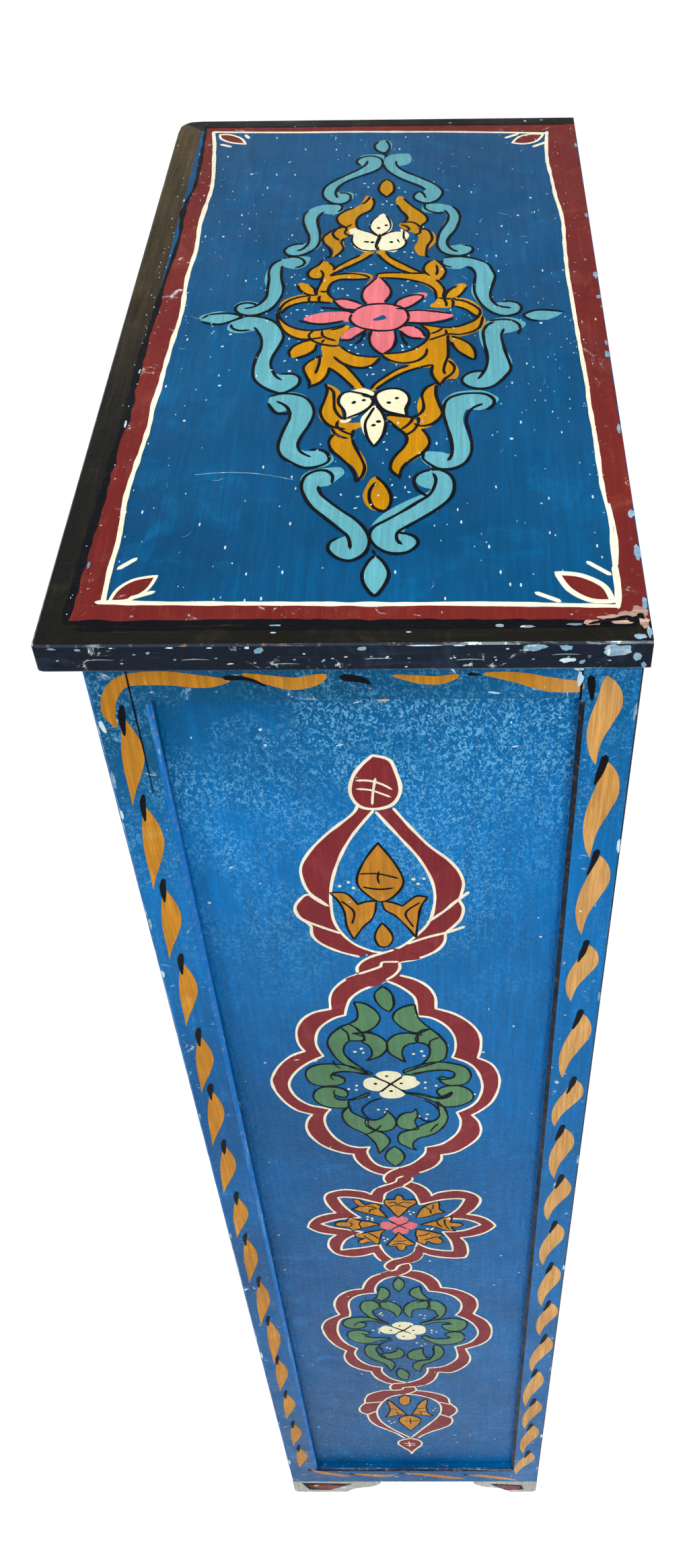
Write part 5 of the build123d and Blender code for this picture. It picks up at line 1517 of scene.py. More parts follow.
# each band of the chain: its outer line, then its inner line
bands = (
    # upper loop
    (
        [
            (0, 1350), (-4, 1341), (-21, 1322), (-33, 1305), (-40, 1289), (-40, 1274), (-36, 1260),
            (-25.5, 1247, 1), (-37, 1259), (-44.5, 1252), (-47.6, 1243.6), (-45.7, 1234), (-40, 1227),
            (-38, 1223, 1), (-38, 1212.6), (-32.6, 1203), (-20.7, 1193.6), (-6.4, 1187),
        ],
        [
            (9.8, 1345), (3, 1334), (-5, 1320), (-12.4, 1303), (-18.3, 1284), (-22, 1265), (-23, 1246),
            (-22, 1229), (-17, 1214), (-9, 1202), (3, 1193.6), (10.7, 1192),
        ],
    ),
    (
        [
            (21.7, 1347), (31.7, 1329), (43.6, 1310), (55.5, 1296), (62.6, 1284), (66, 1271), (64.5, 1258),
            (63, 1252, 1), (66, 1243.6), (64.5, 1231.7), (59, 1222), (53.8, 1215, 1), (53, 1204),
            (47, 1193.6), (35, 1185), (21, 1180),
        ],
        [
            (10.7, 1343.6), (17.4, 1331.7), (27, 1315), (36.4, 1298), (43.6, 1279), (46.7, 1262.6),
            (46.4, 1246), (42.4, 1227), (34, 1212.6), (24.5, 1200.7), (15, 1193.6), (8, 1191),
        ],
    ),
    # arch and frame of the first cartouche
    (
        [
            (-8.8, 1166), (-18.3, 1159), (-26.7, 1148), (-30.7, 1136.4), (-31.4, 1121, 1), (-44.5, 1116),
            (-54, 1105.5), (-58.8, 1091), (-58.8, 1074.5), (-55, 1062.6, 1), (-66, 1055.5), (-76, 1042),
            (-82, 1028), (-84.3, 1017.5), (-82.5, 1002.5), (-76.3, 985), (-68, 972.5), (-60, 967.5),
            (-56, 965.5, 1), (-60, 957.5), (-62.3, 945), (-60, 930), (-52.5, 915), (-42.5, 905),
            (-32.5, 899.3), (-25.8, 898, 1), (-25, 890), (-21.3, 880), (-15, 870), (-7.5, 863), (0, 859.5),
        ],
        [
            (10.7, 1156.7), (0.7, 1150.7), (-8.8, 1143.6), (-16, 1134), (-19.5, 1122), (-21, 1112.6, 1),
            (-30, 1108), (-39.8, 1097), (-44.5, 1084), (-45, 1069.8), (-41, 1055.5, 1), (-54, 1044.8),
            (-64, 1032), (-70, 1018), (-70.5, 1006), (-66, 992), (-57, 981), (-47, 976.8),
            (-40.5, 973.8, 1), (-45, 965), (-46.5, 953.8), (-44.5, 940), (-38.8, 925), (-30, 913.8),
            (-20, 909.5), (-11.3, 910.5, 1), (-13.8, 902.5), (-11.8, 891), (-7.5, 881), (-1.3, 875),
            (7.5, 872.5), (12.5, 874.5),
        ],
    ),
    (
        [
            (20, 1164.5), (31.7, 1159), (41, 1149.5), (46, 1136.4), (46.4, 1121, 1), (60, 1113.8),
            (72, 1100.7), (79.3, 1084), (80, 1065), (78, 1052, 1), (87, 1045), (92.5, 1035), (95.5, 1020),
            (94.5, 1002.5), (90, 985), (82.5, 972.5), (74.5, 963.8, 1), (80, 952.5), (82, 937.5),
            (78.8, 923.8), (70, 910), (60, 900), (48.8, 896, 1), (48.8, 887.5), (43.8, 876.3), (35, 867.5),
            (25, 862), (15, 858),
        ],
        [
            (10.7, 1157.5), (19.8, 1150.7), (28, 1141), (31.7, 1131.7), (32.4, 1111.2, 1), (43.6, 1108),
            (54, 1097), (60, 1081.7), (60.7, 1065), (58.3, 1053, 1), (70, 1045), (77.5, 1033), (82, 1012),
            (80, 992.5), (73.8, 978.8), (62, 968, 1), (65, 955), (63.8, 940), (58.8, 927.5), (48.8, 915),
            (35.7, 909.5, 1), (35, 900), (30, 890), (22.5, 880), (12.5, 873), (5, 867.5),
        ],
    ),
    # second cartouche
    (
        [
            (-2.5, 661), (-12.5, 655), (-21.3, 647.5), (-27.5, 635), (-31.3, 619.3, 1), (-42.5, 616.3),
            (-52.5, 607.5), (-58.8, 595), (-61.3, 580), (-60, 565), (-57.5, 556, 1), (-65, 548.8),
            (-72.5, 540.3), (-77.5, 525), (-77, 510), (-73.8, 492.5), (-66.3, 472.5), (-56, 458, 1),
            (-58.8, 445), (-58, 430), (-52.5, 415), (-42.5, 403.8), (-31.8, 398, 1), (-30, 387.5),
            (-25, 375), (-16.3, 363.8), (-10, 360.5),
        ],
        [
            (5.8, 650.5), (-2.5, 647.5), (-10, 641.3), (-16.3, 630), (-18.8, 617.5), (-18, 609.5, 1),
            (-30, 607), (-38.8, 601.3), (-45, 591.3), (-47, 577.5), (-46.3, 562), (-47.3, 551, 1),
            (-56.3, 543.8), (-60, 532.5), (-62, 515), (-60, 495), (-53.8, 477.5), (-43.8, 464.5, 1),
            (-47, 452.5), (-45, 437.5), (-38.8, 423.8), (-30, 414.5), (-19.3, 410, 1), (-20, 400),
            (-16.3, 387.5), (-10, 376.3), (-1.3, 368.8), (5.5, 365),
        ],
    ),
    (
        [
            (18, 662.5), (27.5, 660), (37.5, 650), (43.8, 637.5), (46.8, 622.5, 1), (60, 618.8),
            (72.5, 608.8), (81.3, 595), (83.3, 577.5), (81.3, 565), (79.3, 557.5, 1), (86.3, 548.8),
            (92.5, 540), (97.5, 525), (98.8, 507.5), (96.3, 490), (87.5, 475), (72, 463, 1), (75, 450),
            (77, 437.5), (75, 422.5), (68.8, 408.8), (60, 397.5), (53.8, 394.5), (42, 396, 1), (40, 382.5),
            (36.3, 370), (28.8, 358.8), (17.5, 352.5), (5, 348.8),
        ],
        [
            (5.8, 650), (15, 646.3), (25, 637.5), (30, 628.8), (34.5, 613.8, 1), (47.5, 610), (58.8, 601.3),
            (65.8, 587.5), (67, 575), (65, 562.5), (60.8, 554, 1), (72.5, 542.3), (80.5, 527.5),
            (84.5, 510), (82.5, 495), (75, 480), (60.5, 469.5, 1), (62.5, 455), (63, 440), (58.8, 427.5),
            (50, 415), (40, 409.5), (30, 408, 1), (30.5, 400), (27.5, 387.5), (20, 373.8), (6.3, 363.8),
            (-10, 360.5),
        ],
    ),
    # lower loop
    (
        [
            (-11.3, 340), (-22.5, 338.8), (-32.5, 332.5), (-38.8, 325), (-42.5, 312.5), (-43, 300, 1),
            (-47.5, 291.3), (-50.5, 280), (-48.8, 268.8), (-42, 262, 1), (-41.3, 250), (-38.8, 237.5),
            (-32.5, 223.8), (-22.5, 211.3), (-10, 196.3), (-5, 187.5), (0, 178.8),
        ],
        [
            (3.3, 328), (-7.5, 323.8), (-15, 317.5), (-21.3, 306.3), (-26.3, 292.5), (-30, 275), (-30, 255),
            (-26.3, 237.5), (-18.8, 220), (-10, 205), (-1.3, 192.5), (6.3, 181.3),
        ],
    ),
    (
        [
            (15, 340), (25, 337.5), (37.5, 332), (47.5, 323.8), (53, 313.8), (54.3, 301), (56.3, 295, 1),
            (62, 282.5), (62.5, 271.3), (59.5, 262.5), (55, 255, 1), (57, 247), (57.5, 237.5), (53.8, 225),
            (45, 213.8), (32.5, 202.5), (20, 187.5), (16.3, 178.8),
        ],
        [
            (3.3, 328), (15, 326.3), (27.5, 318.8), (37.5, 308.8), (43, 295), (44.5, 280), (43, 265),
            (38.8, 250), (31.3, 232.5), (22.5, 213.8), (15, 197.5), (7.5, 181.3),
        ],
    ),
)
lobeEdges = (
    [(-48, 1243), (-44, 1232), (-30, 1222), (-18, 1215)],
    [(-37, 1259), (-30, 1251), (-24.5, 1246)],
    [(70, 1261.4), (60, 1249.5), (53, 1240), (41, 1227)],
    [(67.4, 1222.6), (55.5, 1216), (41, 1210), (27, 1202.4)],
    [(-44, 298.8), (-35, 301), (-22.5, 303.8)],
    [(-42, 261.3), (-36.3, 267.5), (-29.5, 274)],
    [(40, 302.5), (47.5, 299.5), (56.5, 294.5)],
    [(42, 262.5), (48.8, 257.5), (56.5, 250)],
)

# where two ribbons cross: the maroon under the crossing, then its cream edges
crossings = (
    (
        [
            (10.7, 1193), (2, 1188), (-5, 1182), (-9, 1174.5), (-9, 1166), (-18, 1159), (0, 1150),
            (11, 1157), (21, 1164), (21, 1180), (36, 1185), (20, 1197),
        ],
        [(18, 1196), (10.7, 1192), (2, 1187.6), (-5, 1181.7), (-9, 1174.5), (-9, 1167.5)],
        [(21, 1181), (9, 1180.5), (7.9, 1175.7), (0.7, 1171), (-8.8, 1166)],
        [(21, 1180.5), (21.2, 1173), (17.4, 1165), (10.7, 1158)],
    ),
    (
        [
            (12.5, 873.5), (5, 867.5), (0, 860.5), (-1.8, 852.5), (0, 843), (-10, 832), (-3, 826),
            (8.8, 836), (15, 839), (22, 847), (23, 856), (30, 864),
        ],
        [(12.5, 873.5), (5, 867.5), (0, 860.5), (-1.8, 852.5), (0.5, 845)],
        [(16, 858.3), (10, 853.8), (9, 848.5), (5, 844.5), (-1, 841), (-8, 836)],
        [(23, 856), (23.3, 851), (21.3, 847.5), (17.5, 842.5), (14.5, 838.8)],
    ),
    (
        [
            (24, 717), (22.5, 707.5), (17.5, 697.5), (10, 691.3), (1.8, 688), (-5, 682), (-7.5, 672),
            (-4, 662), (-12, 655), (5, 649), (15, 655), (18.5, 663), (17, 678), (25, 686), (28.8, 694),
            (30, 702),
        ],
        [(10, 691.3), (1.8, 688), (-4, 682), (-7.2, 674), (-6, 667), (-2.5, 661.5)],
        [(17.5, 680), (8.8, 676.3), (5, 671.3), (3, 665), (-2.5, 661.3)],
        [(16.5, 679), (18.3, 671), (17, 663), (12, 656), (5.5, 650.3)],
    ),
    (
        [
            (6.3, 364.5), (-2.5, 362.5), (-8.8, 360.8), (-12, 355), (-12.5, 347.5), (-10, 340),
            (-22, 338.5), (-12, 328), (3.3, 327.5), (9, 331), (15.5, 338), (17, 345), (17.5, 352.5),
            (28, 359),
        ],
        [(6.3, 364), (-2.5, 362.5), (-8.8, 360.8), (-11.8, 355), (-12.5, 347.5), (-10, 340.5)],
        [(17, 352.3), (2.5, 349.5), (2, 345), (-2.5, 342), (-11.3, 340)],
        [(14.5, 350.5), (16.8, 343.8), (15, 337.5), (8.8, 331.3), (3.3, 328)],
    ),
)
starOuter = (
    [
        (-8, 836), (-12.5, 829), (-14, 823, 1), (-18.8, 828), (-27.5, 831), (-35, 832.5), (-43.8, 830.8),
        (-52.5, 825.5), (-55.8, 817.5), (-55, 807.5), (-51.8, 796), (-47.5, 787, 1), (-57.5, 783.8),
        (-66.3, 777.5), (-72.5, 767.5), (-75, 757.5, 1), (-70, 751), (-62.5, 745), (-50, 741.5, 1),
        (-56.3, 732.5), (-58.5, 720), (-57, 710), (-51.3, 699.5), (-41.3, 694.5), (-32.5, 694.3),
        (-23.8, 697.5), (-16.8, 702, 1), (-13.8, 691.3), (-10, 683.8),
    ],
    [
        (22, 847), (28.8, 842.5), (35, 835), (39.3, 825), (39.5, 820, 1), (45, 826.3), (58.8, 830.5),
        (70, 828.8), (78.8, 822.5), (83, 813.8), (82, 803.8), (77.5, 792.5), (71.3, 783.5, 1), (80, 781.3),
        (88.8, 775), (95, 766.3), (97.5, 760, 1), (93.8, 752.5), (86.3, 743.8), (76.3, 738), (65.8, 735, 1),
        (70.5, 725), (72.5, 712.5), (72.5, 700), (70, 691.8, 1), (60, 690.5), (47.5, 692.5), (37.5, 696.3),
        (30, 702, 1), (28.8, 693.8), (25, 686.3), (17.5, 680),
    ],
)
starInner = [
    (14.5, 838, 1), (8.8, 836), (2.5, 830), (-1.5, 823.5), (-2.8, 815), (-4, 805, 1), (-12.5, 808.8),
    (-23.8, 815), (-35, 818), (-43.8, 817.5, 1), (-41.3, 807.5), (-37.5, 797.5), (-32.5, 787.5),
    (-25.5, 777, 1), (-35, 776), (-47.5, 773), (-62, 764.5, 1), (-52.5, 757.5), (-40, 753), (-25, 747.5, 1),
    (-33.8, 740), (-41.3, 731.3), (-45.5, 720), (-47, 708.8, 1), (-38.8, 711.3), (-27.5, 713.8),
    (-10, 720.5, 1), (-8.8, 712.5), (-5, 700), (-1.3, 692.5), (1.8, 688, 1), (10, 691.3), (17.5, 697.5),
    (22.5, 707.5), (24.5, 724.5, 1), (28.8, 718.8), (37.5, 711.3), (48.8, 707.5), (58.3, 706.5, 1),
    (58, 715), (56.3, 727.5), (52.5, 738.8), (48.8, 747.5, 1), (60, 748), (71.3, 752), (84, 762.5, 1),
    (77.5, 768.8), (67.5, 773.8), (49.5, 775, 1), (56.3, 783.8), (62.5, 793.8), (66.3, 803.8),
    (68.8, 813.8, 1), (60, 814.5), (47.5, 812), (29, 803, 1), (27.5, 810), (25, 822.5), (20, 832.5),
]
fans = (
    [
        (8.8, 777.5, 1), (5.5, 785), (2, 794), (-0.5, 800), (-3, 806), (-2.5, 813, 1), (4, 813), (7, 814),
        (7, 818), (10.5, 822.5, 1), (14, 818), (14, 814), (16, 812), (25, 813, 1), (26, 806), (20, 799),
        (17.5, 794), (14, 787),
    ],
    [
        (25, 777, 1), (27.5, 787.5), (31, 796), (36, 803), (40, 806), (45.5, 809, 1), (46.5, 802),
        (46.5, 794), (51.5, 787.5, 1), (43.8, 785), (37.5, 780), (30, 777),
    ],
    [
        (28.8, 762.5, 1), (37.5, 767.5), (43.8, 771), (48.8, 776), (57, 780, 1), (57.5, 772.5), (56, 767.5),
        (63.8, 766), (67.5, 762.5), (63.8, 757.5), (57, 758), (61, 749, 1), (51, 751), (46, 755),
        (37.5, 760),
    ],
    [
        (25, 752.5, 1), (33.8, 750), (43.8, 745), (50, 740, 1), (45, 736), (48.8, 730), (47.5, 722.5),
        (40, 722.5), (35, 727.5), (32.5, 720, 1), (26, 726), (25, 735), (23.8, 742),
    ],
    [
        (8, 747.5, 1), (12.5, 739), (17.5, 730), (23.8, 721, 1), (18, 719), (14.5, 717), (13.8, 711),
        (10, 707.5), (6, 712), (5, 717.5), (1, 717), (-3.8, 719, 1), (1, 729), (5, 737.5),
    ],
    [
        (-3.8, 752.5, 1), (-7.5, 745), (-8.8, 737.5), (-10, 730), (-11.3, 720, 1), (-16, 725), (-21, 726),
        (-25, 722.5), (-30, 724), (-28.8, 730), (-23.8, 734), (-31, 736), (-32.5, 742.5, 1), (-23.8, 745),
        (-15, 749),
    ],
    [
        (-8, 762.5, 1), (-15, 767.5), (-21, 770), (-26, 771), (-33.8, 777.5, 1), (-37.5, 775),
        (-38.8, 768.8), (-46, 768.8), (-50, 763.8), (-46, 758.8), (-38.8, 758), (-33.8, 750, 1),
        (-27.5, 754), (-20, 757.5), (-13.8, 761),
    ],
    [
        (-1.3, 777.5, 1), (-5, 787.5), (-7.5, 794), (-6, 799), (-10, 805), (-15, 806), (-20, 803),
        (-25, 812.5, 1), (-30, 814), (-28.8, 806), (-26, 800), (-32.5, 794, 1), (-25, 789), (-17.5, 785),
        (-10, 781),
    ],
)
fanLines = (
    [(1.3, 799.5), (8.8, 802.5), (17.5, 797)],
    [(0, 806), (6, 808), (8.8, 803)],
    [(22, 806), (14, 808), (9, 803)],
    [(32.5, 798.8), (37.5, 793.8), (38.8, 785)],
    [(40, 803.8), (41, 798), (39, 793)],
    [(43.8, 771), (45, 763.8), (48.8, 757.5)],
    [(51, 773.8), (51.5, 762.5), (55, 752.5)],
    [(26, 738.8), (32.5, 741), (37.5, 746)],
    [(31, 730), (37.5, 733.8), (45, 737.5)],
    [(2, 728.8), (8.8, 727.5), (16, 730)],
    [(1, 720), (8.8, 723), (16, 720)],
    [(-20, 745), (-15, 740), (-10.5, 732.5)],
    [(-25, 741), (-21, 733.8), (-15, 726)],
    [(-25, 770.5), (-27.5, 763.8), (-25, 755)],
    [(-37.5, 768.8), (-33.8, 763.8), (-37.5, 757.5)],
    [(-26, 798.8), (-17.5, 801), (-10, 796)],
    [(-17.5, 787.5), (-15, 793.8), (-8.8, 795)],
)
starPink = (
    [(9.5, 762), (3.8, 768.8), (0, 773.8), (2.5, 778.3), (8.8, 780), (15, 778.3), (18, 773.8), (15, 767.5)],
    [(8.5, 761.3), (1.3, 767.5), (-5, 768.8), (-8.3, 762.5), (-6.3, 755), (0, 752.5), (5, 757.5)],
    [(10.5, 761.3), (16.3, 768.8), (22, 767), (26, 764), (25, 757.5), (20, 752.5), (15, 756.3)],
    [(9.5, 760.5), (3.8, 752.5), (3, 747.5), (7.5, 743.8), (15, 743.8), (17.5, 748.8), (17, 753.8)],
)
# leaves round the cream flowers: those of the first cartouche, then of the second
upperGreens = (
    [
        (7.9, 1150, 1), (12.6, 1145), (15.3, 1135.6), (15.3, 1124.5), (11.8, 1116.6, 1), (6.3, 1123),
        (2.3, 1132.5), (2.3, 1142),
    ],
    [
        (-13.6, 1130, 1), (-5.6, 1127.7), (1.5, 1119), (4.7, 1108.6), (1.5, 1098.3), (-5.6, 1090.4),
        (-11.2, 1090), (-14.4, 1096), (-18.7, 1100.7, 1), (-12.8, 1107), (-11.7, 1118),
    ],
    [
        (-18.7, 1100.7, 1), (-25.5, 1096), (-33.4, 1085.6), (-36.6, 1073.7), (-34.2, 1061), (-29.4, 1048.3),
        (-21.5, 1039.6), (-8, 1030, 1), (-12, 1037.2), (-19.1, 1046.7), (-23.9, 1056.3), (-25, 1064),
        (-23.1, 1072), (-20, 1077), (-15.2, 1077), (-9.6, 1077.7), (-8, 1083), (-12, 1092.8),
    ],
    [
        (-16.7, 1088, 1), (-4, 1088), (3.9, 1082.5), (8.6, 1073.7), (7.9, 1064), (2.3, 1054.7),
        (-8, 1048.3, 1), (-4, 1054.7), (-3.3, 1062.6), (-5.6, 1070.6), (-10.4, 1076), (-8, 1081.7),
    ],
    [
        (30.9, 1126.4, 1), (22.9, 1123.7), (16.6, 1117.4), (14.2, 1108.6), (17.4, 1100), (24.5, 1091.2),
        (31.7, 1088), (35.6, 1092), (42, 1093.6, 1), (37.2, 1100.7), (33.2, 1108.6), (31.7, 1118),
    ],
    [
        (42, 1093.6, 1), (49.1, 1083.3), (53.9, 1070.6), (53.9, 1057.9), (50.7, 1049), (35.6, 1039.6),
        (21.3, 1031, 1), (32.5, 1040.4), (38.8, 1050), (41.2, 1059.4), (40.4, 1069), (35.6, 1073.7),
        (31.7, 1074.5), (30.9, 1081.7), (34.8, 1088),
    ],
    [
        (32.5, 1085.6, 1), (24.5, 1087.7), (15.8, 1085.6), (10.2, 1078.5), (8.3, 1070.6), (10.2, 1059.4),
        (16.6, 1051.5), (22.1, 1046, 1), (19.8, 1057.9), (21.3, 1067.4), (26.1, 1073), (31.7, 1074.5),
    ],
    [
        (-4, 1029), (-20, 1040), (-34.2, 1043.6), (-45.3, 1042.8), (-54, 1037.2), (-56.7, 1027),
        (-53.8, 1016), (-46, 1010.8), (-36, 1010.8), (-28.8, 1013.8), (-26, 1020), (-31, 1026), (-36, 1027),
        (-30, 1032), (-20, 1032), (-10, 1028),
    ],
    [
        (-10, 995), (-18, 990), (-25, 987), (-26, 977), (-33, 975.5), (-42.5, 977.5), (-50, 984),
        (-53, 993), (-51, 1002.5), (-44, 1008.8), (-35, 1008.8), (-27.5, 1005), (-25, 998), (-28, 993),
        (-36, 996), (-33, 989), (-22, 990), (-8, 1000),
    ],
    [
        (20, 1033), (34, 1042), (45, 1046), (58, 1044), (69, 1038), (73, 1025), (68.8, 1013.8),
        (61, 1010.5), (53.8, 1012), (48.8, 1017.5), (48.8, 1023.8), (58, 1022), (60, 1030), (52, 1034),
        (40, 1033), (26, 1027),
    ],
    [
        (20, 1000), (35, 992), (44, 985), (50, 978), (62, 978), (73, 986), (75, 996), (71, 1005),
        (62.5, 1010.5), (52, 1009), (46, 1002), (50, 994), (58, 1001), (56, 994), (48, 990), (35, 997),
    ],
    [
        (-25, 979, 1), (-31, 967.5), (-30.5, 955), (-25, 943.8), (-16, 935), (-11, 927.5), (-6, 915),
        (-3.8, 899, 1), (2.5, 910), (6, 920), (3.8, 928.8), (0, 935), (-5, 938.8), (-11, 947.5),
        (-10.8, 955), (-15, 960), (-20, 965), (-23.8, 970),
    ],
    [
        (5, 971, 1), (3.8, 965), (1, 960), (-5, 956), (-12.5, 956), (-13, 948), (-7.5, 940), (1, 937),
        (8.8, 941), (12, 950), (11, 958.8), (8, 966),
    ],
    [
        (28.8, 974.5, 1), (26, 968.8), (20, 967.5), (15, 962.5), (12.5, 953.8), (13.8, 945), (20, 940),
        (30, 940.5), (28.8, 946), (27.5, 955), (30, 962.5),
    ],
    [
        (46, 986, 1), (51, 977.5), (53.8, 967.5), (54.5, 957.5), (51, 945), (45, 935), (37.5, 928.8),
        (31, 926), (26, 918.8), (25, 911), (28, 903.8, 1), (20, 910), (13.8, 917.5), (13, 927.5), (16, 935),
        (25, 940), (37.5, 951), (43.8, 955), (47.5, 962.5), (47.5, 970),
    ],
    [
        (9.5, 911, 1), (15, 903.8), (17.5, 892.5), (15, 883.8), (9.5, 875, 1), (3.8, 883.8), (1, 892.5),
        (3.8, 903.8),
    ],
)
lowerGreens = (
    [(5, 646, 1), (10, 637.5), (10, 625), (4.5, 612, 1), (0, 622.5), (0, 635)],
    [
        (-13.8, 623.8, 1), (-7.5, 620), (-4.5, 610), (-6.3, 598.8), (-12.5, 591), (-22.5, 591, 1),
        (-17.5, 600), (-16.3, 610),
    ],
    [
        (-22.5, 591, 1), (-31.3, 588.8), (-35, 580), (-35.5, 570), (-31.3, 557.5), (-25, 546),
        (-12, 535, 1), (-21.3, 552.5), (-23, 565), (-17.5, 571), (-15, 580),
    ],
    [
        (-7.5, 590, 1), (-1.3, 585), (5, 575), (6.3, 565), (3.8, 554), (0, 549, 1), (-1.3, 557.5),
        (-6.3, 566), (-12.5, 571), (-16.3, 582.5),
    ],
    [
        (26.3, 625, 1), (18.8, 620), (15, 611), (17.5, 601), (25, 594), (35, 591, 1), (31.3, 600),
        (27.5, 610),
    ],
    [
        (35, 590, 1), (42.5, 589), (48.8, 580), (51.3, 570), (50, 557.5), (44, 545), (28, 534, 1),
        (42.5, 550), (41.3, 557.5), (39.5, 565), (32.5, 571), (34, 580),
    ],
    [
        (32.5, 590, 1), (20, 590), (12.5, 582.5), (8.8, 572.5), (8.8, 560), (12.5, 550), (16.3, 549, 1),
        (16.3, 560), (18.8, 567.5), (27.5, 571), (35, 572.5),
    ],
    [
        (-8, 531), (-10, 534), (-22.5, 545), (-35, 549), (-48.8, 545), (-54.5, 537.5), (-55, 527.5),
        (-48.8, 520), (-38.8, 519.5), (-32.5, 525), (-32, 533), (-38, 536), (-25, 539), (-15, 532.5),
    ],
    [
        (-7.5, 492.5), (-22, 485), (-25, 482.5), (-32.5, 479), (-41.3, 480.5), (-48.8, 487.5), (-52.5, 499),
        (-50.5, 510), (-42.5, 514.5), (-34, 513), (-28, 507), (-34, 500), (-28, 495), (-18, 494),
    ],
    [
        (25, 532.5), (35, 539), (48.8, 543), (57.5, 545), (68.8, 541), (73, 532.5), (71.3, 521),
        (65, 512.5), (55, 512.5), (48.8, 519), (47, 527.5), (56, 531), (50, 536), (38, 534), (28, 528),
    ],
    [
        (25, 495), (32.5, 485), (40, 477.5), (50, 474.5), (62.5, 479), (70, 489), (70, 500), (65, 509),
        (56.3, 509), (50, 502), (55, 495), (48, 491), (38, 491), (30, 499),
    ],
    [
        (-32.5, 475, 1), (-35.5, 467.5), (-36.3, 455), (-33.8, 442.5), (-27.5, 432.5), (-18.8, 424),
        (-13.8, 414), (-10, 399, 1), (-6.3, 410), (-5, 421), (-8.8, 430), (-15, 436), (-20, 442.5),
        (-22.5, 452.5), (-23.8, 464), (-20, 474),
    ],
    [
        (-1.3, 466, 1), (-2.5, 457.5), (-10, 451), (-16.3, 450), (-18.8, 444), (-12.5, 436), (-5, 435),
        (2.5, 439), (5.8, 447.5), (5, 457.5),
    ],
    [
        (26.3, 465, 1), (17.5, 461), (11.3, 454), (8.8, 444), (12.5, 434), (20, 431), (27.5, 434),
        (28.8, 440), (26.3, 450),
    ],
    [
        (40, 475, 1), (46.3, 467.5), (48.8, 455), (46.3, 441), (40, 431), (32.5, 424), (26.3, 417.5),
        (23.8, 407.5), (22.5, 397.5, 1), (16.3, 405), (14.3, 415), (17.5, 424), (25, 430), (32.5, 432.5),
        (36.3, 442.5), (38, 455), (37.5, 467.5),
    ],
    [(0, 407.5, 1), (6.3, 400), (10, 389), (8, 374, 1), (2, 374), (-3, 385), (-3.8, 397.5)],
)
greenLines = (
    [(-18.7, 1100), (-12, 1092.8), (-8, 1080), (-8.8, 1076)],
    [(-25, 1095), (-20.7, 1088), (-20, 1077)],
    [(49, 1081.7), (42, 1077), (40.7, 1069)],
    [(20, 1088), (28, 1087), (36.4, 1084.5)],
    [(-17.5, 1087), (-10, 1088), (-1.7, 1089.6)],
    [(-34, 1049), (-32, 1041), (-28, 1037)],
    [(-34.5, 1019), (-37, 1024), (-36, 1029), (-31, 1032), (-20, 1032), (-5, 1028)],
    [(-25.8, 992.5), (-32.5, 993.8), (-36.3, 998.8), (-35, 1005)],
    [(45.5, 1021), (51, 1020), (58, 1022), (60, 1029), (55, 1034), (42, 1033), (26, 1029)],
    [(57.5, 1001), (56, 996), (51, 992.5), (42.5, 992), (35, 995), (24, 999)],
    [(-8.8, 956), (-12.5, 962.5), (-15, 972.5), (-11, 981), (-5, 987.5), (2, 991)],
    [(30, 962), (36, 954), (44, 955), (48, 965), (44, 979), (36, 988)],
    [(-25, 979), (-30, 972), (-32, 966)],
    [(40, 936), (43, 944), (47, 950)],
    [(-15, 931), (-6, 938), (0, 948)],
    [(-20, 596), (-13, 590), (-7.5, 585)],
    [(38, 595), (30, 590), (22, 585)],
    [(-43.8, 525), (-42, 532), (-35, 537.5), (-25, 539), (-10, 531)],
    [(-28, 505), (-35, 503), (-37, 508)],
    [(57, 496), (52, 492), (40, 491), (31, 496)],
    [(-14, 437), (-17, 446), (-23, 452)],
    [(47, 527), (52, 531), (58, 529)],
    [(-16, 452), (-18, 462), (-21, 470), (-15, 481), (-6, 488)],
    [(28, 440), (34, 438), (38, 450), (37, 464), (40, 476)],
)
flowers = (
    (
        [(9.5, 1014), (0, 1023.8), (-1.8, 1028), (2.5, 1032), (8.8, 1033), (16.3, 1030.5), (18, 1025)],
        [
            (7.5, 1013.8), (-1.3, 1022.5), (-8.8, 1022), (-12, 1016), (-11.3, 1008.8), (-6.3, 1003.8),
            (1.3, 1003),
        ],
        [
            (11.3, 1013.8), (20, 1025.5), (28.8, 1023.8), (30, 1018.8), (33, 1015), (28.8, 1008.8),
            (21.3, 1004.5), (16.3, 1006.3),
        ],
        [(9.5, 1012), (1.3, 1002.5), (0.5, 996), (3.8, 992), (10, 990.8), (17.5, 993), (20.5, 1000)],
    ),
    (
        [(5.5, 515), (-2.5, 522.5), (-5, 528.8), (0, 535), (8.8, 536.3), (16.3, 532.5), (16.3, 525)],
        [
            (4, 513.8), (-4, 522), (-12.5, 526.3), (-17.5, 520), (-17.5, 512.5), (-12.5, 506), (-5, 504.5),
            (1.3, 508.8),
        ],
        [
            (8, 513.8), (15, 522.5), (18.8, 527.5), (27.5, 525), (30, 516.3), (28.8, 507.5), (22.5, 503),
            (16.3, 505),
        ],
        [
            (6.5, 512), (0, 505), (-1.3, 497.5), (2.5, 490.5), (10, 488.8), (17.5, 491.3), (19.5, 498.8),
            (15, 506.3),
        ],
    ),
)
flowerInk = (
    [(-4, 1025), (9, 1014), (21, 1000)],
    [(19, 1024.5), (9.5, 1013), (1, 1001)],
    [(-6, 525), (6, 514), (15, 505)],
    [(16, 528), (6, 513), (-0.5, 508)],
)
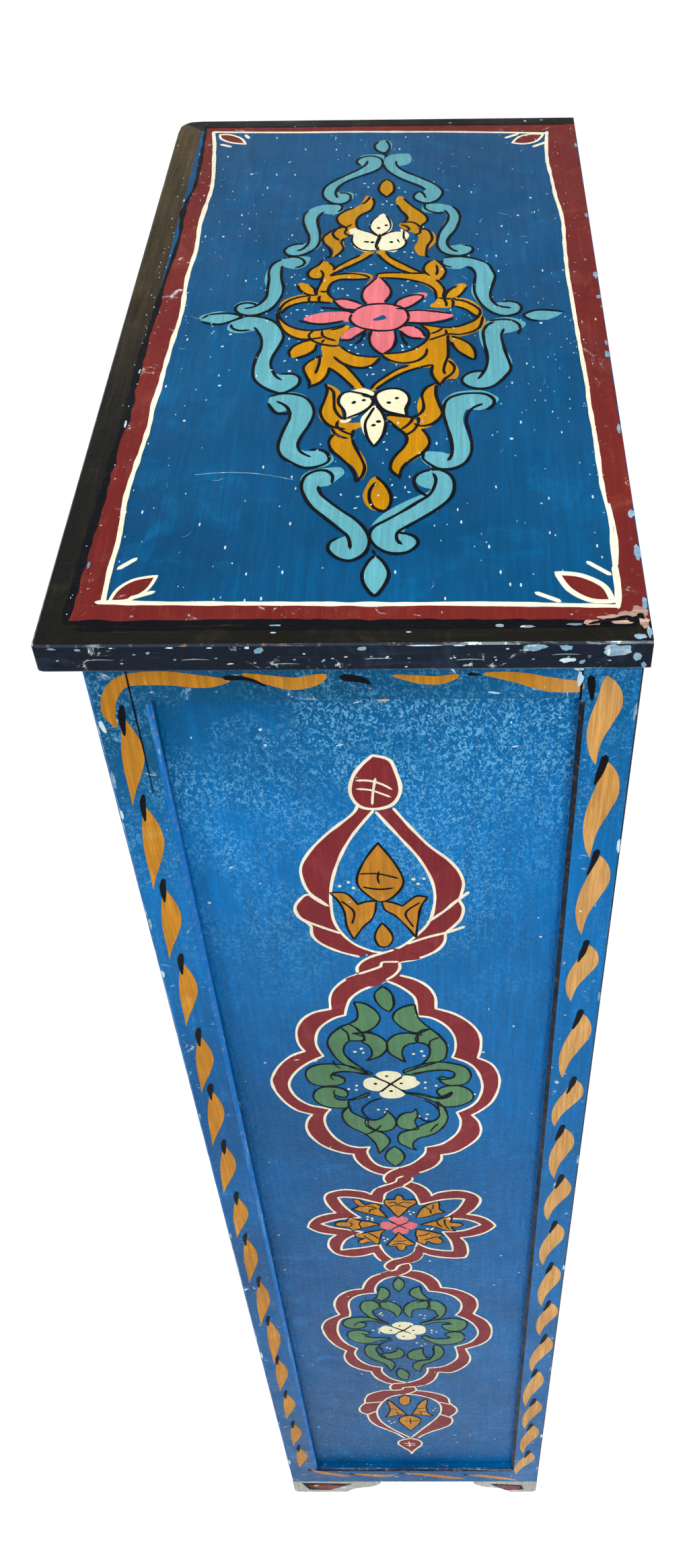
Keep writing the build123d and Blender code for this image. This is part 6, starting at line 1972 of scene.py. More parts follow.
ochreShapes = (
    [
        (11, 1312.6, 1), (3, 1298), (-3.5, 1280), (-3.5, 1268), (3, 1257), (10.5, 1250.7), (19, 1256),
        (26, 1269), (25, 1281), (18.5, 1298),
    ],
    [
        (-23, 1261, 1), (-14, 1261), (-9, 1256), (-5, 1248, 1), (1, 1251), (7.5, 1251.5, 1), (6.5, 1240),
        (3, 1230), (-2.5, 1222.5), (-9.5, 1208, 1), (-13.5, 1222.5), (-14.5, 1240), (-18, 1252),
    ],
    [
        (42, 1255.5, 1), (35, 1257), (30, 1252), (25, 1246, 1), (18, 1250), (11.5, 1251.5, 1), (13, 1242),
        (20, 1235), (27.5, 1222.5), (33.5, 1210, 1), (35, 1227.5), (37.5, 1245),
    ],
    [(10.7, 1227, 1), (16, 1217), (17.4, 1208), (13.8, 1199.7), (7.9, 1199.7), (5, 1209), (6.7, 1218.6)],
    [
        (3.3, 325, 1), (8.8, 320), (9.5, 310), (7.5, 297.5), (2.5, 292), (-2, 296.3), (-3.8, 305),
        (-2.5, 317.5),
    ],
    [
        (-17.5, 310, 1), (-12.5, 302.5), (-7.5, 290), (-2.5, 277.5), (4.5, 258, 1), (-1.3, 262.5),
        (-5, 260), (-12.5, 256.3), (-21.3, 252.5, 1), (-17.5, 262.5), (-15, 275), (-15.5, 290), (-17, 300),
    ],
    [
        (28.8, 315, 1), (22.5, 305), (17.5, 292.5), (15, 280), (12.5, 270), (10, 257.5, 1), (15, 262.5),
        (20, 260), (27.5, 258), (35, 257, 1), (30, 265), (27.5, 277.5), (27.5, 295), (28.8, 305),
    ],
    [
        (6.8, 257.5), (15, 253.8), (20, 245), (18.8, 232.5), (13.8, 220), (7.5, 205, 1), (2.5, 217.5),
        (-3.8, 232.5), (-5.5, 245), (-1.3, 253.8),
    ],
)
ochreLines = (
    [(-2.5, 1281), (10, 1281), (23.5, 1276)],
    [(-1, 1267), (10, 1264.5), (20, 1266)],
    [(10.5, 1284), (9.5, 1276), (10.5, 1270)],
    [(-16, 1252), (-8, 1240), (-10, 1226)],
    [(37, 1250), (27, 1238), (32, 1222)],
    [(-15, 281), (-9, 279), (-5, 276)],
    [(-9, 273), (-6, 266), (-6, 261)],
    [(16, 281), (21, 282), (26, 284)],
    [(17, 271), (22, 272), (28, 271)],
    [(20, 271), (21, 266), (22, 261)],
    [(0, 240), (8.8, 238.8), (18.8, 242.5)],
    [(7, 248), (8, 240), (8, 230)],
)
chainDots = [
    (-16, 1268), (-10, 1272), (-7, 1266), (33, 1275), (40, 1275.5), (36, 1270), (-11.2, 1065.8),
    (-16.3, 1061.5), (-10, 1060), (34.8, 1061.8), (28.6, 1058), (36.6, 1055.3), (-24, 1005.8),
    (-17.5, 1011), (-18, 1004.5), (37, 1015.5), (37, 1007), (45.5, 1010.5), (76, 997), (-1.8, 973),
    (5, 973.8), (4, 968.8), (31, 961.8), (38, 965), (37, 958), (19, 789.5), (23, 787.5), (20, 783.8),
    (-19, 778.8), (-15, 776), (-19.5, 773.8), (-15, 772), (35, 753.8), (38.8, 752.5), (40, 755), (-6, 735),
    (-2.5, 732.5), (-5, 728.8), (-15, 560), (-13.8, 554), (-16.5, 556.5), (25, 555), (30, 552.5),
    (28.8, 546), (-25, 514), (-18.8, 517.5), (-18.5, 512), (-19, 507.5), (36, 514), (41, 510), (36, 507.5),
    (20, 480), (28.8, 477), (25, 472.5), (-12, 467), (-9, 464), (28, 436), (-17.5, 238.8), (-11.3, 235.5),
    (-15, 231.3), (37.5, 282.5), (35, 275),
]
budHead = [
    (11, 1395, 1), (21, 1391), (25, 1378), (27, 1366), (25, 1356), (20, 1349), (11, 1346), (2, 1348),
    (-3, 1356), (-4, 1366), (-1, 1378), (5, 1388),
]
budFoot = [
    (5.5, 178), (-6.3, 170), (-8.8, 160), (-5, 150), (1.3, 138.8), (5.5, 130), (6.8, 121.3, 1), (8.8, 130),
    (13.8, 142.5), (18.8, 152.5), (20, 162.5), (17.5, 170), (12.5, 175),
]
budLines = (
    [(-0.5, 1372.6), (8, 1372.5), (16, 1369), (22, 1364)],
    [(-0.5, 1365), (8, 1364), (16, 1360), (21, 1357)],
    [(12, 1375), (10, 1362), (9, 1350)],
    [(-3, 161.3), (5, 160), (13, 160.8)],
    [(0, 154), (6, 153.5), (13, 154.5)],
    [(4, 167), (5, 158), (5, 148)],
)

starCross = ([(1, 769), (9, 761), (16, 754)], [(18, 768), (10, 761), (3, 754)])
flowerSeeds = [
    (6.8, 1025.5), (-2.5, 1013.8), (18, 1014.3), (9.5, 1002.5), (3, 526), (-6.5, 514), (17, 514),
    (6.5, 498),
]


def sideCoat(side, sign):
    coat = Coat(f"sidePaint_{side}", "carcass", "painted_side_panel", onSide(sign, faces["sidePanel"]))
    ink, edge, bolder = (chainLook[k] for k in ("ink", "edge", "bolder"))
    for outer, inner in bands:
        band(coat, outer, inner)
    star = smooth(starOuter[0]) + smooth(starOuter[1])[::-1]
    coat.fill("maroonSide", "ground", star, smooth(starInner, True))
    coat.strokes("cream", "middle", starOuter, edge, uneven=0.35)
    coat.stroke("cream", "middle", starInner, edge, closed=True, uneven=0.35)
    for under, *edges in crossings:
        coat.patches("maroonSide", "high", under)
        coat.strokes("cream", "stroke", edges, edge, uneven=0.35)
    coat.strokes("cream", "high", lobeEdges, bolder, uneven=0.35)
    for bud in (budHead, budFoot):
        coat.patches("maroonSide", "high", bud)
        coat.stroke("cream", "stroke", bud, bolder, closed=True, uneven=0.35)
    coat.strokes("cream", "stroke", budLines, chainLook["bar"])
    coat.leaves("green", "low", upperGreens + lowerGreens, ink)
    coat.strokes("ink", "stroke", greenLines, ink, uneven=0.5)
    for petals in flowers:
        coat.patches("white", "middle", *petals)
    coat.strokes("ink", "stroke", flowerInk, chainLook["flowerInk"], uneven=0.5)
    coat.dots("ink", "stroke", flowerSeeds, chainLook["seed"])
    coat.leaves("ochre", "middle", ochreShapes + fans, ink)
    coat.strokes("ink", "stroke", ochreLines + fanLines, ink, uneven=0.5)
    coat.patches("pink", "high", *starPink)
    coat.strokes("ink", "stroke", starCross, ink)
    coat.dots("white", "high", chainDots, chainLook["dot"])
    coat.done()


sideCoat("right", 1)
sideCoat("left", -1)


# gold garlands on the stiles and rails of the side walls
garlandLook = {
    "leaf": "ochre",
    "touch": "ink",
    "frontLeaves": 0.92,  # how full they are
    "backLeaves": 1.05,
    "scale": 0.98455,  # they are set out a little large on the panel's plane,
    "drawnAbout": (46.3, 2021.6),  # and brought to size about this point
    "laidAbout": (55.3, 2021.6),
}
leafBulgingOut = (
    (0, 0, 1), (0.1, 4.5), (0.25, 9), (0.42, 10.5), (0.62, 7.5), (0.82, 3), (1, 0, 1), (0.8, -1.5),
    (0.55, -3.6), (0.3, -4), (0.1, -2.6),
)
leafCurling = (
    (0, 0, 1), (0.06, 5), (0.18, 9.5), (0.34, 10.5), (0.52, 6.5), (0.74, 1.5), (1, 0, 1), (0.88, -4),
    (0.68, -7), (0.46, -6.5), (0.25, -3.5), (0.08, -2),
)
touches = {  # dark strokes at a leaf's foot: places from it, and the brush's widths
    "slim": (((0.5, 12), (-1.5, 2), (-2.5, -14)), (2.4, 4.2, 1.2)),
    "full": (((-0.5, 5), (-2, -6), (-5.5, -22)), (4.2, 4.6, 1.2)),
    "lying": (((-3, 3), (6, 1), (18, -4)), (3.4, 3.8, 1.0)),
}


def between(start, end, template, size, way=1):
    # a leaf laid along the line from one point to another; way -1 turns it over
    dx, dy = end[0] - start[0], end[1] - start[1]
    length = math.hypot(dx, dy)
    ax, ay = dx / length, dy / length
    out = []
    for along, bulge, *sharp in template:
        bulge *= way
        x = start[0] + along * dx - bulge * size * ay
        out.append((x, start[1] + along * dy + bulge * size * ax, *sharp))
    return out


def touch(coat, x, z, kind, way=1):
    places, widths = touches[kind]
    points = [(x + way * dx, z + dz) for dx, dz in places]
    coat.stroke(garlandLook["touch"], "stroke", points, widths, uneven=0.4)


sideLeavesFront = (
    ((-141, 1427), (-149, 1350)),
    ((-141, 1349), (-149, 1265)),
    ((-141, 1265), (-150, 1185)),
    ((-141, 1180), (-150, 1098)),
    ((-141, 1084), (-151, 1000)),
    ((-142, 1003), (-153, 912)),
    ((-142, 912), (-154, 825)),
    ((-142, 817), (-152, 735)),
    ((-143, 733), (-151, 632)),
    ((-140, 637), (-150, 527)),
    ((-140, 540), (-146, 420)),
    ((-140, 432), (-147, 335)),
    ((-140, 328), (-147, 245)),
    ((-140, 228), (-147, 150)),
    ((-140, 142), (-146, 66)),
)
sideLeavesBack = (
    ((137, 1460), (136, 1385)),
    ((142, 1389), (138.5, 1296)),
    ((143.5, 1300), (138.5, 1212)),
    ((143.5, 1201), (136, 1130)),
    ((145, 1114), (136, 1021)),
    ((146, 1019), (133.5, 944)),
    ((141, 942), (138, 852)),
    ((145, 855), (136, 770)),
    ((144, 765), (136, 674)),
    ((145, 675), (139, 576)),
    ((147, 585), (140.5, 500)),
    ((147.5, 497.5), (136, 397)),
    ((141.5, 399), (133.5, 287.5)),
    ((143.5, 309), (135, 212.5)),
    ((143, 225), (136, 122.5)),
    ((143.5, 127.5), (130, 40)),
)
railLeaves = (  # spine, widths
    (
        [(-147, 1420), (-149.5, 1433), (-146, 1447), (-136, 1458), (-114, 1460), (-91, 1457), (-76, 1458)],
        (2, 8, 9, 9, 11, 10, 2),
    ),
    ([(-69, 1463), (-54, 1458), (-40, 1455), (-28, 1458), (-21, 1462)], (2, 8, 10, 8, 3)),
    ([(16, 1461), (30, 1458), (42, 1457), (54, 1461)], (2, 6, 7, 3)),
    ([(67, 1462), (86, 1459), (106, 1453), (125, 1451)], (2, 8, 11, 9)),
    ([(-133, 57), (-118, 48), (-100, 39), (-84, 33)], (2, 8, 9, 2)),
    ([(-79, 43), (-60, 38), (-42, 35), (-24, 38)], (2, 8, 9, 2)),
    ([(-14, 46), (12, 40), (40, 30), (66, 23)], (2, 9, 9, 2)),
    ([(66, 38), (88, 34), (112, 25), (133, 17)], (2, 9, 9, 2)),
)
railTouches = (
    ([(-80, 1460), (-66, 1459), (-56, 1453)], (3, 3, 1)),
    ([(-14, 1460), (-2, 1458), (4, 1454)], (5, 5, 1)),
    ([(58, 1462), (66, 1461)], (3, 1)),
    ([(128, 1460), (129, 1452), (130, 1440)], (5, 5, 2)),
    ([(-136, 60), (-130, 52)], (3, 1)),
    ([(-84, 44), (-76, 38)], (3, 1)),
    ([(-20, 46), (-12, 42)], (3, 1)),
    ([(62, 40), (70, 35)], (3, 1)),
)


def garland(side, sign):
    def place(u, z, height):
        scale = garlandLook["scale"]
        (drawnU, drawnZ), (laidU, laidZ) = garlandLook["drawnAbout"], garlandLook["laidAbout"]
        y, up = laidU + (u - drawnU) * scale, laidZ + (z - drawnZ) * scale
        return Vector((sign * (faces["side"] + height), y, up)) * mm

    coat = Coat(f"garland_{side}", "carcass", "painted_frame", place)
    leaf, dark = garlandLook["leaf"], garlandLook["touch"]
    for start, end in sideLeavesFront:
        coat.patches(leaf, "low", between(start, end, leafBulgingOut, garlandLook["frontLeaves"]))
        touch(coat, *start, "slim")
    for i, (start, end) in enumerate(sideLeavesBack):
        coat.patches(leaf, "low", between(start, end, leafCurling, garlandLook["backLeaves"]))
        if i > 0:  # the first leaf's touch is one of the rail's
            touch(coat, *start, "full")
    for spine, widths in railLeaves:
        coat.stroke(leaf, "low", spine, widths, ends=0.6)
    for spine, widths in railTouches:
        coat.stroke(dark, "stroke", spine, widths, uneven=0.4)
    coat.done()


garland("right", 1)
garland("left", -1)

# the same garland on the front posts, rails and doors
frontGarland = {
    "postMiddle": 286,  # mm
    "post": (1440, 96),  # where the leaves start and end
    "rails": (1469, 64),
    "railEnds": (-250, 250),
    "hingeStile": 239.5,
    "meetingStile": 24.5,
    "hingeLeaves": (1430, 104),
    "meetingLeaves": ((1430, 912), (734, 104)),  # above and below the ring and the turn button
    "doorRails": (118, 420.5, 1203, 1421),
    "doorRailEnds": (52, 211),
}


def leavesDown(coat, x, top, bottom, lean, size=1.0, pitch=88):
    # a run of leaves down a stile, each starting beside the last one's tip
    count = round((top - bottom) / pitch)
    step = (top - bottom) / count
    for i in range(count):
        z = top - i * step
        shift = 1.2 * noise.noise(Vector((x, z, 4)) * 0.05)
        start, end = (x + lean * 4 + shift, z), (x - lean * 4 + shift, z - step * 1.04)
        coat.patches(garlandLook["leaf"], "low", between(start, end, leafCurling, size, lean))
        touch(coat, start[0], z, "full", lean)


def leavesAcross(coat, left, right, z, size, pitch):
    # leaves that run out both ways from a small flower
    middle = (left + right) / 2
    count = max(1, round((right - left) / 2 / pitch))
    step = ((right - left) / 2 - 12) / count
    for way in (-1, 1):
        for i in range(count):
            start = (middle + way * (14 + i * step), z + 2)
            end = (middle + way * (14 + (i + 0.94) * step), z - 2)
            coat.patches(garlandLook["leaf"], "low", between(start, end, leafCurling, size, way))
            touch(coat, start[0], z, "lying", way)
    for k in range(4):  # petals
        angle = math.radians(90 * k)
        petal = []
        for a in range(8):
            x = middle + 8 * math.cos(angle) + 5.6 * math.cos(a * 0.7854)
            petal.append((x, z + 8 * math.sin(angle) + 5.6 * math.sin(a * 0.7854)))
        coat.patches("pink", "middle", petal)
    for bend in (-1, 1):
        cross = [(middle - 9, z - 9 * bend), (middle, z), (middle + 9, z + 9 * bend)]
        coat.stroke("ink", "stroke", cross, 1.6, uneven=0.4)


frontPaint = frontCoat("frontGarland", "carcass")
for sign in (-1, 1):
    leavesDown(frontPaint, sign * frontGarland["postMiddle"], *frontGarland["post"], sign)
for z in frontGarland["rails"]:
    leavesAcross(frontPaint, *frontGarland["railEnds"], z, 0.9, 80)
frontPaint.done()
for side, sign in sides:
    coat = frontCoat(f"doorGarland_{side}", f"door_{side}")
    leavesDown(coat, sign * frontGarland["hingeStile"], *frontGarland["hingeLeaves"], sign)
    for ends in frontGarland["meetingLeaves"]:
        leavesDown(coat, sign * frontGarland["meetingStile"], *ends, -sign, 0.9)
    for z in frontGarland["doorRails"]:
        leavesAcross(coat, *sorted(sign * x for x in frontGarland["doorRailEnds"]), z, 0.8, 78)
    coat.done()

# cream lines round the sunk fields of the carved panels
panelLook = {  # mm
    "starReach": (77.2, 59.4),  # the star's points and its hollows
    "starLine": 2.2,
    "archLine": 2.4,
    "archReach": 84.0,
    "archShift": -13,  # from the door's middle to the middle of the half arch
    "archSpring": 1089.2,
    "archHead": 1172.6,
    "archFoot": (66.8, 451.4),
}
curlWidths = (2, 5, 6.5, 5.5, 4, 2.4)


def starLine(middle):
    # sixteen corners, far and near in turn
    out = []
    for k in range(16):
        angle = math.radians(22.5 * k)
        reach = panelLook["starReach"][k % 2]
        out.append((reach * math.cos(angle), middle + reach * math.sin(angle), 1))
    return out


def archLine():
    reach, shift, spring = (panelLook[k] for k in ("archReach", "archShift", "archSpring"))
    half = []
    for degrees in range(-18, 82, 9):
        angle = math.radians(degrees)
        half.append((shift + reach * math.cos(angle), spring + reach * math.sin(angle)))
    footX, footZ = panelLook["archFoot"]
    head = (0, panelLook["archHead"], 1)
    return [(-footX, footZ, 1), (footX, footZ, 1), *half, head, *[(-x, z) for x, z in half[::-1]]]


for side, sign in sides:
    coat = frontCoat(f"panelLines_{side}", f"door_{side}", faces["doorPanel"], "carved_panel")
    doorMiddle = sign * faces["doorMiddle"]
    for part in ("lower", "upper"):
        star = [(doorMiddle + x, *rest) for x, *rest in starLine(panelMiddles[part][0])]
        coat.stroke("cream", "middle", star, panelLook["starLine"], closed=True, steps=3, uneven=0.3)
    arch = [(doorMiddle + x, *rest) for x, *rest in archLine()]
    coat.stroke("cream", "middle", arch, panelLook["archLine"], closed=True, uneven=0.3)
    for corner in (1, -1):
        curl = [(corner * x, z) for x, z in ((34, 1168), (52, 1160), (66, 1146), (72, 1128), (66, 1118),
          (60, 1124))]
        gold = [(doorMiddle + x, z) for x, z in curl]
        dark = [(doorMiddle + x + corner * 2, z + 1.5) for x, z in curl[1:5]]
        coat.stroke("ochre", "middle", gold, curlWidths, uneven=0.3)
        coat.stroke("ink", "stroke", dark, 1.2, uneven=0.4)
    coat.done()


# wear: flakes, scratches and cracks, each a thin patch where the paint has gone
wearLook = {  # how many of the small ones
    "lipFlecks": 15,
    "lipScratches": 6,
    "topFlecks": 340,
    "topHairs": 40,
    "panelFlecks": 60,
}


def ragged(x, y, halfLong, halfHigh, seed, tilt=0.0):
    # the broken outline of a flake
    out = []
    ca, sa = math.cos(tilt), math.sin(tilt)
    for k in range(26):
        angle = k * math.tau / 26
        rough = 1 + 0.42 * noise.noise(Vector((math.cos(angle) * 1.7, math.sin(angle) * 1.7, seed)))
        rough += 0.2 * noise.noise(Vector((k * 0.9, seed, 5)))
        px, py = halfLong * rough * math.cos(angle), halfHigh * rough * math.sin(angle)
        out.append((x + px * ca - py * sa, y + px * sa + py * ca))
    return out


def flakes(coat, level, marks, pace, first=0.0):
    # each mark has its middle, half its length and height, its finish, and a tilt if it has one
    for i, (x, y, long, high, finish, *tilt) in enumerate(marks):
        coat.fill(finish, level, ragged(x, y, long, high, i * pace + first, *tilt))


def lip(sign):
    # on the end of the lipping, and round its worn corner on the left
    def place(y, z, height):
        past = wornCorner["y"] - y
        drawn = 0.0
        if sign < 0 and past > 0:
            drawn = wornCorner["radius"] - math.sqrt(max(wornCorner["radius"] ** 2 - past ** 2, 0.0))
        return Vector((sign * (faces["end"] - drawn + height), min(y, faces["back"]), z)) * mm

    return place


edgeFlakes = (  # y, z, half length, half height, finish, tilt
    (11, 1506.4, 5, 2.6, "flake", 0.1), (44, 1508.4, 15, 0.7, "fleckWhite", 0.0),
    (62, 1508.2, 6, 0.8, "fleckWhite", 0.0), (102, 1506.2, 9, 3.0, "paleBlue", 0.1),
    (119, 1506.2, 4.5, 2.4, "paleBlue", -0.2), (146, 1504.0, 11, 5.2, "paleBlue", 0.05),
    (120, 1497.0, 5.5, 2.2, "fleckWhite", 0.1), (128, 1495.8, 2.5, 1.6, "paleBlue", 0.4),
    (-44, 1505.5, 5.5, 3.4, "paleBlue", 0.5), (-50, 1507.6, 2.6, 1.6, "fleckWhite", 0.0),
    (-91, 1507.8, 3.6, 0.9, "fleckWhite", 0.0), (-103, 1504.2, 2.2, 1.6, "paleBlue", 0.6),
    (-140, 1506.6, 3.0, 1.8, "paleBlue", 0.0), (-154, 1507.4, 5.0, 1.2, "paleBlue", 0.0),
    (-122, 1507.8, 2.0, 0.7, "fleckWhite", 0.0), (-70, 1507.6, 3.0, 0.7, "fleckWhite", 0.0),
    (24, 1500, 2.2, 1.2, "fleckWhite", 0.4), (66, 1493.8, 3.0, 1.3, "paleBlue", 0.2),
    (60, 1499.5, 1.4, 0.8, "fleckWhite", 0.0), (82, 1497.5, 1.2, 0.7, "fleckWhite", 0.7),
    (-20, 1503, 1.4, 1.0, "fleckWhite", 0.0), (-10, 1498, 2.4, 1.4, "paleBlue", 0.9),
    (-3, 1494.5, 2.6, 1.6, "paleBlue", 0.3), (2, 1500.5, 1.8, 1.0, "fleckWhite", 0.2),
    (88, 1505.6, 1.6, 1.0, "fleckWhite", 0.1), (157, 1499.4, 3.0, 3.6, "paleBlue", 0.2),
    (161, 1493.4, 1.8, 2.6, "paleBlue", 0.2), (-60, 1496, 3.4, 0.8, "fleckWhite", 0.15),
    (-118, 1496.6, 1.4, 0.8, "fleckWhite", 0.0), (34, 1493, 1.6, 0.7, "fleckWhite", 0.0),
)


def lipWear(side, sign):
    coat = Coat(f"lipWear_{side}", "carcass", "painted_lipping", lip(sign))
    sized = []
    for y, z, long, high, finish, tilt in edgeFlakes:
        shrink = 0.75 if y > 94 else 0.5
        sized.append((y, z, long * shrink, high * shrink, finish, tilt))
    flakes(coat, "low", sized, 1.37, sign)
    for i in range(wearLook["lipFlecks"]):
        y = -152 + 21.0 * i + 5 * noise.noise(Vector((i * 1.7, sign, 0)))
        z = 1499 + 9 * noise.noise(Vector((i * 2.3, sign, 4)))
        tilt = 0.8 * noise.noise(Vector((i, 1, 1)))
        coat.fill("paleBlue", "middle", ragged(y, z, 0.8, 0.4, i + 0.3, tilt))
    for i in range(wearLook["lipScratches"]):
        y = -130 + 50 * i + 8 * noise.noise(Vector((i * 3.1, sign, 9)))
        z = 1499 + 8 * noise.noise(Vector((i * 1.3, sign, 14)))
        scratch = [(y - 7, z), (y, z + 0.6), (y + 8, z + 0.2)]
        coat.stroke("flake", "low", scratch, (0.25, 0.5, 0.2), steps=3)
    coat.done()


lipWear("right", 1)
lipWear("left", -1)

wear = Coat("topWear", "carcass", "painted_lipping", onTop)
jointFlakes = (  # along the joint between lipping and top, most by one rear corner
    (311.0, 84, 1.2, 2.2, "flake"), (311.8, 99, 0.9, 3.5, "flake"), (310.4, 124, 0.8, 4, "flake"),
    (309.0, 134, 2.0, 5, "scar"), (305.6, 144, 2.6, 7, "scar"), (303.0, 153, 3.4, 5, "scar"),
    (300.5, 160, 5.0, 4, "scar"), (309.0, 161.5, 4.5, 3, "scar"), (309.0, 150, 1.4, 6, "scar"),
    (294, 163, 5.0, 1.4, "paleBlue"), (320, 158, 2.0, 3, "paleBlue"), (317, 163.2, 4, 1.3, "paleBlue"),
    (309.6, -36, 0.5, 3, "paleBlue"),
)
darkFlakes = (
    (308, 140, 1.3, 9, "ink", 0.25), (305.8, 149, 1.6, 6, "ink", 0.25), (306.5, 156, 2.2, 3.6, "ink", 0.25),
    (304, 160, 2.4, 2, "ink", 0.25),
)
frontChips = ((-180, -144.6, 3, 0.6), (60, -144.4, 2.5, 0.6), (120, -144.6, 4, 0.7), (258, -144.6, 3, 0.7))
backChips = (
    (-270, 163.4, 4, 1.0), (-150, 163.4, 3, 1.0), (-60, 163.2, 5, 1.4), (-30, 163.2, 2.4, 1.6),
    (30, 163.6, 3, 0.9), (44, 163.2, 4, 1.4), (130, 163.4, 5, 1.2), (215, 163.0, 4, 1.7),
    (250, 163.2, 7, 1.6),
)
jointCrack = ((311.6, -144), (311.2, -60), (311.8, 20), (311.4, 90), (310.8, 158))
flakes(wear, "stroke", jointFlakes, 2.1, 1)
flakes(wear, "fleck", darkFlakes, 3.3, 1)
for sign in (1, -1):
    wear.stroke("ink", "low", [(sign * x, y) for x, y in jointCrack], 2.6, uneven=0.8)
flakes(wear, "stroke", [(*chip, "paleBlue") for chip in frontChips], 1.7)
flakes(wear, "stroke", [(*chip, "paleBlue") for chip in backChips], 2.7)
for i in range(wearLook["topFlecks"]):
    x = 300 * math.sin(i * 12.9898) * math.cos(i * 3.1)
    y = 150 * math.sin(i * 78.233 + 1)
    long, high = 0.24 + 0.4 * abs(math.sin(i * 5.1)) ** 4, 0.22 + 0.2 * abs(math.sin(i * 2.7)) ** 2
    wear.fill("fleckWhite", "fleck", ragged(x, y, long, high, i * 0.61))
for i in range(wearLook["topHairs"]):
    x = 280 * math.sin(i * 4.898) * math.cos(i * 1.1)
    y = 120 * math.sin(i * 8.233 + 1)
    turn = 3 * math.sin(i * 2.3)
    long = 1.5 + 2.5 * abs(math.sin(i * 1.9))
    dx, dy = long * math.cos(turn), long * math.sin(turn)
    hair = [(x - dx, y - dy), (x + 1, y + 0.8), (x + dx, y + dy)]
    wear.stroke("paleBlue", "fleck", hair, (0.06, 0.14, 0.06), steps=3)
wear.done()

# feet: a black-edged maroon lozenge on white, with a small white painted highlight on the lens
footLook = {"edge": "ink", "lens": "maroonSide", "worn": "white"}
frontFoot = ((-136, 37), (-70, 33), (-92, 18), (-100, 8), (-128, 9))
frontLens = ((-128, 25, 1), (-112, 31), (-94, 28), (-84, 23, 1), (-96, 13), (-116, 14))
rearFoot = ((104, 34), (146, 27), (149, 10), (126, 7), (114, 22))
rearLens = ((112, 29, 1), (128, 26), (144, 22, 1), (142, 12), (126, 12))
faceFoot = ((296, 37), (226, 33), (248, 18), (256, 8), (288, 9))
faceLens = ((288, 25, 1), (272, 31), (254, 28), (240, 23, 1), (256, 13), (276, 14))


def lozenge(coat, outline, lens, sign=1):
    coat.fill(footLook["edge"], "low", [(sign * x, z) for x, z in outline])
    coat.patches(footLook["lens"], "middle", [(sign * x, z, *sharp) for x, z, *sharp in lens])


for side, sign in sides[::-1]:
    coat = Coat(f"footPaint_{side}", "carcass", "painted_foot", onSide(sign, faces["side"]))
    lozenge(coat, frontFoot, frontLens)
    # a painted highlight: a white spot on the lens, kept under the key worn
    coat.fill(footLook["worn"], "high", ragged(-118, 26, 3, 1.8, 4.1 + sign))
    lozenge(coat, rearFoot, rearLens)
    coat.done()
feet = frontCoat("footPaintFront", "carcass", slotName="painted_foot")
for sign in (1, -1):
    lozenge(feet, faceFoot, faceLens, sign)
    # a painted highlight: a white spot on the lens, kept under the key worn
    feet.fill(footLook["worn"], "high", ragged(sign * 278, 26, 3, 1.8, 7.1 + sign))
feet.done()

# cracks and knocks on the side walls
cracks = (  # line, widths, unevenness
    ([(-122.5, 1489), (-122.6, 1450), (-122.4, 1410), (-122.5, 1372)], (1.1, 1.0, 0.8, 0.3), 0.5),
    ([(131.2, 1489), (131, 1470), (131.1, 1449)], (1.2, 1.6, 1.2), 0.6),
)
sideFlakes = (  # y, z, half length, half height, finish, tilt
    (-143, 1430, 1.5, 5, "fleckWhite", 0.2), (-144.6, 1385, 1.2, 7, "paleBlue", 0.0),
    (-145, 1352, 1.0, 4, "fleckWhite", 0.0), (-144.8, 1240, 1.0, 6, "paleBlue", 0.0),
    (-145, 1180, 0.9, 4, "fleckWhite", 0.0), (-145, 980, 1.0, 5, "paleBlue", 0.0),
    (-145, 760, 0.9, 6, "paleBlue", 0.0), (-145, 470, 1.0, 7, "fleckWhite", 0.0),
    (-145, 260, 1.1, 5, "paleBlue", 0.0), (-144.6, 120, 1.2, 8, "fleckWhite", 0.0),
    (128, 1478, 3.2, 6, "fleckWhite", 0.3), (132, 1484, 2.4, 4, "paleBlue", -0.2),
    (130, 1466, 1.6, 6, "fleckWhite", 0.0), (136, 1486, 5, 2, "paleBlue", 0.0),
    (163, 1440, 1.0, 6, "paleBlue", 0.0), (163.4, 1320, 0.9, 8, "fleckWhite", 0.0),
    (163.4, 1150, 0.9, 6, "paleBlue", 0.0), (163.5, 905, 1.0, 7, "paleBlue", 0.0),
    (163.5, 690, 1.0, 5, "fleckWhite", 0.0), (163.4, 430, 1.0, 8, "paleBlue", 0.0),
    (163.2, 215, 1.2, 6, "fleckWhite", 0.0), (163, 95, 1.3, 8, "paleBlue", 0.0),
    (58, 1476, 0.8, 5, "fleckWhite", 0.5), (78, 1482, 0.8, 4, "fleckWhite", -0.3),
    (82, 1456, 3.4, 0.7, "fleckWhite", -0.2), (20, 1450.5, 3.2, 0.9, "scar", 0.1),
    (-70, 1484, 2.2, 0.9, "paleBlue", 0.3), (-20, 1486, 3.6, 0.8, "fleckWhite", 0.3),
    (-40, 68, 1.6, 1.4, "fleckWhite", 0.0), (-14, 62, 2.6, 0.8, "fleckWhite", 0.0),
)
panelDashes = ((4, 1440), (96, 1402), (-8, 1404), (-62, 1050), (-48, 1048), (60, 190))


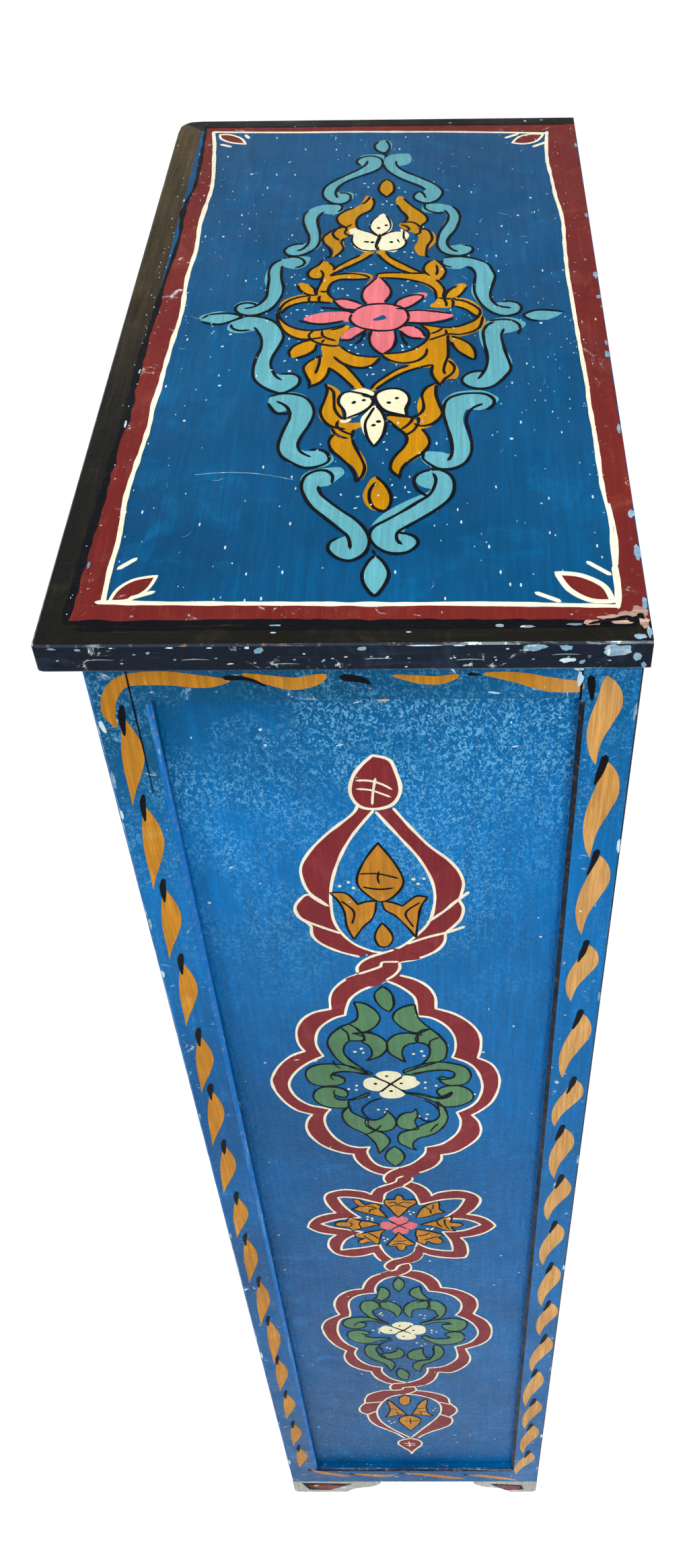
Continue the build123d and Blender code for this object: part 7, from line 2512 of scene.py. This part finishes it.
def sideWear(side, sign):
    coat = Coat(f"sideWear_{side}", "carcass", "painted_frame", onSide(sign, faces["side"]))
    for line, widths, uneven in cracks:
        coat.stroke("ink", "fleck", line, widths, uneven=uneven)
    flakes(coat, "fleck", sideFlakes, 1.9, sign)
    coat.done()
    marks = Coat(f"panelWear_{side}", "carcass", "painted_side_panel", onSide(sign, faces["sidePanel"]))
    for i in range(wearLook["panelFlecks"]):
        y = -105 + 228 * (0.5 + 0.5 * math.sin(i * 12.98 + 0.4))
        z = 110 + 1320 * (0.5 + 0.5 * math.sin(i * 7.23))
        wide, high = 0.35 + 0.8 * abs(math.sin(i * 3.3)) ** 4, 0.4 + 0.6 * abs(math.sin(i * 1.3)) ** 2
        marks.fill("fleckWhite", "fleck", ragged(y, z, wide, high, i * 1.1 + sign))
    for y, z in panelDashes:
        marks.stroke("fleckWhite", "fleck", [(y - 2.2, z - 0.6), (y + 2.4, z + 0.8)], 1.1)
    marks.done()


sideWear("right", 1)
sideWear("left", -1)
print("wear added")


cameraLook = {
    "place": (0.8805, 0.0553, 2.0216),
    "down": 46.37,
    "roll": -1.038,
    "turn": 0.947,
    "lens": 32.885,
    "sensor": 36,
    "shift": (-0.0546, -0.0300),
}


def aimed():
    # worked out as if it looked along y, then turned a quarter to look at the cabinet's right-hand side
    down, roll, turn = (math.radians(cameraLook[k]) for k in ("down", "roll", "turn"))
    spin = Matrix.Rotation(turn, 3, "Z")
    ahead = spin @ Vector((0, math.cos(down), -math.sin(down)))
    upward = spin @ Vector((0, math.sin(down), math.cos(down)))
    across = spin @ Vector((1, 0, 0))
    right = math.cos(roll) * across + math.sin(roll) * upward
    top = -math.sin(roll) * across + math.cos(roll) * upward
    columns = [Vector((-v.y, v.x, v.z)) for v in (right, top, -ahead)]
    return Matrix(columns).transposed().to_4x4()


camera = bpy.data.objects.new("camera", bpy.data.cameras.new("camera"))
bpy.context.scene.collection.objects.link(camera)
camera.matrix_world = Matrix.Translation(cameraLook["place"]) @ aimed()
camera.data.lens = cameraLook["lens"]
camera.data.sensor_width = cameraLook["sensor"]
camera.data.shift_x, camera.data.shift_y = cameraLook["shift"]
camera.data.clip_start = 0.01
bpy.context.scene.camera = camera

# pale floor, white surroundings and soft lamps
studio = {
    "floorSize": 12,  # m each way
    "floor": (236, 236, 236),
    "floorClouds": (214, 214, 214),
    "floorRough": 0.9,
    "glow": 0.55,  # how much of the floor's white is its own
    "glowLevel": 1.5,
    "surroundings": 0.42,  # light that comes from all round; what shows there is white
    "lamps": (  # name, place, aim, size, power, and whether gloss shows it
        ("key", (1.5, -2.0, 3.2), (0, 0, 0.9), 1.4, 52, False),
        ("fill", (2.8, 1.3, 2.2), (0.3, 0, 0.8), 1.6, 44, False),
        ("overhead", (0.5, 0.2, 3.6), (0, 0, 1.4), 1.6, 36, False),
        ("window", (-3.4, -1.6, 2.6), (0, 0, 1.4), 1.2, 4, True),
        ("lowPanel", (1.45, -0.3, 0.06), (0.3, -0.1, 1.3), 0.5, 2.2, True),
    ),
}


def shownDirectly(tree):
    # 1 where the camera, gloss or glass looks straight at it, 0 where it only lights things
    path = tree.nodes.new("ShaderNodeLightPath")
    either = path.outputs["Is Camera Ray"]
    for kind in ("Is Glossy Ray", "Is Transmission Ray"):
        greater = tree.nodes.new("ShaderNodeMath")
        greater.operation = "MAXIMUM"
        tree.links.new(either, greater.inputs[0])
        tree.links.new(path.outputs[kind], greater.inputs[1])
        either = greater.outputs[0]
    return either


floorShape = bmesh.new()
bmesh.ops.create_grid(floorShape, x_segments=8, y_segments=8, size=studio["floorSize"])
floor = pieceFrom(floorShape, "floor")
r = Recipe("floorPaint")
glow = r.add("ShaderNodeEmission")
r.feed(glow.inputs["Color"], (1, 1, 1, 1))
r.feed(glow.inputs["Strength"], studio["glowLevel"])
clouds = r.ramp(r.cloud(3), 0.3, 0.7, 0, 0.04)
r.feed(r.shader.inputs["Base Color"], r.mix(clouds, tone(*studio["floor"]), tone(*studio["floorClouds"])))
r.feed(r.shader.inputs["Roughness"], studio["floorRough"])
blend = r.add("ShaderNodeMixShader")
r.feed(blend.inputs[0], r.times(shownDirectly(r.material.node_tree), studio["glow"]))
r.feed(blend.inputs[1], r.shader.outputs[0])
r.feed(blend.inputs[2], glow.outputs[0])
r.feed(r.nodes["Material Output"].inputs["Surface"], blend.outputs[0])
floor.data.materials.append(r.material)

world = bpy.data.worlds.new("surroundings")
bpy.context.scene.world = world
world.use_nodes = True
sky = world.node_tree
level = sky.nodes.new("ShaderNodeMapRange")
level.inputs["To Min"].default_value = studio["surroundings"]
level.inputs["To Max"].default_value = 1.0
sky.links.new(shownDirectly(sky), level.inputs["Value"])
sky.links.new(level.outputs["Result"], sky.nodes["Background"].inputs["Strength"])
sky.nodes["Background"].inputs["Color"].default_value = (1, 1, 1, 1)

for name, place, aim, size, power, glossy in studio["lamps"]:
    lamp = bpy.data.lights.new(name, "AREA")
    lamp.shape = "DISK"
    lamp.size = size
    lamp.energy = power
    holder = bpy.data.objects.new(name, lamp)
    bpy.context.scene.collection.objects.link(holder)
    holder.location = place
    holder.rotation_euler = (Vector(aim) - Vector(place)).to_track_quat("-Z", "Y").to_euler()
    holder.visible_camera = False
    holder.visible_glossy = glossy
bpy.context.scene.view_settings.view_transform = "Standard"
print("camera, floor and lamps placed")
